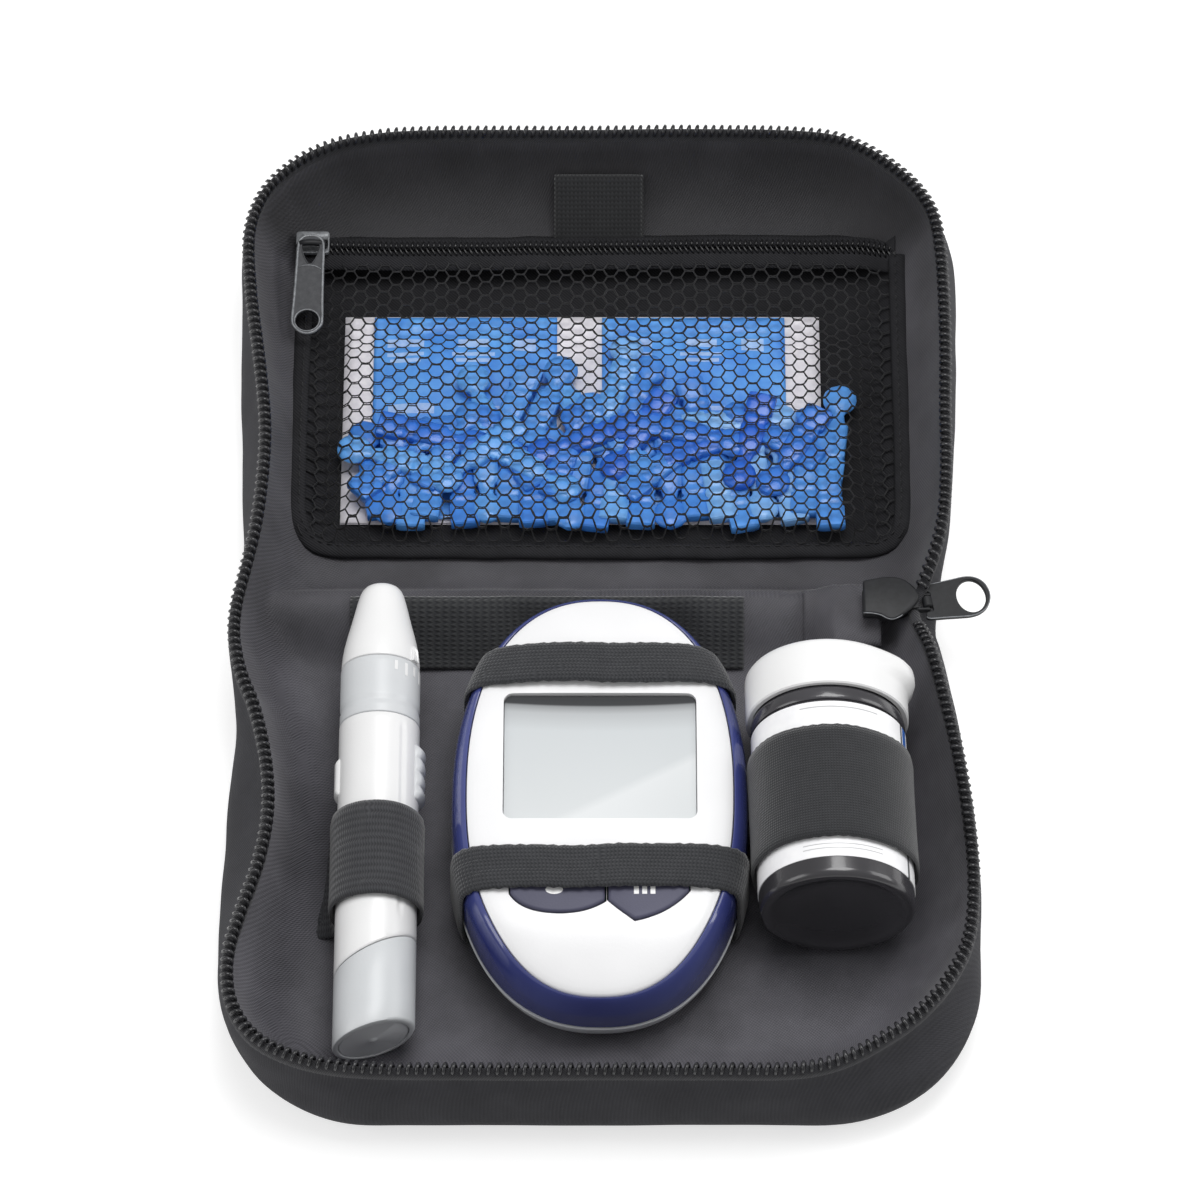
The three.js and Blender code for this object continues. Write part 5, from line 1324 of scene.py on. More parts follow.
def key_outline(is_left, grow):
    """The outline of a key, grown by a clearance, in the meter's own X and Y."""
    back = -15.6 + grow
    if is_left:
        line = [(0.9 + grow, back), (-16.6 - grow, back)]
        line += quadratic((-16.6 - grow, -22.0), (-14.6 - grow, -26.4 - grow), (-7.5, -26.5 - grow))
        line += quadratic((-7.5, -26.5 - grow), (-2.4, -26.6 - grow), (0.9 + grow, -24.0 - grow))
    else:
        line = [(16.2 + grow, back), (1.5 - grow, back), (1.5 - grow, -24.0)]
        line += quadratic((1.5 - grow, -24.0), (3.4, -25.9 - grow), (6.3, -28.0 - grow))
        line += quadratic((6.3, -28.0 - grow), (12.6, -26.8 - grow), (16.2 + grow, -22.0))
    return [(x, METER_MIDDLE_Y + y) for x, y in line]


cut_away(
    meter_face,
    prism("cutter", rounded_rectangle(LCD_HALF_X + 0.12, LCD_HALF_Y + 0.12, 1.7, (0, LCD_Y)), 10, 30),
    prism("cutter", key_outline(True, KEY_GAP), 10, 30),
    prism("cutter", key_outline(False, KEY_GAP), 10, 30),
)
shade(meter_face, 30)

lcd_glass, tree, shader = new_material(
    "lcd_under_clear_acrylic", "#cdd1d2", 0.4, Coat_Weight=0.05, Coat_Roughness=0.3, Specular_IOR_Level=0.12
)
# The panel's colour holds a painted shadow along its top, where the rim would shade it, and a painted reflection: a
# pale swoosh across its lower right.
x_part, y_part, _ = split(tree, object_place(tree))
x_mm = maths(tree, "MULTIPLY_ADD", x_part, 1000, -X_OFFSET)
from_top = maths(tree, "MULTIPLY_ADD", y_part, -1000, LCD_Y + LCD_HALF_Y)
bowed = maths(tree, "MULTIPLY_ADD", maths(tree, "MULTIPLY", x_mm, x_mm), 0.0022, from_top)
reflection_reach = maths(tree, "SUBTRACT", maths(tree, "MULTIPLY_ADD", x_mm, 0.55, from_top), 22.5)
painted_reflection = ramp(
    tree, maths(tree, "MULTIPLY_ADD", reflection_reach, 1 / 30, 0.03), [(0.0, "#000000"), (0.07, "#c8c8c8"), (0.55, "#333333")]
)
shadow = ramp(
    tree, maths(tree, "DIVIDE", bowed, 30),
    [(0.0, "#3a3b3d"), (0.072, "#404143"), (0.084, "#8e9092"), (0.135, "#b3b6b8"), (0.26, "#c6cacc"), (1.0, "#cfd2d3")],
)
tree.links.new(mix_in(tree, painted_reflection, shadow, "#dfe1e2"), shader.inputs["Base Color"])
relief(tree, shader, grain(tree, 40, 1), 0.01)

lcd_window = prism(
    "lcd_window", rounded_rectangle(LCD_HALF_X, LCD_HALF_Y, 1.6, (0, LCD_Y)), METER_SEAT + 17.1, METER_SEAT + 19.45,
    lcd_glass, rounding=0.25,
)
key_left = prism("key_left", key_outline(True, 0), KEY_LOW, KEY_TOP, slate_silicone, rounding=0.55)
key_right = prism("key_right", key_outline(False, 0), KEY_LOW, KEY_TOP, slate_silicone, rounding=0.55)
key_marks = [
    [(math.cos(k * math.pi / 10) * 1.6 - 8.3, math.sin(k * math.pi / 10) * 0.95 - 22.0) for k in range(20)],
    *([(x - 0.45, -22.9), (x + 0.45, -22.9), (x + 0.45, -21.3), (x - 0.45, -21.3)] for x in (6.6, 8.1, 9.6)),
]
marks = [
    prism("key_mark", [(x, METER_MIDDLE_Y + y) for x, y in outline], METER_SEAT + 20.5, METER_SEAT + 20.58, pen_white)
    for outline in key_marks
]
print("meter face", len(meter_face.data.polygons), "faces")

for piece, body, slot, node in (
    (meter_back, "meter", "pale_plastic", "meter_back_housing"), (meter_rim, "meter", "navy_plastic", "meter_bezel"),
    (meter_face, "meter", "white_plastic", "meter_face"), (lcd_window, "meter", "lcd_window", "lcd_lens"),
    (key_left, "button_left", "key_rubber", "button_left"), (key_right, "button_right", "key_rubber", "button_right"),
):
    dress(piece, body, slot, node)
for mark, body in zip(marks, ("button_left", "button_right", "button_right", "button_right")):
    dress(mark, body, "white_plastic")

# %% [markdown]
# ## The lancing pen
# The pen is turned: every piece is a profile swept round one sloping axis, with sides fine enough to look
# round. Two of its joints are cut aslant, so the place where a profile ends may depend on the angle.

# %% Turned pieces on the pen's axis
PEN_SIDES = 72


def pen_point(along, radius, turn):
    """A point on the pen, by place along it, distance from its axis and angle, with 90 degrees on top."""
    x = radius * math.cos(turn)
    up = radius * math.sin(turn)
    return (
        PEN_X + x, PEN_REAR_Y + along * math.cos(PEN_TILT) - up * math.sin(PEN_TILT),
        PEN_REAR_Z + along * math.sin(PEN_TILT) + up * math.cos(PEN_TILT),
    )


def turned(name, profile, finish, sides=PEN_SIDES, point=pen_point):
    """A closed turned form from a profile of place along, radius and slant, with the ends on the axis or hollow."""
    rings = []
    for along, radius, *slants in profile:
        slant = sum(slants)
        ring = []
        for k in range(sides):
            turn = 2 * math.pi * k / sides
            ring.append(point(along + slant * math.cos(turn) * radius / PEN_RADIUS, radius, turn))
        rings.append(ring)
    rings.append(rings[0])
    points, faces = loft(rings)
    piece = new_piece(name, points, faces, finish)
    weld(piece.data, 2e-6, clean=True)
    return shade(outward(piece), 38)


# %% [markdown]
# From the rear: the grey sleeve that is pulled to cock the pen. Its front edge and its end plane both slant, and
# the end is a disc that lies flush inside a rounded rim, with a small nub in its middle.

# %% Cocking sleeve
sleeve = turned("pen_cocking_sleeve", [
    (0.35, 6.35, 2.3), (0.0, 6.5, 2.3), (0.0, 6.9, 2.3), (0.15, 7.3, 2.3), (0.55, 7.5, 2.3), (4.0, 7.5, 3.0),
    (10.0, 7.5, 3.2), (15.55, 7.5, 3.6), (15.8, 7.38, 3.6), (15.8, 5.9, 3.6), (4.6, 5.9, 2.3), (4.6, 0.01, 2.3),
    (0.9, 0.01, 2.3), (0.9, 6.35, 2.3),
], pale_grey)
sleeve_end = turned("pen_end_disc", [
    (-0.25, 0.01, 2.3), (-0.2, 0.5, 2.3), (0.0, 0.75, 2.3), (0.1, 1.0, 2.3), (0.1, 6.1, 2.3), (0.3, 6.3, 2.3),
    (0.88, 6.3, 2.3), (0.88, 0.01, 2.3),
], end_grey)

# %% [markdown]
# The white barrel has a long straight seam near its right side, a rib on the left and the release key on the
# right. The seam is a shallow groove pressed into the skin.

# %% Barrel
barrel_profile = [(4.9, 4.6), (4.9, 5.6), (16.1, 5.6, 3.6), (16.1, 7.3, 3.6), (16.35, 7.5, 3.6)]
barrel_profile += [(16.4 + 47.0 * k / 46, 7.5, 3.6 * max(0, 1 - k / 10)) for k in range(1, 47)]
barrel_profile += [(63.6, 7.38), (63.6, 6.0), (77.0, 6.0), (77.0, 5.2), (31.0, 5.2), (31.0, 4.6)]


def barrel_point(along, radius, turn):
    """A point on the barrel, pressed in along the seam."""
    if radius > 7.4 and 22 < along < 62:
        seam = math.exp(-((math.degrees(turn) - 52) / 2.6) ** 2)
        radius -= 0.35 * seam * smooth_step(along, 22, 24)
    return pen_point(along, radius, turn)


pen_body = turned("pen_white_barrel", barrel_profile, pen_white, sides=108, point=barrel_point)


def side_key(name, along, end, low, high, base, proud, bumps, finish, side=1):
    """A raised key on the pen's side, with a number of ridges across it."""
    def turn_at(height):
        turn = math.asin(max(-1, min(1, height / PEN_RADIUS)))
        return turn if side > 0 else math.pi - turn

    rows = []
    for t in spread(0, 1, 44):
        place = along + (end - along) * t
        edge = min(1.0, min(t, 1 - t) * 9) ** 0.5
        ridge = 0.5 * abs(math.sin(math.pi * bumps * t)) ** 0.7 if bumps else 0
        row = []
        for v in spread(-1, 2, 12):
            height = (low + high) / 2 + (high - low) / 2 * v
            across = (1 - abs(v) ** 6) ** 0.5
            row.append(pen_point(place, base + (proud + ridge) * edge * across, turn_at(height)))
        rows.append(row + [pen_point(place, base - 0.6, turn_at(height)) for height in (high, 0.0, low)])
    points, faces = loft(rows, capped=True)
    return shade(outward(new_piece(name, points, faces, finish)), 50)


release_key = side_key("pen_release_key", 47.6, 59.1, -3.3, 3.3, 7.45, 0.75, 4, pale_grey)
pen_rib = side_key("pen_side_rib", 48.7, 56.4, -2.6, 2.6, 7.4, 0.8, 0, pen_white, side=-1)

# %% [markdown]
# The depth dial is a grey ring that turns, with a fine step and a row of short white marks. The white nose cap
# tapers in a convex curve to a rounded flat end with the lancet's hole in it.

# %% Dial and nose
dial_profile = [(63.75, 6.3), (63.75, 7.3), (63.9, 7.45)]
dial_profile += [(64.1 + 10.8 * k / 20, 7.45 - (0.22 if 4 <= k <= 5 else 0)) for k in range(1, 20)]
dial_profile += [(75.2, 7.42), (75.6, 7.3), (75.65, 6.3)]
depth_dial = turned("pen_depth_dial", dial_profile, pale_grey)
points, faces = [], []
for k in range(4):
    turn = math.radians(14 + 17 * k)
    length = 2.6 if k % 2 == 0 else 1.9
    corners = [
        pen_point(along, PEN_RADIUS, turn + math.radians(2.4 * side))
        for along, side in ((74.7 - length, -1), (74.7 - length, 1), (74.7, 1), (74.7, -1))
    ]
    start = len(points)
    points += [(PEN_X + (x - PEN_X) * 0.985, y, z - 0.12) for x, y, z in corners] + corners
    faces += [(start, start + 1, start + 2, start + 3), (start + 4, start + 7, start + 6, start + 5)]
    faces += [(start + i, start + 4 + i, start + 4 + (i + 1) % 4, start + (i + 1) % 4) for i in range(4)]
dial_marks = outward(new_piece("pen_dial_marks", points, faces, pen_white, smooth=False))

nose_cap = turned("pen_white_nose", [
    (75.8, 6.3), (75.8, 7.15), (75.95, 7.32), (76.8, 7.32), (78.0, 7.22), (79.8, 6.98), (81.6, 6.62), (83.4, 6.2),
    (85.2, 5.75), (87.0, 5.32), (88.8, 4.9), (90.4, 4.52), (91.6, 4.18), (92.4, 3.85), (93.0, 3.4), (93.35, 2.85),
    (93.5, 2.2), (93.5, 1.35), (93.35, 1.2), (92.2, 1.2), (92.2, 3.0), (89.5, 3.7), (84.0, 4.9), (77.2, 6.3),
], pen_white)
pointer_corners = [(76.0, 24, 7.0), (76.0, 36, 7.0), (78.4, 33.5, 7.0), (79.4, 30, 6.8), (78.4, 26.5, 7.0)]
pointer_outline = [(along, math.radians(angle), radius) for along, angle, radius in pointer_corners]
points = [pen_point(a, r - 0.3, t) for a, t, r in pointer_outline]
points += [pen_point(a, r + (0.85 if a < 79 else 0.45), t) for a, t, r in pointer_outline]
faces = [(0, 1, 2, 3, 4), (9, 8, 7, 6, 5)] + [(i, 5 + i, 5 + (i + 1) % 5, (i + 1) % 5) for i in range(5)]
nose_pointer = outward(new_piece("pen_nose_pointer", points, faces, pen_white, smooth=False))
print("pen", len(pen_body.data.polygons) + len(nose_cap.data.polygons), "faces")

for piece, body, slot, nodes in (
    (sleeve, "cocking_sleeve", "pale_plastic", ("cocking_sleeve",)), (sleeve_end, "cocking_sleeve", "pale_plastic", ()),
    (pen_body, "pen", "white_plastic", ("pen_body",)), (pen_rib, "pen", "white_plastic", ()),
    (release_key, "release_button", "pale_plastic", ("release_button",)),
    (depth_dial, "depth_dial", "pale_plastic", ("depth_dial",)), (dial_marks, "depth_dial", "white_plastic", ()),
    (nose_cap, "nose_cap", "white_plastic", ("pen_nose_cap",)), (nose_pointer, "nose_cap", "white_plastic", ()),
):
    dress(piece, body, slot, *nodes)

# %% [markdown]
# ## The vial of test strips
# The vial lies on its side under its loop. It is moulded in nearly black plastic, which keeps light off the
# strips, with a white flip cap that has a lobe to push with the thumb. A paper label goes round it; what is
# printed on such labels is left off, apart from a few ruled lines and a plain stripe.

# %% Vial, neck ring and cap
def vial_point(along, radius, turn):
    """A point on the vial, as pen_point gives one on the pen."""
    x = VIAL_X + VIAL_YAW * (along - VIAL_TURNED_AT) + radius * math.cos(turn)
    return (x, VIAL_REAR_Y + along, VIAL_Z + radius * math.sin(turn))


vial_body = turned("vial_dark_body", [
    (1.5, 0.01), (0.9, 8.0), (0.75, 11.2), (0.2, 12.0), (0.0, 12.6), (0.0, 13.1), (0.12, 13.6), (0.5, 14.0),
    (1.1, 14.2), (1.5, 14.22), (36.5, 14.22), (37.2, 14.1), (37.4, 13.9), (40.2, 13.85), (40.8, 13.6), (43.5, 13.55),
    (43.5, 12.2), (40.0, 12.9), (3.0, 12.9), (2.9, 0.01),
], smoke_vial, sides=96, point=vial_point)
cap_profile = [
    (40.5, 14.05), (40.5, 14.8), (40.75, 15.1), (42.6, 15.14), (44.6, 15.14), (45.6, 15.14), (46.6, 15.14),
    (47.6, 15.12), (48.6, 15.1), (49.5, 14.95), (50.15, 14.5), (50.45, 13.8), (50.5, 12.9), (50.3, 12.3),
    (50.2, 0.01), (48.8, 0.01), (48.8, 12.0), (44.0, 12.0), (44.0, 13.95),
]


def cap_point(along, radius, turn):
    """A point on the cap, whose top edge swells to a lobe on the right side."""
    lobe = math.exp(-((math.degrees(math.atan2(math.sin(turn), math.cos(turn))) - 16) / 25) ** 2)
    grow = 1.75 * lobe * smooth_step(radius, 12.6, 14.6) * smooth_step(along, 45.0, 47.4)
    return vial_point(along, radius + grow, turn)


vial_cap = turned("vial_white_cap", cap_profile, cap_white, sides=120, point=cap_point)
neck_ring = turned("vial_neck_ring", [
    (37.5, 13.2), (37.5, 14.15), (37.75, 14.3), (38.2, 14.35), (39.3, 14.35), (39.8, 14.25), (40.0, 14.0),
    (40.0, 13.2),
], smoke_vial, sides=96, point=vial_point)

# %% [markdown]
# The label is white coated paper. Its ruled lines, the blue stripe beside its top edge and the dark gap where
# its two ends meet are drawn by the material from the angle round the vial and the place along it, so they stay
# where they are glued.

# %% Label
label_paper, tree, shader = new_material("coated_label_paper", "#f4f4f5", 0.42)
x_part, y_part, z_part = split(tree, object_place(tree))
dx = maths(tree, "SUBTRACT", maths(tree, "MULTIPLY_ADD", x_part, 1000, -X_OFFSET), VIAL_X)
dz = maths(tree, "MULTIPLY_ADD", z_part, 1000, -VIAL_Z)
round_mm = maths(tree, "MULTIPLY", maths(tree, "ARCTAN2", dz, dx), VIAL_RADIUS)
along_mm = maths(tree, "MULTIPLY_ADD", y_part, 1000, -VIAL_REAR_Y)
stripe = maths(tree, "MULTIPLY", maths(tree, "COMPARE", round_mm, 4.3, 1.1), maths(tree, "GREATER_THAN", along_mm, 26))
gap = maths(tree, "MULTIPLY", maths(tree, "COMPARE", round_mm, 6.1, 0.4), 0.95)
lines = maths(tree, "COMPARE", along_mm, 35.6, 0.12)
for low_line in (5.6, 6.5):
    lines = maths(tree, "MAXIMUM", lines, maths(tree, "COMPARE", along_mm, low_line, 0.1))
field = maths(tree, "COMPARE", round_mm, 21, 7.5)
inked = maths(tree, "MAXIMUM", maths(tree, "MULTIPLY", maths(tree, "MULTIPLY", lines, field), 0.5), gap)
base = ramp(tree, grain(tree, 3, 2), [(0.3, "#eeeef0"), (0.7, "#f6f6f7")])
striped = mix_in(tree, stripe, mix_in(tree, inked, base, "#4c4d52"), "#2c5fae")
tree.links.new(striped, shader.inputs["Base Color"])
relief(tree, shader, grain(tree, 0.5, 2), 0.008)

vial_label = turned("vial_paper_label", [
    (3.9, 14.2), (3.9, 14.34), (4.0, 14.38), (10, 14.38), (20, 14.38), (30, 14.38), (36.7, 14.38), (36.8, 14.34),
    (36.8, 14.2),
], label_paper, sides=120, point=vial_point)

for piece, body, slot, nodes in (
    (vial_body, "vial", "vial_plastic", ("vial_body",)), (neck_ring, "vial", "vial_plastic", ()),
    (vial_label, "vial", "paper", ()), (vial_cap, "vial_cap", "white_plastic", ("vial_cap",)),
):
    dress(piece, body, slot, *nodes)
print("vial", len(vial_body.data.polygons) + len(vial_cap.data.polygons), "faces")

# %% [markdown]
# ## The net pocket and what it holds
# The pocket in the lid is a net that is sewn down on three sides and closed by a small zip along the fourth.
# Under it lie, from below, a folded leaflet, two swab sachets and a heap of lancets. The net rests on them, so one
# function gives its height everywhere, and it is used again to keep the lancets below the net.

# %% Height of the net
lining_tree = BVHTree.FromPolygons(
    [v.co.copy() for v in lining.data.vertices], [tuple(p.vertices) for p in lining.data.polygons]
)


def lining_height(x, y):
    """Height of the lining's surface under a place, in millimetres."""
    hit = lining_tree.ray_cast(metres((x, y, 60)), Vector((0, 0, -1)))[0]
    return hit.z * 1000 if hit else 3.7


POCKET_HALF = 57.6
POCKET_FRONT, POCKET_BACK = 18.6, 83.6
HEAP_TOP = 10.9


def net_height(x, y):
    """Height of the net over the floor, the leaflet and the heap."""
    sides = smooth_step(POCKET_HALF - abs(x), 0.5, 9)
    front = smooth_step(y, POCKET_FRONT - 1.4, POCKET_FRONT + 2.6)
    plateau = 7.5 + 0.5 * noise.noise(Vector((x / 15, y / 12, 3)))
    heap = smooth_step(y, 18.5, 23) * (1 - smooth_step(y, 58, 68)) * smooth_step(54.5 - abs(x), 0, 7)
    top = plateau + (HEAP_TOP - plateau) * heap + 0.35 * heap * noise.noise(Vector((x / 6, y / 6, 5)))
    back = smooth_step(y, 70, 82)
    top += (8.9 - top) * back
    return 5.5 + (top - 5.5) * min(sides + 0.6 * back * (1 - sides), 1) * front


# %% [markdown]
# The net is knitted: each hole has its own rounded loop of thread, and neighbouring loops lie against each
# other, which is why the bars between holes look doubled and show pinholes. Geometry Nodes put a loop on every
# hole's middle, with small seeded changes of size, and the result is then laid over the heap.

# %% One loop of the net and the places of the holes
COLUMN_PITCH, ROW_PITCH = 2.25, 3.05
THREAD_RADIUS = 0.135
HOLE_CORNERS = [
    (1.52, 0), (1.14, 0.76), (0.76, 1.37), (0, 1.45), (-0.76, 1.37), (-1.14, 0.76),
    (-1.52, 0), (-1.14, -0.76), (-0.76, -1.37), (0, -1.45), (0.76, -1.37), (1.14, -0.76),
]


def net_loop():
    """One rounded six-sided loop of thread, at the origin, that rises and dips as it passes its neighbours."""
    rings = []
    for k, (x, y) in enumerate(HOLE_CORNERS):
        out = Vector((x, y, 0)).normalized()
        lift = 0.06 * math.cos(k * math.pi)
        rings.append([
            Vector((x, y, lift)) + (out * math.cos(a) + Vector((0, 0, 1)) * math.sin(a)) * THREAD_RADIUS
            for a in (2 * math.pi * j / 5 for j in range(5))
        ])
    rings.append(rings[0])
    points, faces = loft(rings)
    mesh = bpy.data.meshes.new("net_loop")
    mesh.from_pydata([Vector(p) / 1000 for p in points], [], faces)
    weld(mesh)
    return outward(bpy.data.objects.new("net_loop", mesh))


hole_middles = []
columns = int(2 * POCKET_HALF / COLUMN_PITCH) - 1
for i in range(columns + 1):
    x = (i - columns / 2) * COLUMN_PITCH
    shift = ROW_PITCH / 2 if i % 2 else 0
    rows = int((POCKET_BACK - POCKET_FRONT - 1.6 - shift) / ROW_PITCH)
    for j in range(rows + 1):
        y = POCKET_FRONT + 1.6 + shift + j * ROW_PITCH
        bend_x = 0.9 * noise.noise(Vector((x / 24, y / 24, 11)))
        bend_y = 0.9 * noise.noise(Vector((x / 28, y / 20, 17)))
        hole_middles.append((x + bend_x, y + bend_y, 0))
print("net of", len(hole_middles), "holes")


# %% Geometry Nodes: loops on points, with seeded small changes of size
loops_on_points, entry, placed = copies_tree("loops_on_points", ["Smallest", "Largest"])
size = add_node(loops_on_points, "FunctionNodeRandomValue", data_type="FLOAT")
limits = [s for s in size.inputs if s.type == "VALUE"]
loops_on_points.links.new(entry.outputs["Smallest"], limits[0])
loops_on_points.links.new(entry.outputs["Largest"], limits[1])
NET_SEED = 7
next(s for s in size.inputs if s.name == "Seed").default_value = NET_SEED
share = next(s for s in size.outputs if s.type == "VALUE" and s.enabled)
loops_on_points.links.new(share, placed.inputs["Scale"])

net = new_piece("pocket_net_knit", hole_middles, [])
modifier = net.modifiers.new("loops", "NODES")
modifier.node_group = loops_on_points
set_inputs(
    modifier, loops_on_points, {"Piece": net_loop(), "Smallest": 0.975, "Largest": 1.03, "Finish": net_thread}
)
finished(net)
for vertex in net.data.vertices:
    x, y = vertex.co.x * 1000 - X_OFFSET, vertex.co.y * 1000
    vertex.co.z += max(net_height(x, y), lining_height(x, y) + 1.2) / 1000
for polygon in net.data.polygons:
    polygon.use_smooth = True
dress(net, "lid", "net_fabric", "pocket_net")
print("net", len(net.data.polygons), "faces")

# %% [markdown]
# A narrow folded binding covers the net's sewn edges. It is a soft flat roll that follows the pocket's outline.

# %% Binding of the pocket
BINDING_SEAT = 3.75


def roll(name, line, width, height, finish):
    """A soft flat roll along an open line on the floor."""
    rings = []
    for point, out in zip(line, outward_normals(line, closed=False)):
        ring = []
        for k in range(10):
            turn = 2 * math.pi * k / 10
            across = width / 2 * math.copysign(abs(math.cos(turn)) ** 0.8, math.cos(turn))
            up = height / 2 * (1 + math.copysign(abs(math.sin(turn)) ** 0.8, math.sin(turn)))
            ring.append((point.x + out.x * across, point.y + out.y * across, BINDING_SEAT + point.z + up))
        rings.append(ring)
    points, faces = loft(rings, capped=True)
    return outward(new_piece(name, points, faces, finish))


edge_line = smooth_path([
    (-58.2, 84, 0.6), (-58.2, 70, 0), (-58.3, 50, 0), (-58.2, 30, 0), (-57.9, 22.5, 0), (-56.0, 18.9, 0),
    (-52, 17.9, 0), (-30, 17.7, 0), (0, 17.5, 0), (30, 17.6, 0), (52, 18.0, 0), (56.2, 19.1, 0), (58.0, 22.5, 0),
    (58.4, 35, 0), (58.5, 55, 0), (58.5, 70, 0), (58.5, 84, 0.6),
], 1.3)
for point in edge_line:
    point.z += 0.12 * noise.noise(point / 5) + max(0, lining_height(point.x, point.y) - 4.0)
    point.y += 0.25 * noise.noise(point / 9)
binding = roll("pocket_sewn_binding", edge_line, 3.4, 1.9, pocket_cloth)
dress(binding, "lid", "shell_fabric", "pocket_binding")

# The dark cloth sheet under the leaflet is painted shade: it darkens the pocket where the net above shades it.
back_rows = []
for x in spread(-57.9, 116.0, 60):
    round_front = 3.4 * smooth_step(abs(x), 54.3, 58.4)
    back_rows.append([
        (x, y, max(4.0, lining_height(x, y) + 0.35) + 0.12 * noise.noise(Vector((x / 9, y / 9, 31))))
        for y in spread(88.2, -(88.2 - 18.2 - round_front), 30)
    ])
painted_shade_sheet = band("pocket_backing_cloth", back_rows, 0.25, pocket_cloth)
dress(painted_shade_sheet, "lid", "shell_fabric")

stitch_mesh = bent_tube(
    "stitch", [(-0.55, 0, 0), (-0.25, 0, 0.13), (0.25, 0, 0.13), (0.55, 0, 0)], [0.1, 0.15, 0.15, 0.1], 5, tape_cloth
)
stitches = row_of(
    "pocket_stitches", [(p.x * 0.992, p.y + (0.5 if p.y < 40 else 0), p.z + 5.6) for p in edge_line], stitch_mesh, 1.9,
    net_thread,
)
dress(stitches, "lid", "shell_fabric")

# %% [markdown]
# The pocket's zip is a fine closed coil on two narrow tapes. Closed, its two rows cross in a V, with a line of
# glints where they meet. The lower tape holds the net and the upper one is sewn to the lining.

# %% Pocket zip
ZIP_LEFT, ZIP_RIGHT = -59.2, 59.4
ZIP_Y, ZIP_Z = 86.0, 9.35


def zip_place(x):
    """Y and Z of the pocket zip's middle line, which bows a little."""
    y = ZIP_Y + 0.3 * math.sin(x / 19) + 0.22 * noise.noise(Vector((x / 9, 3, 1)))
    z = ZIP_Z - 1.4 * smooth_step(x, 50, 60) + 0.12 * noise.noise(Vector((x / 12, 8, 2)))
    return y, z


def upper_tape_height(x, away, z):
    """The upper tape goes down to the lining behind the zip."""
    down = smooth_step(away, 1.6, 6.2)
    return z - 0.25 + (4.8 - z) * down * 0.9 + 0.25 * down * noise.noise(Vector((x / 4, away, 6)))


def lower_tape_height(x, away, z):
    """The lower tape dips a little to the net."""
    return z - 0.25 - 0.75 * smooth_step(-away, 1.5, 4.2)


def zip_tape(name, offsets, z_at):
    """A tape of the pocket's zip, at offsets from its line, with a function for its height."""
    rows = []
    for x in reversed(spread(ZIP_LEFT, ZIP_RIGHT - ZIP_LEFT, 80)):
        y, z = zip_place(x)
        rows.append([(x, y + away, z_at(x, away, z)) for away in offsets])
    return band(name, rows, 0.5, pocket_cloth)


zip_upper = zip_tape("pocket_zip_upper_tape", [0.15, 0.9, 1.7, 2.6, 3.6, 4.8, 6.2], upper_tape_height)
zip_lower = zip_tape("pocket_zip_lower_tape", [-4.3, -3.4, -2.5, -1.7, -0.9, -0.15], lower_tape_height)
cross_parts = [
    # the far row's teeth stand nearly square to the zip, and the near row's lean
    bent_tube(
        "far_tooth", [(0.30, 1.75, -0.15), (0.26, 1.6, 0.3), (0.2, 1.0, 0.5), (0.14, 0.5, 0.55), (0.1, 0.2, 0.25)],
        [0.15, 0.19, 0.2, 0.24, 0.17], 6, coil_nylon,
    ),
    bent_tube(
        "near_tooth",
        [(-0.42, 0.25, 0.2), (-0.36, 0.05, 0.5), (-0.12, -0.4, 0.55), (0.28, -1.1, 0.45), (0.5, -1.5, -0.1)],
        [0.17, 0.25, 0.2, 0.2, 0.15], 6, coil_nylon,
    ),
]
pair_form = bmesh.new()
for part in cross_parts:
    pair_form.from_mesh(part.data)
pair_mesh = bpy.data.meshes.new("coil_pair")
pair_form.to_mesh(pair_mesh)
pair_form.free()
coil_pair = bpy.data.objects.new("coil_pair", pair_mesh)
coil_line = [(x / 2, *zip_place(x / 2)) for x in range(-106, 117)]
pocket_coil = row_of("pocket_zip_coil", coil_line, coil_pair, 1.05, coil_nylon)
print("pocket coil", len(pocket_coil.data.polygons), "faces")
dress(zip_upper, "lid", "shell_fabric", "pocket_zip_upper")
dress(zip_lower, "lid", "shell_fabric", "pocket_zip_lower")
dress(pocket_coil, "lid", "zip_plastic")

# %% [markdown]
# The leaflet is a sheet of white paper folded in three, so its front edge shows as three thin layers. Paper
# doesn't lie quite flat: it has a long, low wave.

# %% Leaflet
paper = mottled("uncoated_white_paper", "#e8e4ea", 0.75, ("#dedbe3", "#f0edf2"), (1.5, 3), (0.4, 2), 0.01)


def paper_layer(name, left, right, front, back, lift, seed):
    """A leaf of the leaflet, with its low wave."""
    rows = [
        [(x, y, lift + 0.10 * noise.noise(Vector((x / 25, y / 30, seed)))) for y in spread(back, front - back, 24)]
        for x in spread(left, right - left, 40)
    ]
    return band(name, rows, 0.1, paper)


leaflet_layers = [
    paper_layer("leaflet_back_leaf", -50.0, 43.0, 23.9, 72.7, 4.42, 1),
    paper_layer("leaflet_middle_leaf", -49.6, 42.7, 24.3, 72.4, 4.62, 2),
    paper_layer("leaflet_front_leaf", -49.9, 43.0, 24.0, 72.6, 4.82, 3),
]
for below, piece in zip(["pocket_backing_cloth", "leaflet_back_leaf", "leaflet_middle_leaf"], leaflet_layers):
    dress(piece, "lid", "paper")
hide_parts("leaflet")

# %% [markdown]
# A swab sachet is foil laminated with printed film. Its flat edges are crimped, and the folded swab makes a low
# pillow in the middle. The print is a plain bright blue with rows of pale bars, which stand in for the small
# print of such a sachet and say nothing.

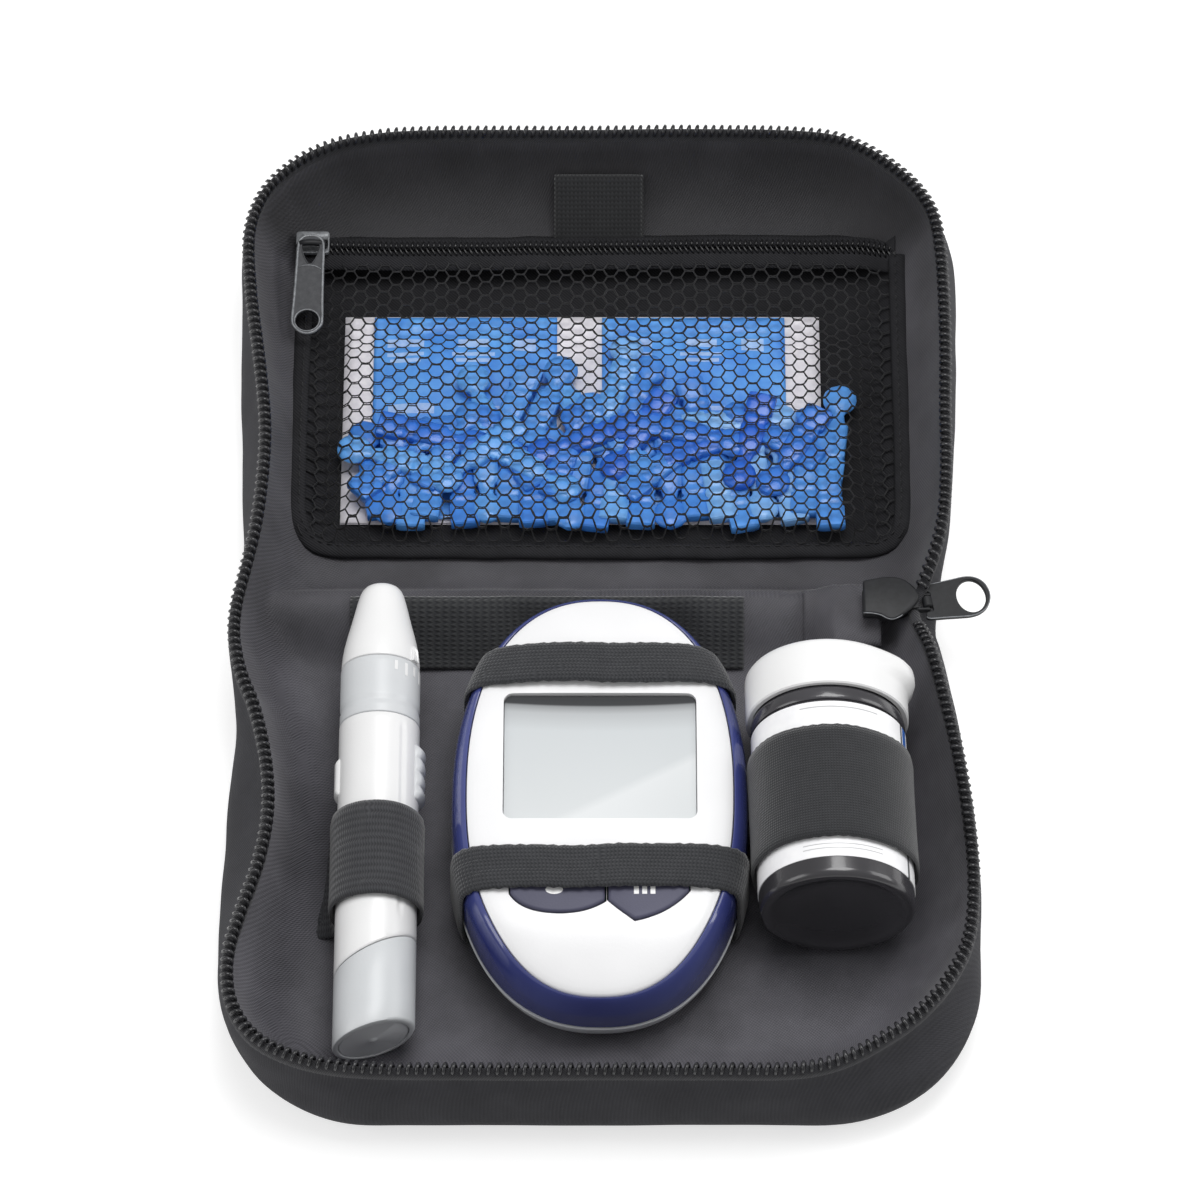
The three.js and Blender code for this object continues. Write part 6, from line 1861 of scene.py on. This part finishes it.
# %% Sachets
sachet_film, tree, shader = new_material("printed_foil_film", "#3d82da", 0.3, Coat_Weight=0.3, Coat_Roughness=0.2)
u_cm, v_cm, _ = split(tree, add_node(tree, "ShaderNodeUVMap", uv_map="strap").outputs[0])
bars = None
for middle_u, middle_v, half_u, half_v in (
    (0.62, 0.62, 0.36, 0.10), (0.62, 0.90, 0.36, 0.045), (0.62, 1.05, 0.30, 0.045), (1.95, 0.62, 0.30, 0.10),
    (1.95, 0.90, 0.42, 0.045), (1.95, 1.05, 0.34, 0.045), (2.95, 0.66, 0.22, 0.15), (0.75, 2.2, 0.45, 0.12),
    (2.2, 2.2, 0.5, 0.05), (2.2, 2.4, 0.42, 0.05), (1.7, 3.4, 0.8, 0.14), (1.7, 3.75, 0.6, 0.05),
    (1.7, 3.92, 0.7, 0.05), (0.6, 4.4, 0.3, 0.1), (2.7, 4.4, 0.5, 0.06),
):
    bar = maths(
        tree, "MULTIPLY", maths(tree, "COMPARE", u_cm, middle_u, half_u), maths(tree, "COMPARE", v_cm, middle_v, half_v)
    )
    bars = bar if bars is None else maths(tree, "MAXIMUM", bars, bar)
speck = maths(tree, "MULTIPLY", bars, maths(tree, "MULTIPLY_ADD", grain(tree, 0.9, 1), 0.5, 0.25))
blue = ramp(tree, grain(tree, 7, 3), [(0.32, "#3f88e2"), (0.68, "#62a9f2")])
tree.links.new(mix_in(tree, speck, blue, "#cfe0f8"), shader.inputs["Base Color"])
relief(tree, shader, grain(tree, 1.6, 3), 0.12)

SACHET_WIDTH = 35.8
SACHET_FRONT, SACHET_BACK = 24.5, 72.1


def sachet(name, left, seed):
    """A sachet from its left edge: a pillow inside crimped edges."""
    rows = []
    for x in spread(left, SACHET_WIDTH, 48):
        row = []
        for y in spread(SACHET_BACK, -47.6, 56):
            sx, sy = min(x - left, left + SACHET_WIDTH - x), min(y - SACHET_FRONT, SACHET_BACK - y)
            pillow = 0.55 * smooth_step(sx, 2.5, 9) * smooth_step(sy, 3.5, 11)
            crimp = 0.1 * math.sin(y * 2 * math.pi / 0.9) * (1 - smooth_step(sy, 2.6, 3.4))
            crumple = 0.16 * noise.noise(Vector((x / 5, y / 5, seed)))
            row.append((x, y, 5.3 + pillow + crimp + crumple))
        rows.append(row)
    return band(name, rows, 0.12, sachet_film)


for k, (name, left) in enumerate((("sachet_left", -44.2), ("sachet_right", 0.4))):
    piece = sachet("swab_" + name, left, 20 + k)
    dress(piece, "lid", "sachet_foil", name)

# %% [markdown]
# A lancet is moulded in clear blue plastic: a ribbed body with a square foot, a thin neck and a round
# twist-off head. Where several lie on each other the blue goes deeper, so the plastic passes part of the light,
# and each piece has its own tone. The heap is placed by rule, a lower layer and a looser upper one, with a
# fixed seed, and no lancet reaches above the net.

# %% Lancets
lancet_blue, tree, shader = new_material(
    "clear_blue_polycarbonate", "#3f86e2", 0.3, Transmission_Weight=0.12, IOR=1.5
)
tone = add_node(tree, "ShaderNodeAttribute", attribute_name="tone").outputs["Fac"]
blues = ramp(
    tree, weigh(tree, tone, 0.75, grain(tree, 5, 2), 0.25),
    [(0.12, "#1c5ccf"), (0.42, "#3f86e2"), (0.75, "#62a8f0"), (1.0, "#9ac8f8")],
)
tree.links.new(blues, shader.inputs["Base Color"])
relief(tree, shader, grain(tree, 1.4, 2), 0.05)


def lancet_form():
    """Points and faces of one lancet in millimetres, lying along Y with its middle near zero."""
    stations = [
        # along, half width, half height, squareness
        (0.0, 2.45, 0.9, 6), (0.3, 2.8, 1.2, 6), (4.6, 2.8, 1.2, 6), (4.9, 2.3, 1.1, 5), (5.4, 2.3, 1.1, 5),
        (5.7, 2.6, 1.2, 5), (6.6, 2.6, 1.2, 5), (6.9, 2.3, 1.1, 5), (7.6, 2.3, 1.1, 5), (7.9, 2.55, 1.15, 5),
        (13.2, 2.45, 1.1, 4), (13.9, 1.7, 0.9, 3), (15.6, 1.3, 0.75, 2), (16.4, 1.6, 0.85, 2), (17.0, 2.5, 0.95, 2),
        (18.0, 3.05, 1.0, 2), (19.4, 3.3, 1.0, 2), (20.8, 3.0, 1.0, 2), (21.8, 2.2, 0.9, 2), (22.4, 0.9, 0.6, 2),
    ]
    rings = []
    for along, wide, high, square in stations:
        ring = []
        for k in range(14):
            turn = 2 * math.pi * k / 14
            c, s = math.cos(turn), math.sin(turn)
            across = wide * math.copysign(abs(c) ** (2 / square), c)
            ring.append((across, along - 11, high * math.copysign(abs(s) ** (2 / square), s)))
        rings.append(ring)
    return loft(rings, capped=True)


HEAP_SEED = 23
random.seed(HEAP_SEED)
form_points, form_faces = lancet_form()
heap_points, heap_faces, heap_tones = [], [], []


def lay_lancet(x, y, z, heading, tone_value):
    """Adds a lancet to the heap, at a place and a heading."""
    start = len(heap_points)
    c, s = math.cos(heading), math.sin(heading)
    for px, py, pz in form_points:
        heap_points.append((x + px * c - py * s, y + px * s + py * c, z + pz))
    heap_faces.extend(tuple(start + i for i in face) for face in form_faces)
    heap_tones.extend([tone_value] * len(form_points))


LOWER, MIDDLE, BACK = 20, 16, 11
for k in range(LOWER):
    x = -44.5 + 84.0 * k / (LOWER - 1) + random.uniform(-0.7, 0.7)
    heading = math.radians(random.uniform(-12, 12)) + (math.pi if k % 4 == 1 else 0)
    lay_lancet(x, 32.4 + random.uniform(-0.9, 2.6), 7.1 + 0.5 * (k % 2), heading, random.uniform(0.35, 1.0))
for k in range(MIDDLE):
    x = -38.0 + 76.0 * k / (MIDDLE - 1) + random.uniform(-1.4, 1.4)
    heading = math.radians(random.choice([-70, -48, -30, -15, 12, 33, 55, 76])) + (math.pi if k % 2 else 0)
    lay_lancet(x, 37.5 + random.uniform(-4.0, 4.5), 8.5 + 0.5 * (k % 2), heading, random.uniform(0.05, 0.8))
for k in range(BACK):
    x = -30.0 + 62.0 * k / (BACK - 1) + random.uniform(-1.5, 1.5)
    heading = math.radians(random.choice([-84, -62, -20, 14, 48, 80])) + (math.pi if k % 3 == 2 else 0)
    y = 49.0 - 3.5 * abs(k - 5) / 5 + random.uniform(-2.0, 2.0)
    lay_lancet(x, y, 7.6 + 0.6 * (k % 2), heading, random.uniform(0.4, 1.0))
SINGLE = [
    # x, y, z, heading in degrees, tone
    (45.4, 42.6, 7.6, -8, 0.7), (43.9, 31.6, 8.0, 2, 0.6), (-39.6, 36.2, 8.6, 73, 0.85),
    (3.5, 55.0, 7.4, -12, 0.95),
]
for x, y, z, heading, tone_value in SINGLE:
    lay_lancet(x, y, z, math.radians(heading), tone_value)
heap_points = [(x, y, min(z, net_height(x, y) - 0.25)) for x, y, z in heap_points]
lancets = outward(new_piece("lancet_heap", heap_points, heap_faces, lancet_blue))
tones = lancets.data.attributes.new("tone", "FLOAT", "POINT")
for item, value in zip(tones.data, heap_tones):
    item.value = value
shade(lancets, 42)
loose = [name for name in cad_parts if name.startswith("lancet_") and name != "lancet_carrier"]
dress(lancets, "lid", "lancet_plastic", *loose)
print("lancets", LOWER + MIDDLE + BACK + len(SINGLE))

# %% [markdown]
# ## Sliders and their pulls
# A zip slider is die-cast in two plates that a post holds apart, with side lips that lead the chain in. The big
# one's upper plate is a smooth, slightly wavy shield. Its pull is a flat die-cast tab with a large eye at the
# end, and it turns on a bar between two lugs.

# %% Helpers for pulls
def on_hinge(pieces, pivot, heading, tilt):
    """Brings pieces drawn along X from a hinge to their place, turned by a heading and tipped down by a tilt."""
    turn = Matrix.Rotation(math.radians(heading), 4, "Z") @ Matrix.Rotation(math.radians(tilt), 4, "Y")
    place = Matrix.Translation(metres(pivot)) @ turn @ Matrix.Translation(-metres((0, 0, 0)))
    for piece in pieces:
        piece.data.transform(place)


def bead(name, line, height, radius, finish, closed=True):
    """A round bead along a line at a height, such as the rubbed rim of a casting."""
    line = [Vector((x, y, height)) for x, y in line]
    rings = []
    for point, out in zip(line, outward_normals(line, closed)):
        ring = []
        for k in range(8):
            turn = 2 * math.pi * k / 8
            away = Vector((out.x, out.y, 0)) * math.cos(turn) * radius
            ring.append(point + away + Vector((0, 0, math.sin(turn) * radius)))
        rings.append(ring)
    if closed:
        rings.append(rings[0])
    points, faces = loft(rings, capped=not closed)
    piece = new_piece(name, points, faces, finish)
    weld(piece.data)
    return outward(piece)


def flat_path(corners, spacing, closed=False):
    """X and Y of evenly spaced points on a smooth curve through the corners."""
    return [(p.x, p.y) for p in smooth_path(corners, spacing, closed)]


def ellipse(x, y, half_x, half_y, steps=40):
    """Points round an ellipse."""
    return [
        (x + half_x * math.cos(2 * math.pi * k / steps), y + half_y * math.sin(2 * math.pi * k / steps))
        for k in range(steps)
    ]


def eye(name, radius, bore, half, finish):
    """A ring round a bar that runs along Y."""
    rings = []
    for k in range(25):
        turn = 2 * math.pi * k / 24
        c, s = math.cos(turn), math.sin(turn)
        rings.append([
            (radius * c, -half + 0.15, radius * s), ((radius - 0.15) * c, -half, (radius - 0.15) * s),
            (bore * c, -half, bore * s), (bore * c, half, bore * s),
            ((radius - 0.15) * c, half, (radius - 0.15) * s), (radius * c, half - 0.15, radius * s),
        ])
    points, faces = loft(rings)
    piece = new_piece(name, points, faces, finish)
    weld(piece.data)
    return shade(outward(piece), 40)


def even_shading(piece):
    """Sharp edges over 45 degrees, and normals that keep broad flat faces flat beside rounded edges."""
    shade(piece, 45)
    modifier = piece.modifiers.new("normals", "WEIGHTED_NORMAL")
    modifier.keep_sharp = True
    return finished(piece)


# %% Main slider
SLIDER_Z, SLIDER_Y, BAR_X = 15.9, -1.5, 61.7
shield_corners = [
    (49.5, -4.9), (51.2, -5.0), (52.8, -5.4), (53.9, -6.1), (55.0, -6.35), (56.4, -5.7),
    (58.2, -4.1), (59.6, -2.4), (60.1, -1.0), (59.7, 0.3), (58.5, 1.8), (57.2, 2.8),
    (55.6, 3.3), (53.6, 3.3), (51.5, 2.9), (49.5, 2.5),
]
shield_line = flat_path(shield_corners, 0.5)
lower_line = [(x, SLIDER_Y + (y - SLIDER_Y) * (0.62 if y < SLIDER_Y else 0.95)) for x, y in shield_line]
upper_plate = prism("main_slider_shield", shield_line, 16.85, 18.05, black_enamel, rounding=0.5)
for vertex in upper_plate.data.vertices:
    x, y = vertex.co.x * 1000 - X_OFFSET, vertex.co.y * 1000
    if vertex.co.z > 0.0175:
        vertex.co.z -= 0.009 * ((x - 54.5) ** 2 / 1.4 + (y - SLIDER_Y) ** 2) / 1000
slider_parts = [
    upper_plate,
    prism("main_slider_sole", lower_line, 13.75, 14.85, black_enamel, rounding=0.4),
    prism("main_slider_post", ellipse(56.8, SLIDER_Y, 1.5, 1.1, 20), 14.5, 17.2, black_enamel),
    # A pale bead along the shield's front edge is a painted highlight.
    bead("main_slider_rubbed_edge", shield_line[:17], 17.78, 0.11, wear_and_highlight_enamel, closed=False),
]
for hand in (-1, 1):
    wall = [(x, y) for x, y in lower_line if 51.5 < x < 57.2 and (y - SLIDER_Y) * hand > 0]
    inner = [(x, y - 0.6 * hand) for x, y in reversed(wall)]
    for low in (16.2, 14.6):
        slider_parts.append(prism("main_slider_lip", wall + inner, low, low + 1, black_enamel, rounding=0.15))
    lug = [(58.2, SLIDER_Y + 1.3 * hand), (62.3, SLIDER_Y + 1.3 * hand), (62.3, SLIDER_Y + 1.95 * hand),
           (58.2, SLIDER_Y + 1.95 * hand)]
    slider_parts.append(prism("main_slider_lug", lug, 15.25, 16.6, black_enamel, rounding=0.3))
root = [(57.5, -3.6), (59.9, -3.2), (59.9, 0.2), (57.5, 0.6)]
slider_parts.append(prism("main_slider_root", root, 14.6, 17.1, black_enamel))
bar = eye("main_slider_bar", 0.5, 0.15, 1.9, black_enamel)
on_hinge([bar], (BAR_X, SLIDER_Y, SLIDER_Z), 0, 0)
slider_parts.append(bar)
for piece in slider_parts:
    dress(piece, "main_slider", "slider_enamel")
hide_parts("main_slider")
print("main slider of", len(slider_parts), "forms")

# %% Main pull
pull_corners = [
    (0.7, -0.9), (0.7, -2.1), (-0.5, -2.2), (-0.8, -2.9), (-0.3, -3.7), (3.0, -4.0),
    (5.6, -4.25), (7.6, -4.35), (9.4, -3.95), (10.9, -2.85), (11.75, -1.1), (11.85, 0.7),
    (11.25, 2.55), (9.9, 3.85), (8.1, 4.35), (6.0, 4.2), (3.0, 3.9), (-0.3, 3.6),
    (-0.8, 2.8), (-0.5, 2.2), (0.7, 2.1), (0.7, 0.9),
]
pull_line = flat_path(pull_corners, 0.45)
pull_tab = prism("main_pull_plate", pull_line, -0.55, 0.55, black_enamel)
cut_away(pull_tab, prism("cutter", ellipse(8.35, 0, 2.75, 3.7), -3, 3))
round_edges(pull_tab, 0.22, 2)
even_shading(pull_tab)
pull_parts = [
    pull_tab, eye("main_pull_eye", 1.0, 0.58, 1.1, black_enamel),
    bead("main_pull_rubbed_edge", pull_line[8:-8], 0.4, 0.13, wear_and_highlight_enamel, closed=False),
]
on_hinge(pull_parts, (BAR_X, SLIDER_Y, SLIDER_Z), 9.5, 0)
for piece in pull_parts:
    dress(piece, "main_pull", "slider_enamel")
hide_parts("main_pull_tab")

# %% [markdown]
# The pocket's slider is the same thing at half the size. Its enamel is scuffed bright. The pull is a long tab
# with a raised rim, a drop-shaped window round the slider's bridge at one end and a round hole at the other.

# %% Pocket slider
BAR_Y, BAR_Z = 84.6, 13.2
PLATE_MIDDLE = (-56.55, 86.4)
plate_outline = rounded_rectangle(3.3, 2.65, 0.7, PLATE_MIDDLE)
sole_outline = rounded_rectangle(3.2, 2.6, 0.7, PLATE_MIDDLE)
small_plate = prism("pocket_slider_plate", plate_outline, 10.15, 11.05, wear_and_highlight_enamel, rounding=0.2)
cut_away(small_plate, prism("cutter", rounded_rectangle(0.75, 1.0, 0.4, (-54.3, 86.0)), 9, 13))
small_parts = [
    small_plate,
    prism("pocket_slider_sole", sole_outline, 8.0, 8.7, black_enamel, rounding=0.2),
    prism("pocket_slider_post", ellipse(-59.2, 86.2, 0.5, 0.4, 12), 8.5, 10.4, black_enamel),
]
bridge = bent_tube(
    "pocket_slider_bridge",
    [(-59.0, BAR_Y, 10.9), (-59.15, BAR_Y, 12.2), (-58.7, BAR_Y, 13.1), (-57.6, BAR_Y, 13.3), (-56.2, BAR_Y, 13.3),
     (-55.0, BAR_Y, 13.1), (-54.35, BAR_Y + 0.3, 12.4), (-54.2, BAR_Y + 0.7, 10.7)],
    [0.62, 0.66, 0.68, 0.62, 0.62, 0.68, 0.66, 0.6], 12, black_enamel,
)
bridge.data.transform(Matrix.Translation((X_OFFSET / 1000, 0, 0)))
bpy.context.scene.collection.objects.link(bridge)
small_parts.append(bridge)
for piece in small_parts:
    dress(piece, "pocket_slider", "slider_enamel")
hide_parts("pocket_slider")

# %% Pocket pull
tab_corners = [
    (-1.55, 0), (-1.3, -1.4), (-0.4, -2.35), (1.2, -2.65), (6, -2.75), (12, -2.9),
    (17.2, -3.1), (18.6, -2.75), (19.8, -1.6), (20.3, 0), (19.8, 1.6), (18.6, 2.75),
    (17.2, 3.1), (12, 2.9), (6, 2.75), (1.2, 2.65), (-0.4, 2.35), (-1.3, 1.4),
]
tab_line = flat_path(tab_corners, 0.5, closed=True)
tab = prism("pocket_pull_plate", tab_line, -0.4, 0.4, scuffed_enamel)
drop = [(-0.75, 0), (-0.6, -1.2), (0.3, -1.75), (1.4, -1.8), (3.2, -1.25), (4.6, -0.5), (4.9, 0)]
drop += [(x, -y) for x, y in reversed(drop[1:-1])]
drop_line = flat_path(drop, 0.35, closed=True)
hole_line = ellipse(17.4, 0, 2.3, 2.35, 32)
step_line = [(5.6, -2.2), (5.2, -1.1), (5.1, 0), (5.3, 1.1), (5.9, 2.2)]
cut_away(tab, prism("cutter", drop_line, -3, 3), prism("cutter", hole_line, -3, 3))
shade(tab, 40)
tab_parts = [
    tab,
    bead("pocket_pull_rim", [(x, y * 0.94) for x, y in tab_line], 0.32, 0.3, wear_and_highlight_enamel),
    bead("pocket_pull_hole_rim", ellipse(17.4, 0, 2.4, 2.45, 32), 0.36, 0.17, wear_and_highlight_enamel),
    bead("pocket_pull_window_rim", drop_line, 0.36, 0.16, scuffed_enamel),
    bead("pocket_pull_step", step_line, 0.4, 0.13, wear_and_highlight_enamel, closed=False),
]
on_hinge(tab_parts, (-56.75, BAR_Y, BAR_Z - 0.2), -91.5, 7)
for piece in tab_parts:
    dress(piece, "pocket_pull", "slider_enamel")
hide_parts("pocket_pull_tab")
print("pocket pull of", len(tab_parts), "forms")

# %% [markdown]
# Pieces whose CAD shape is already right keep it, and get one of the finishes above.

# %% Finishes on the CAD pieces that stay
FINISHES = (
    (outer_cloth, "base_shell lid_shell"),
    (lining_cloth, "base_lining lid_lining spine_panel"),
    (tape_cloth, "base_zip_tape lid_zip_tape spine_webbing zip_end_tape meter_strap_upper meter_strap_lower pen_loop"
                 " vial_loop lid_loop pocket_binding pocket_zip_upper pocket_zip_lower"),
    (tooth_plastic, "base_zip_teeth lid_zip_teeth"),
    (black_enamel, "main_slider main_pull_tab pocket_slider pocket_pull_tab"),
    (pale_grey, "meter_back_housing lcd_lens lcd_panel battery_door cocking_sleeve release_button depth_dial"
                " lancet_carrier"),
    (white_abs, "meter_face leaflet"),
    (board_green, "circuit_board"),
    (steel, "coin_cell drive_spring"),
    (slate_silicone, "button_left button_right"),
    (smoke_vial, "strip_port vial_body"),
    (pen_white, "pen_body pen_nose_cap"),
    (cap_white, "vial_cap"),
    (strip_white, "test_strips"),
    (net_thread, "pocket_net"),
)
cad_finishes = {name: finish for finish, names in FINISHES for name in names.split()}
for name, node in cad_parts.items():
    node.data.materials.clear()
    node.data.materials.append(cad_finishes.get(name, navy_gloss))
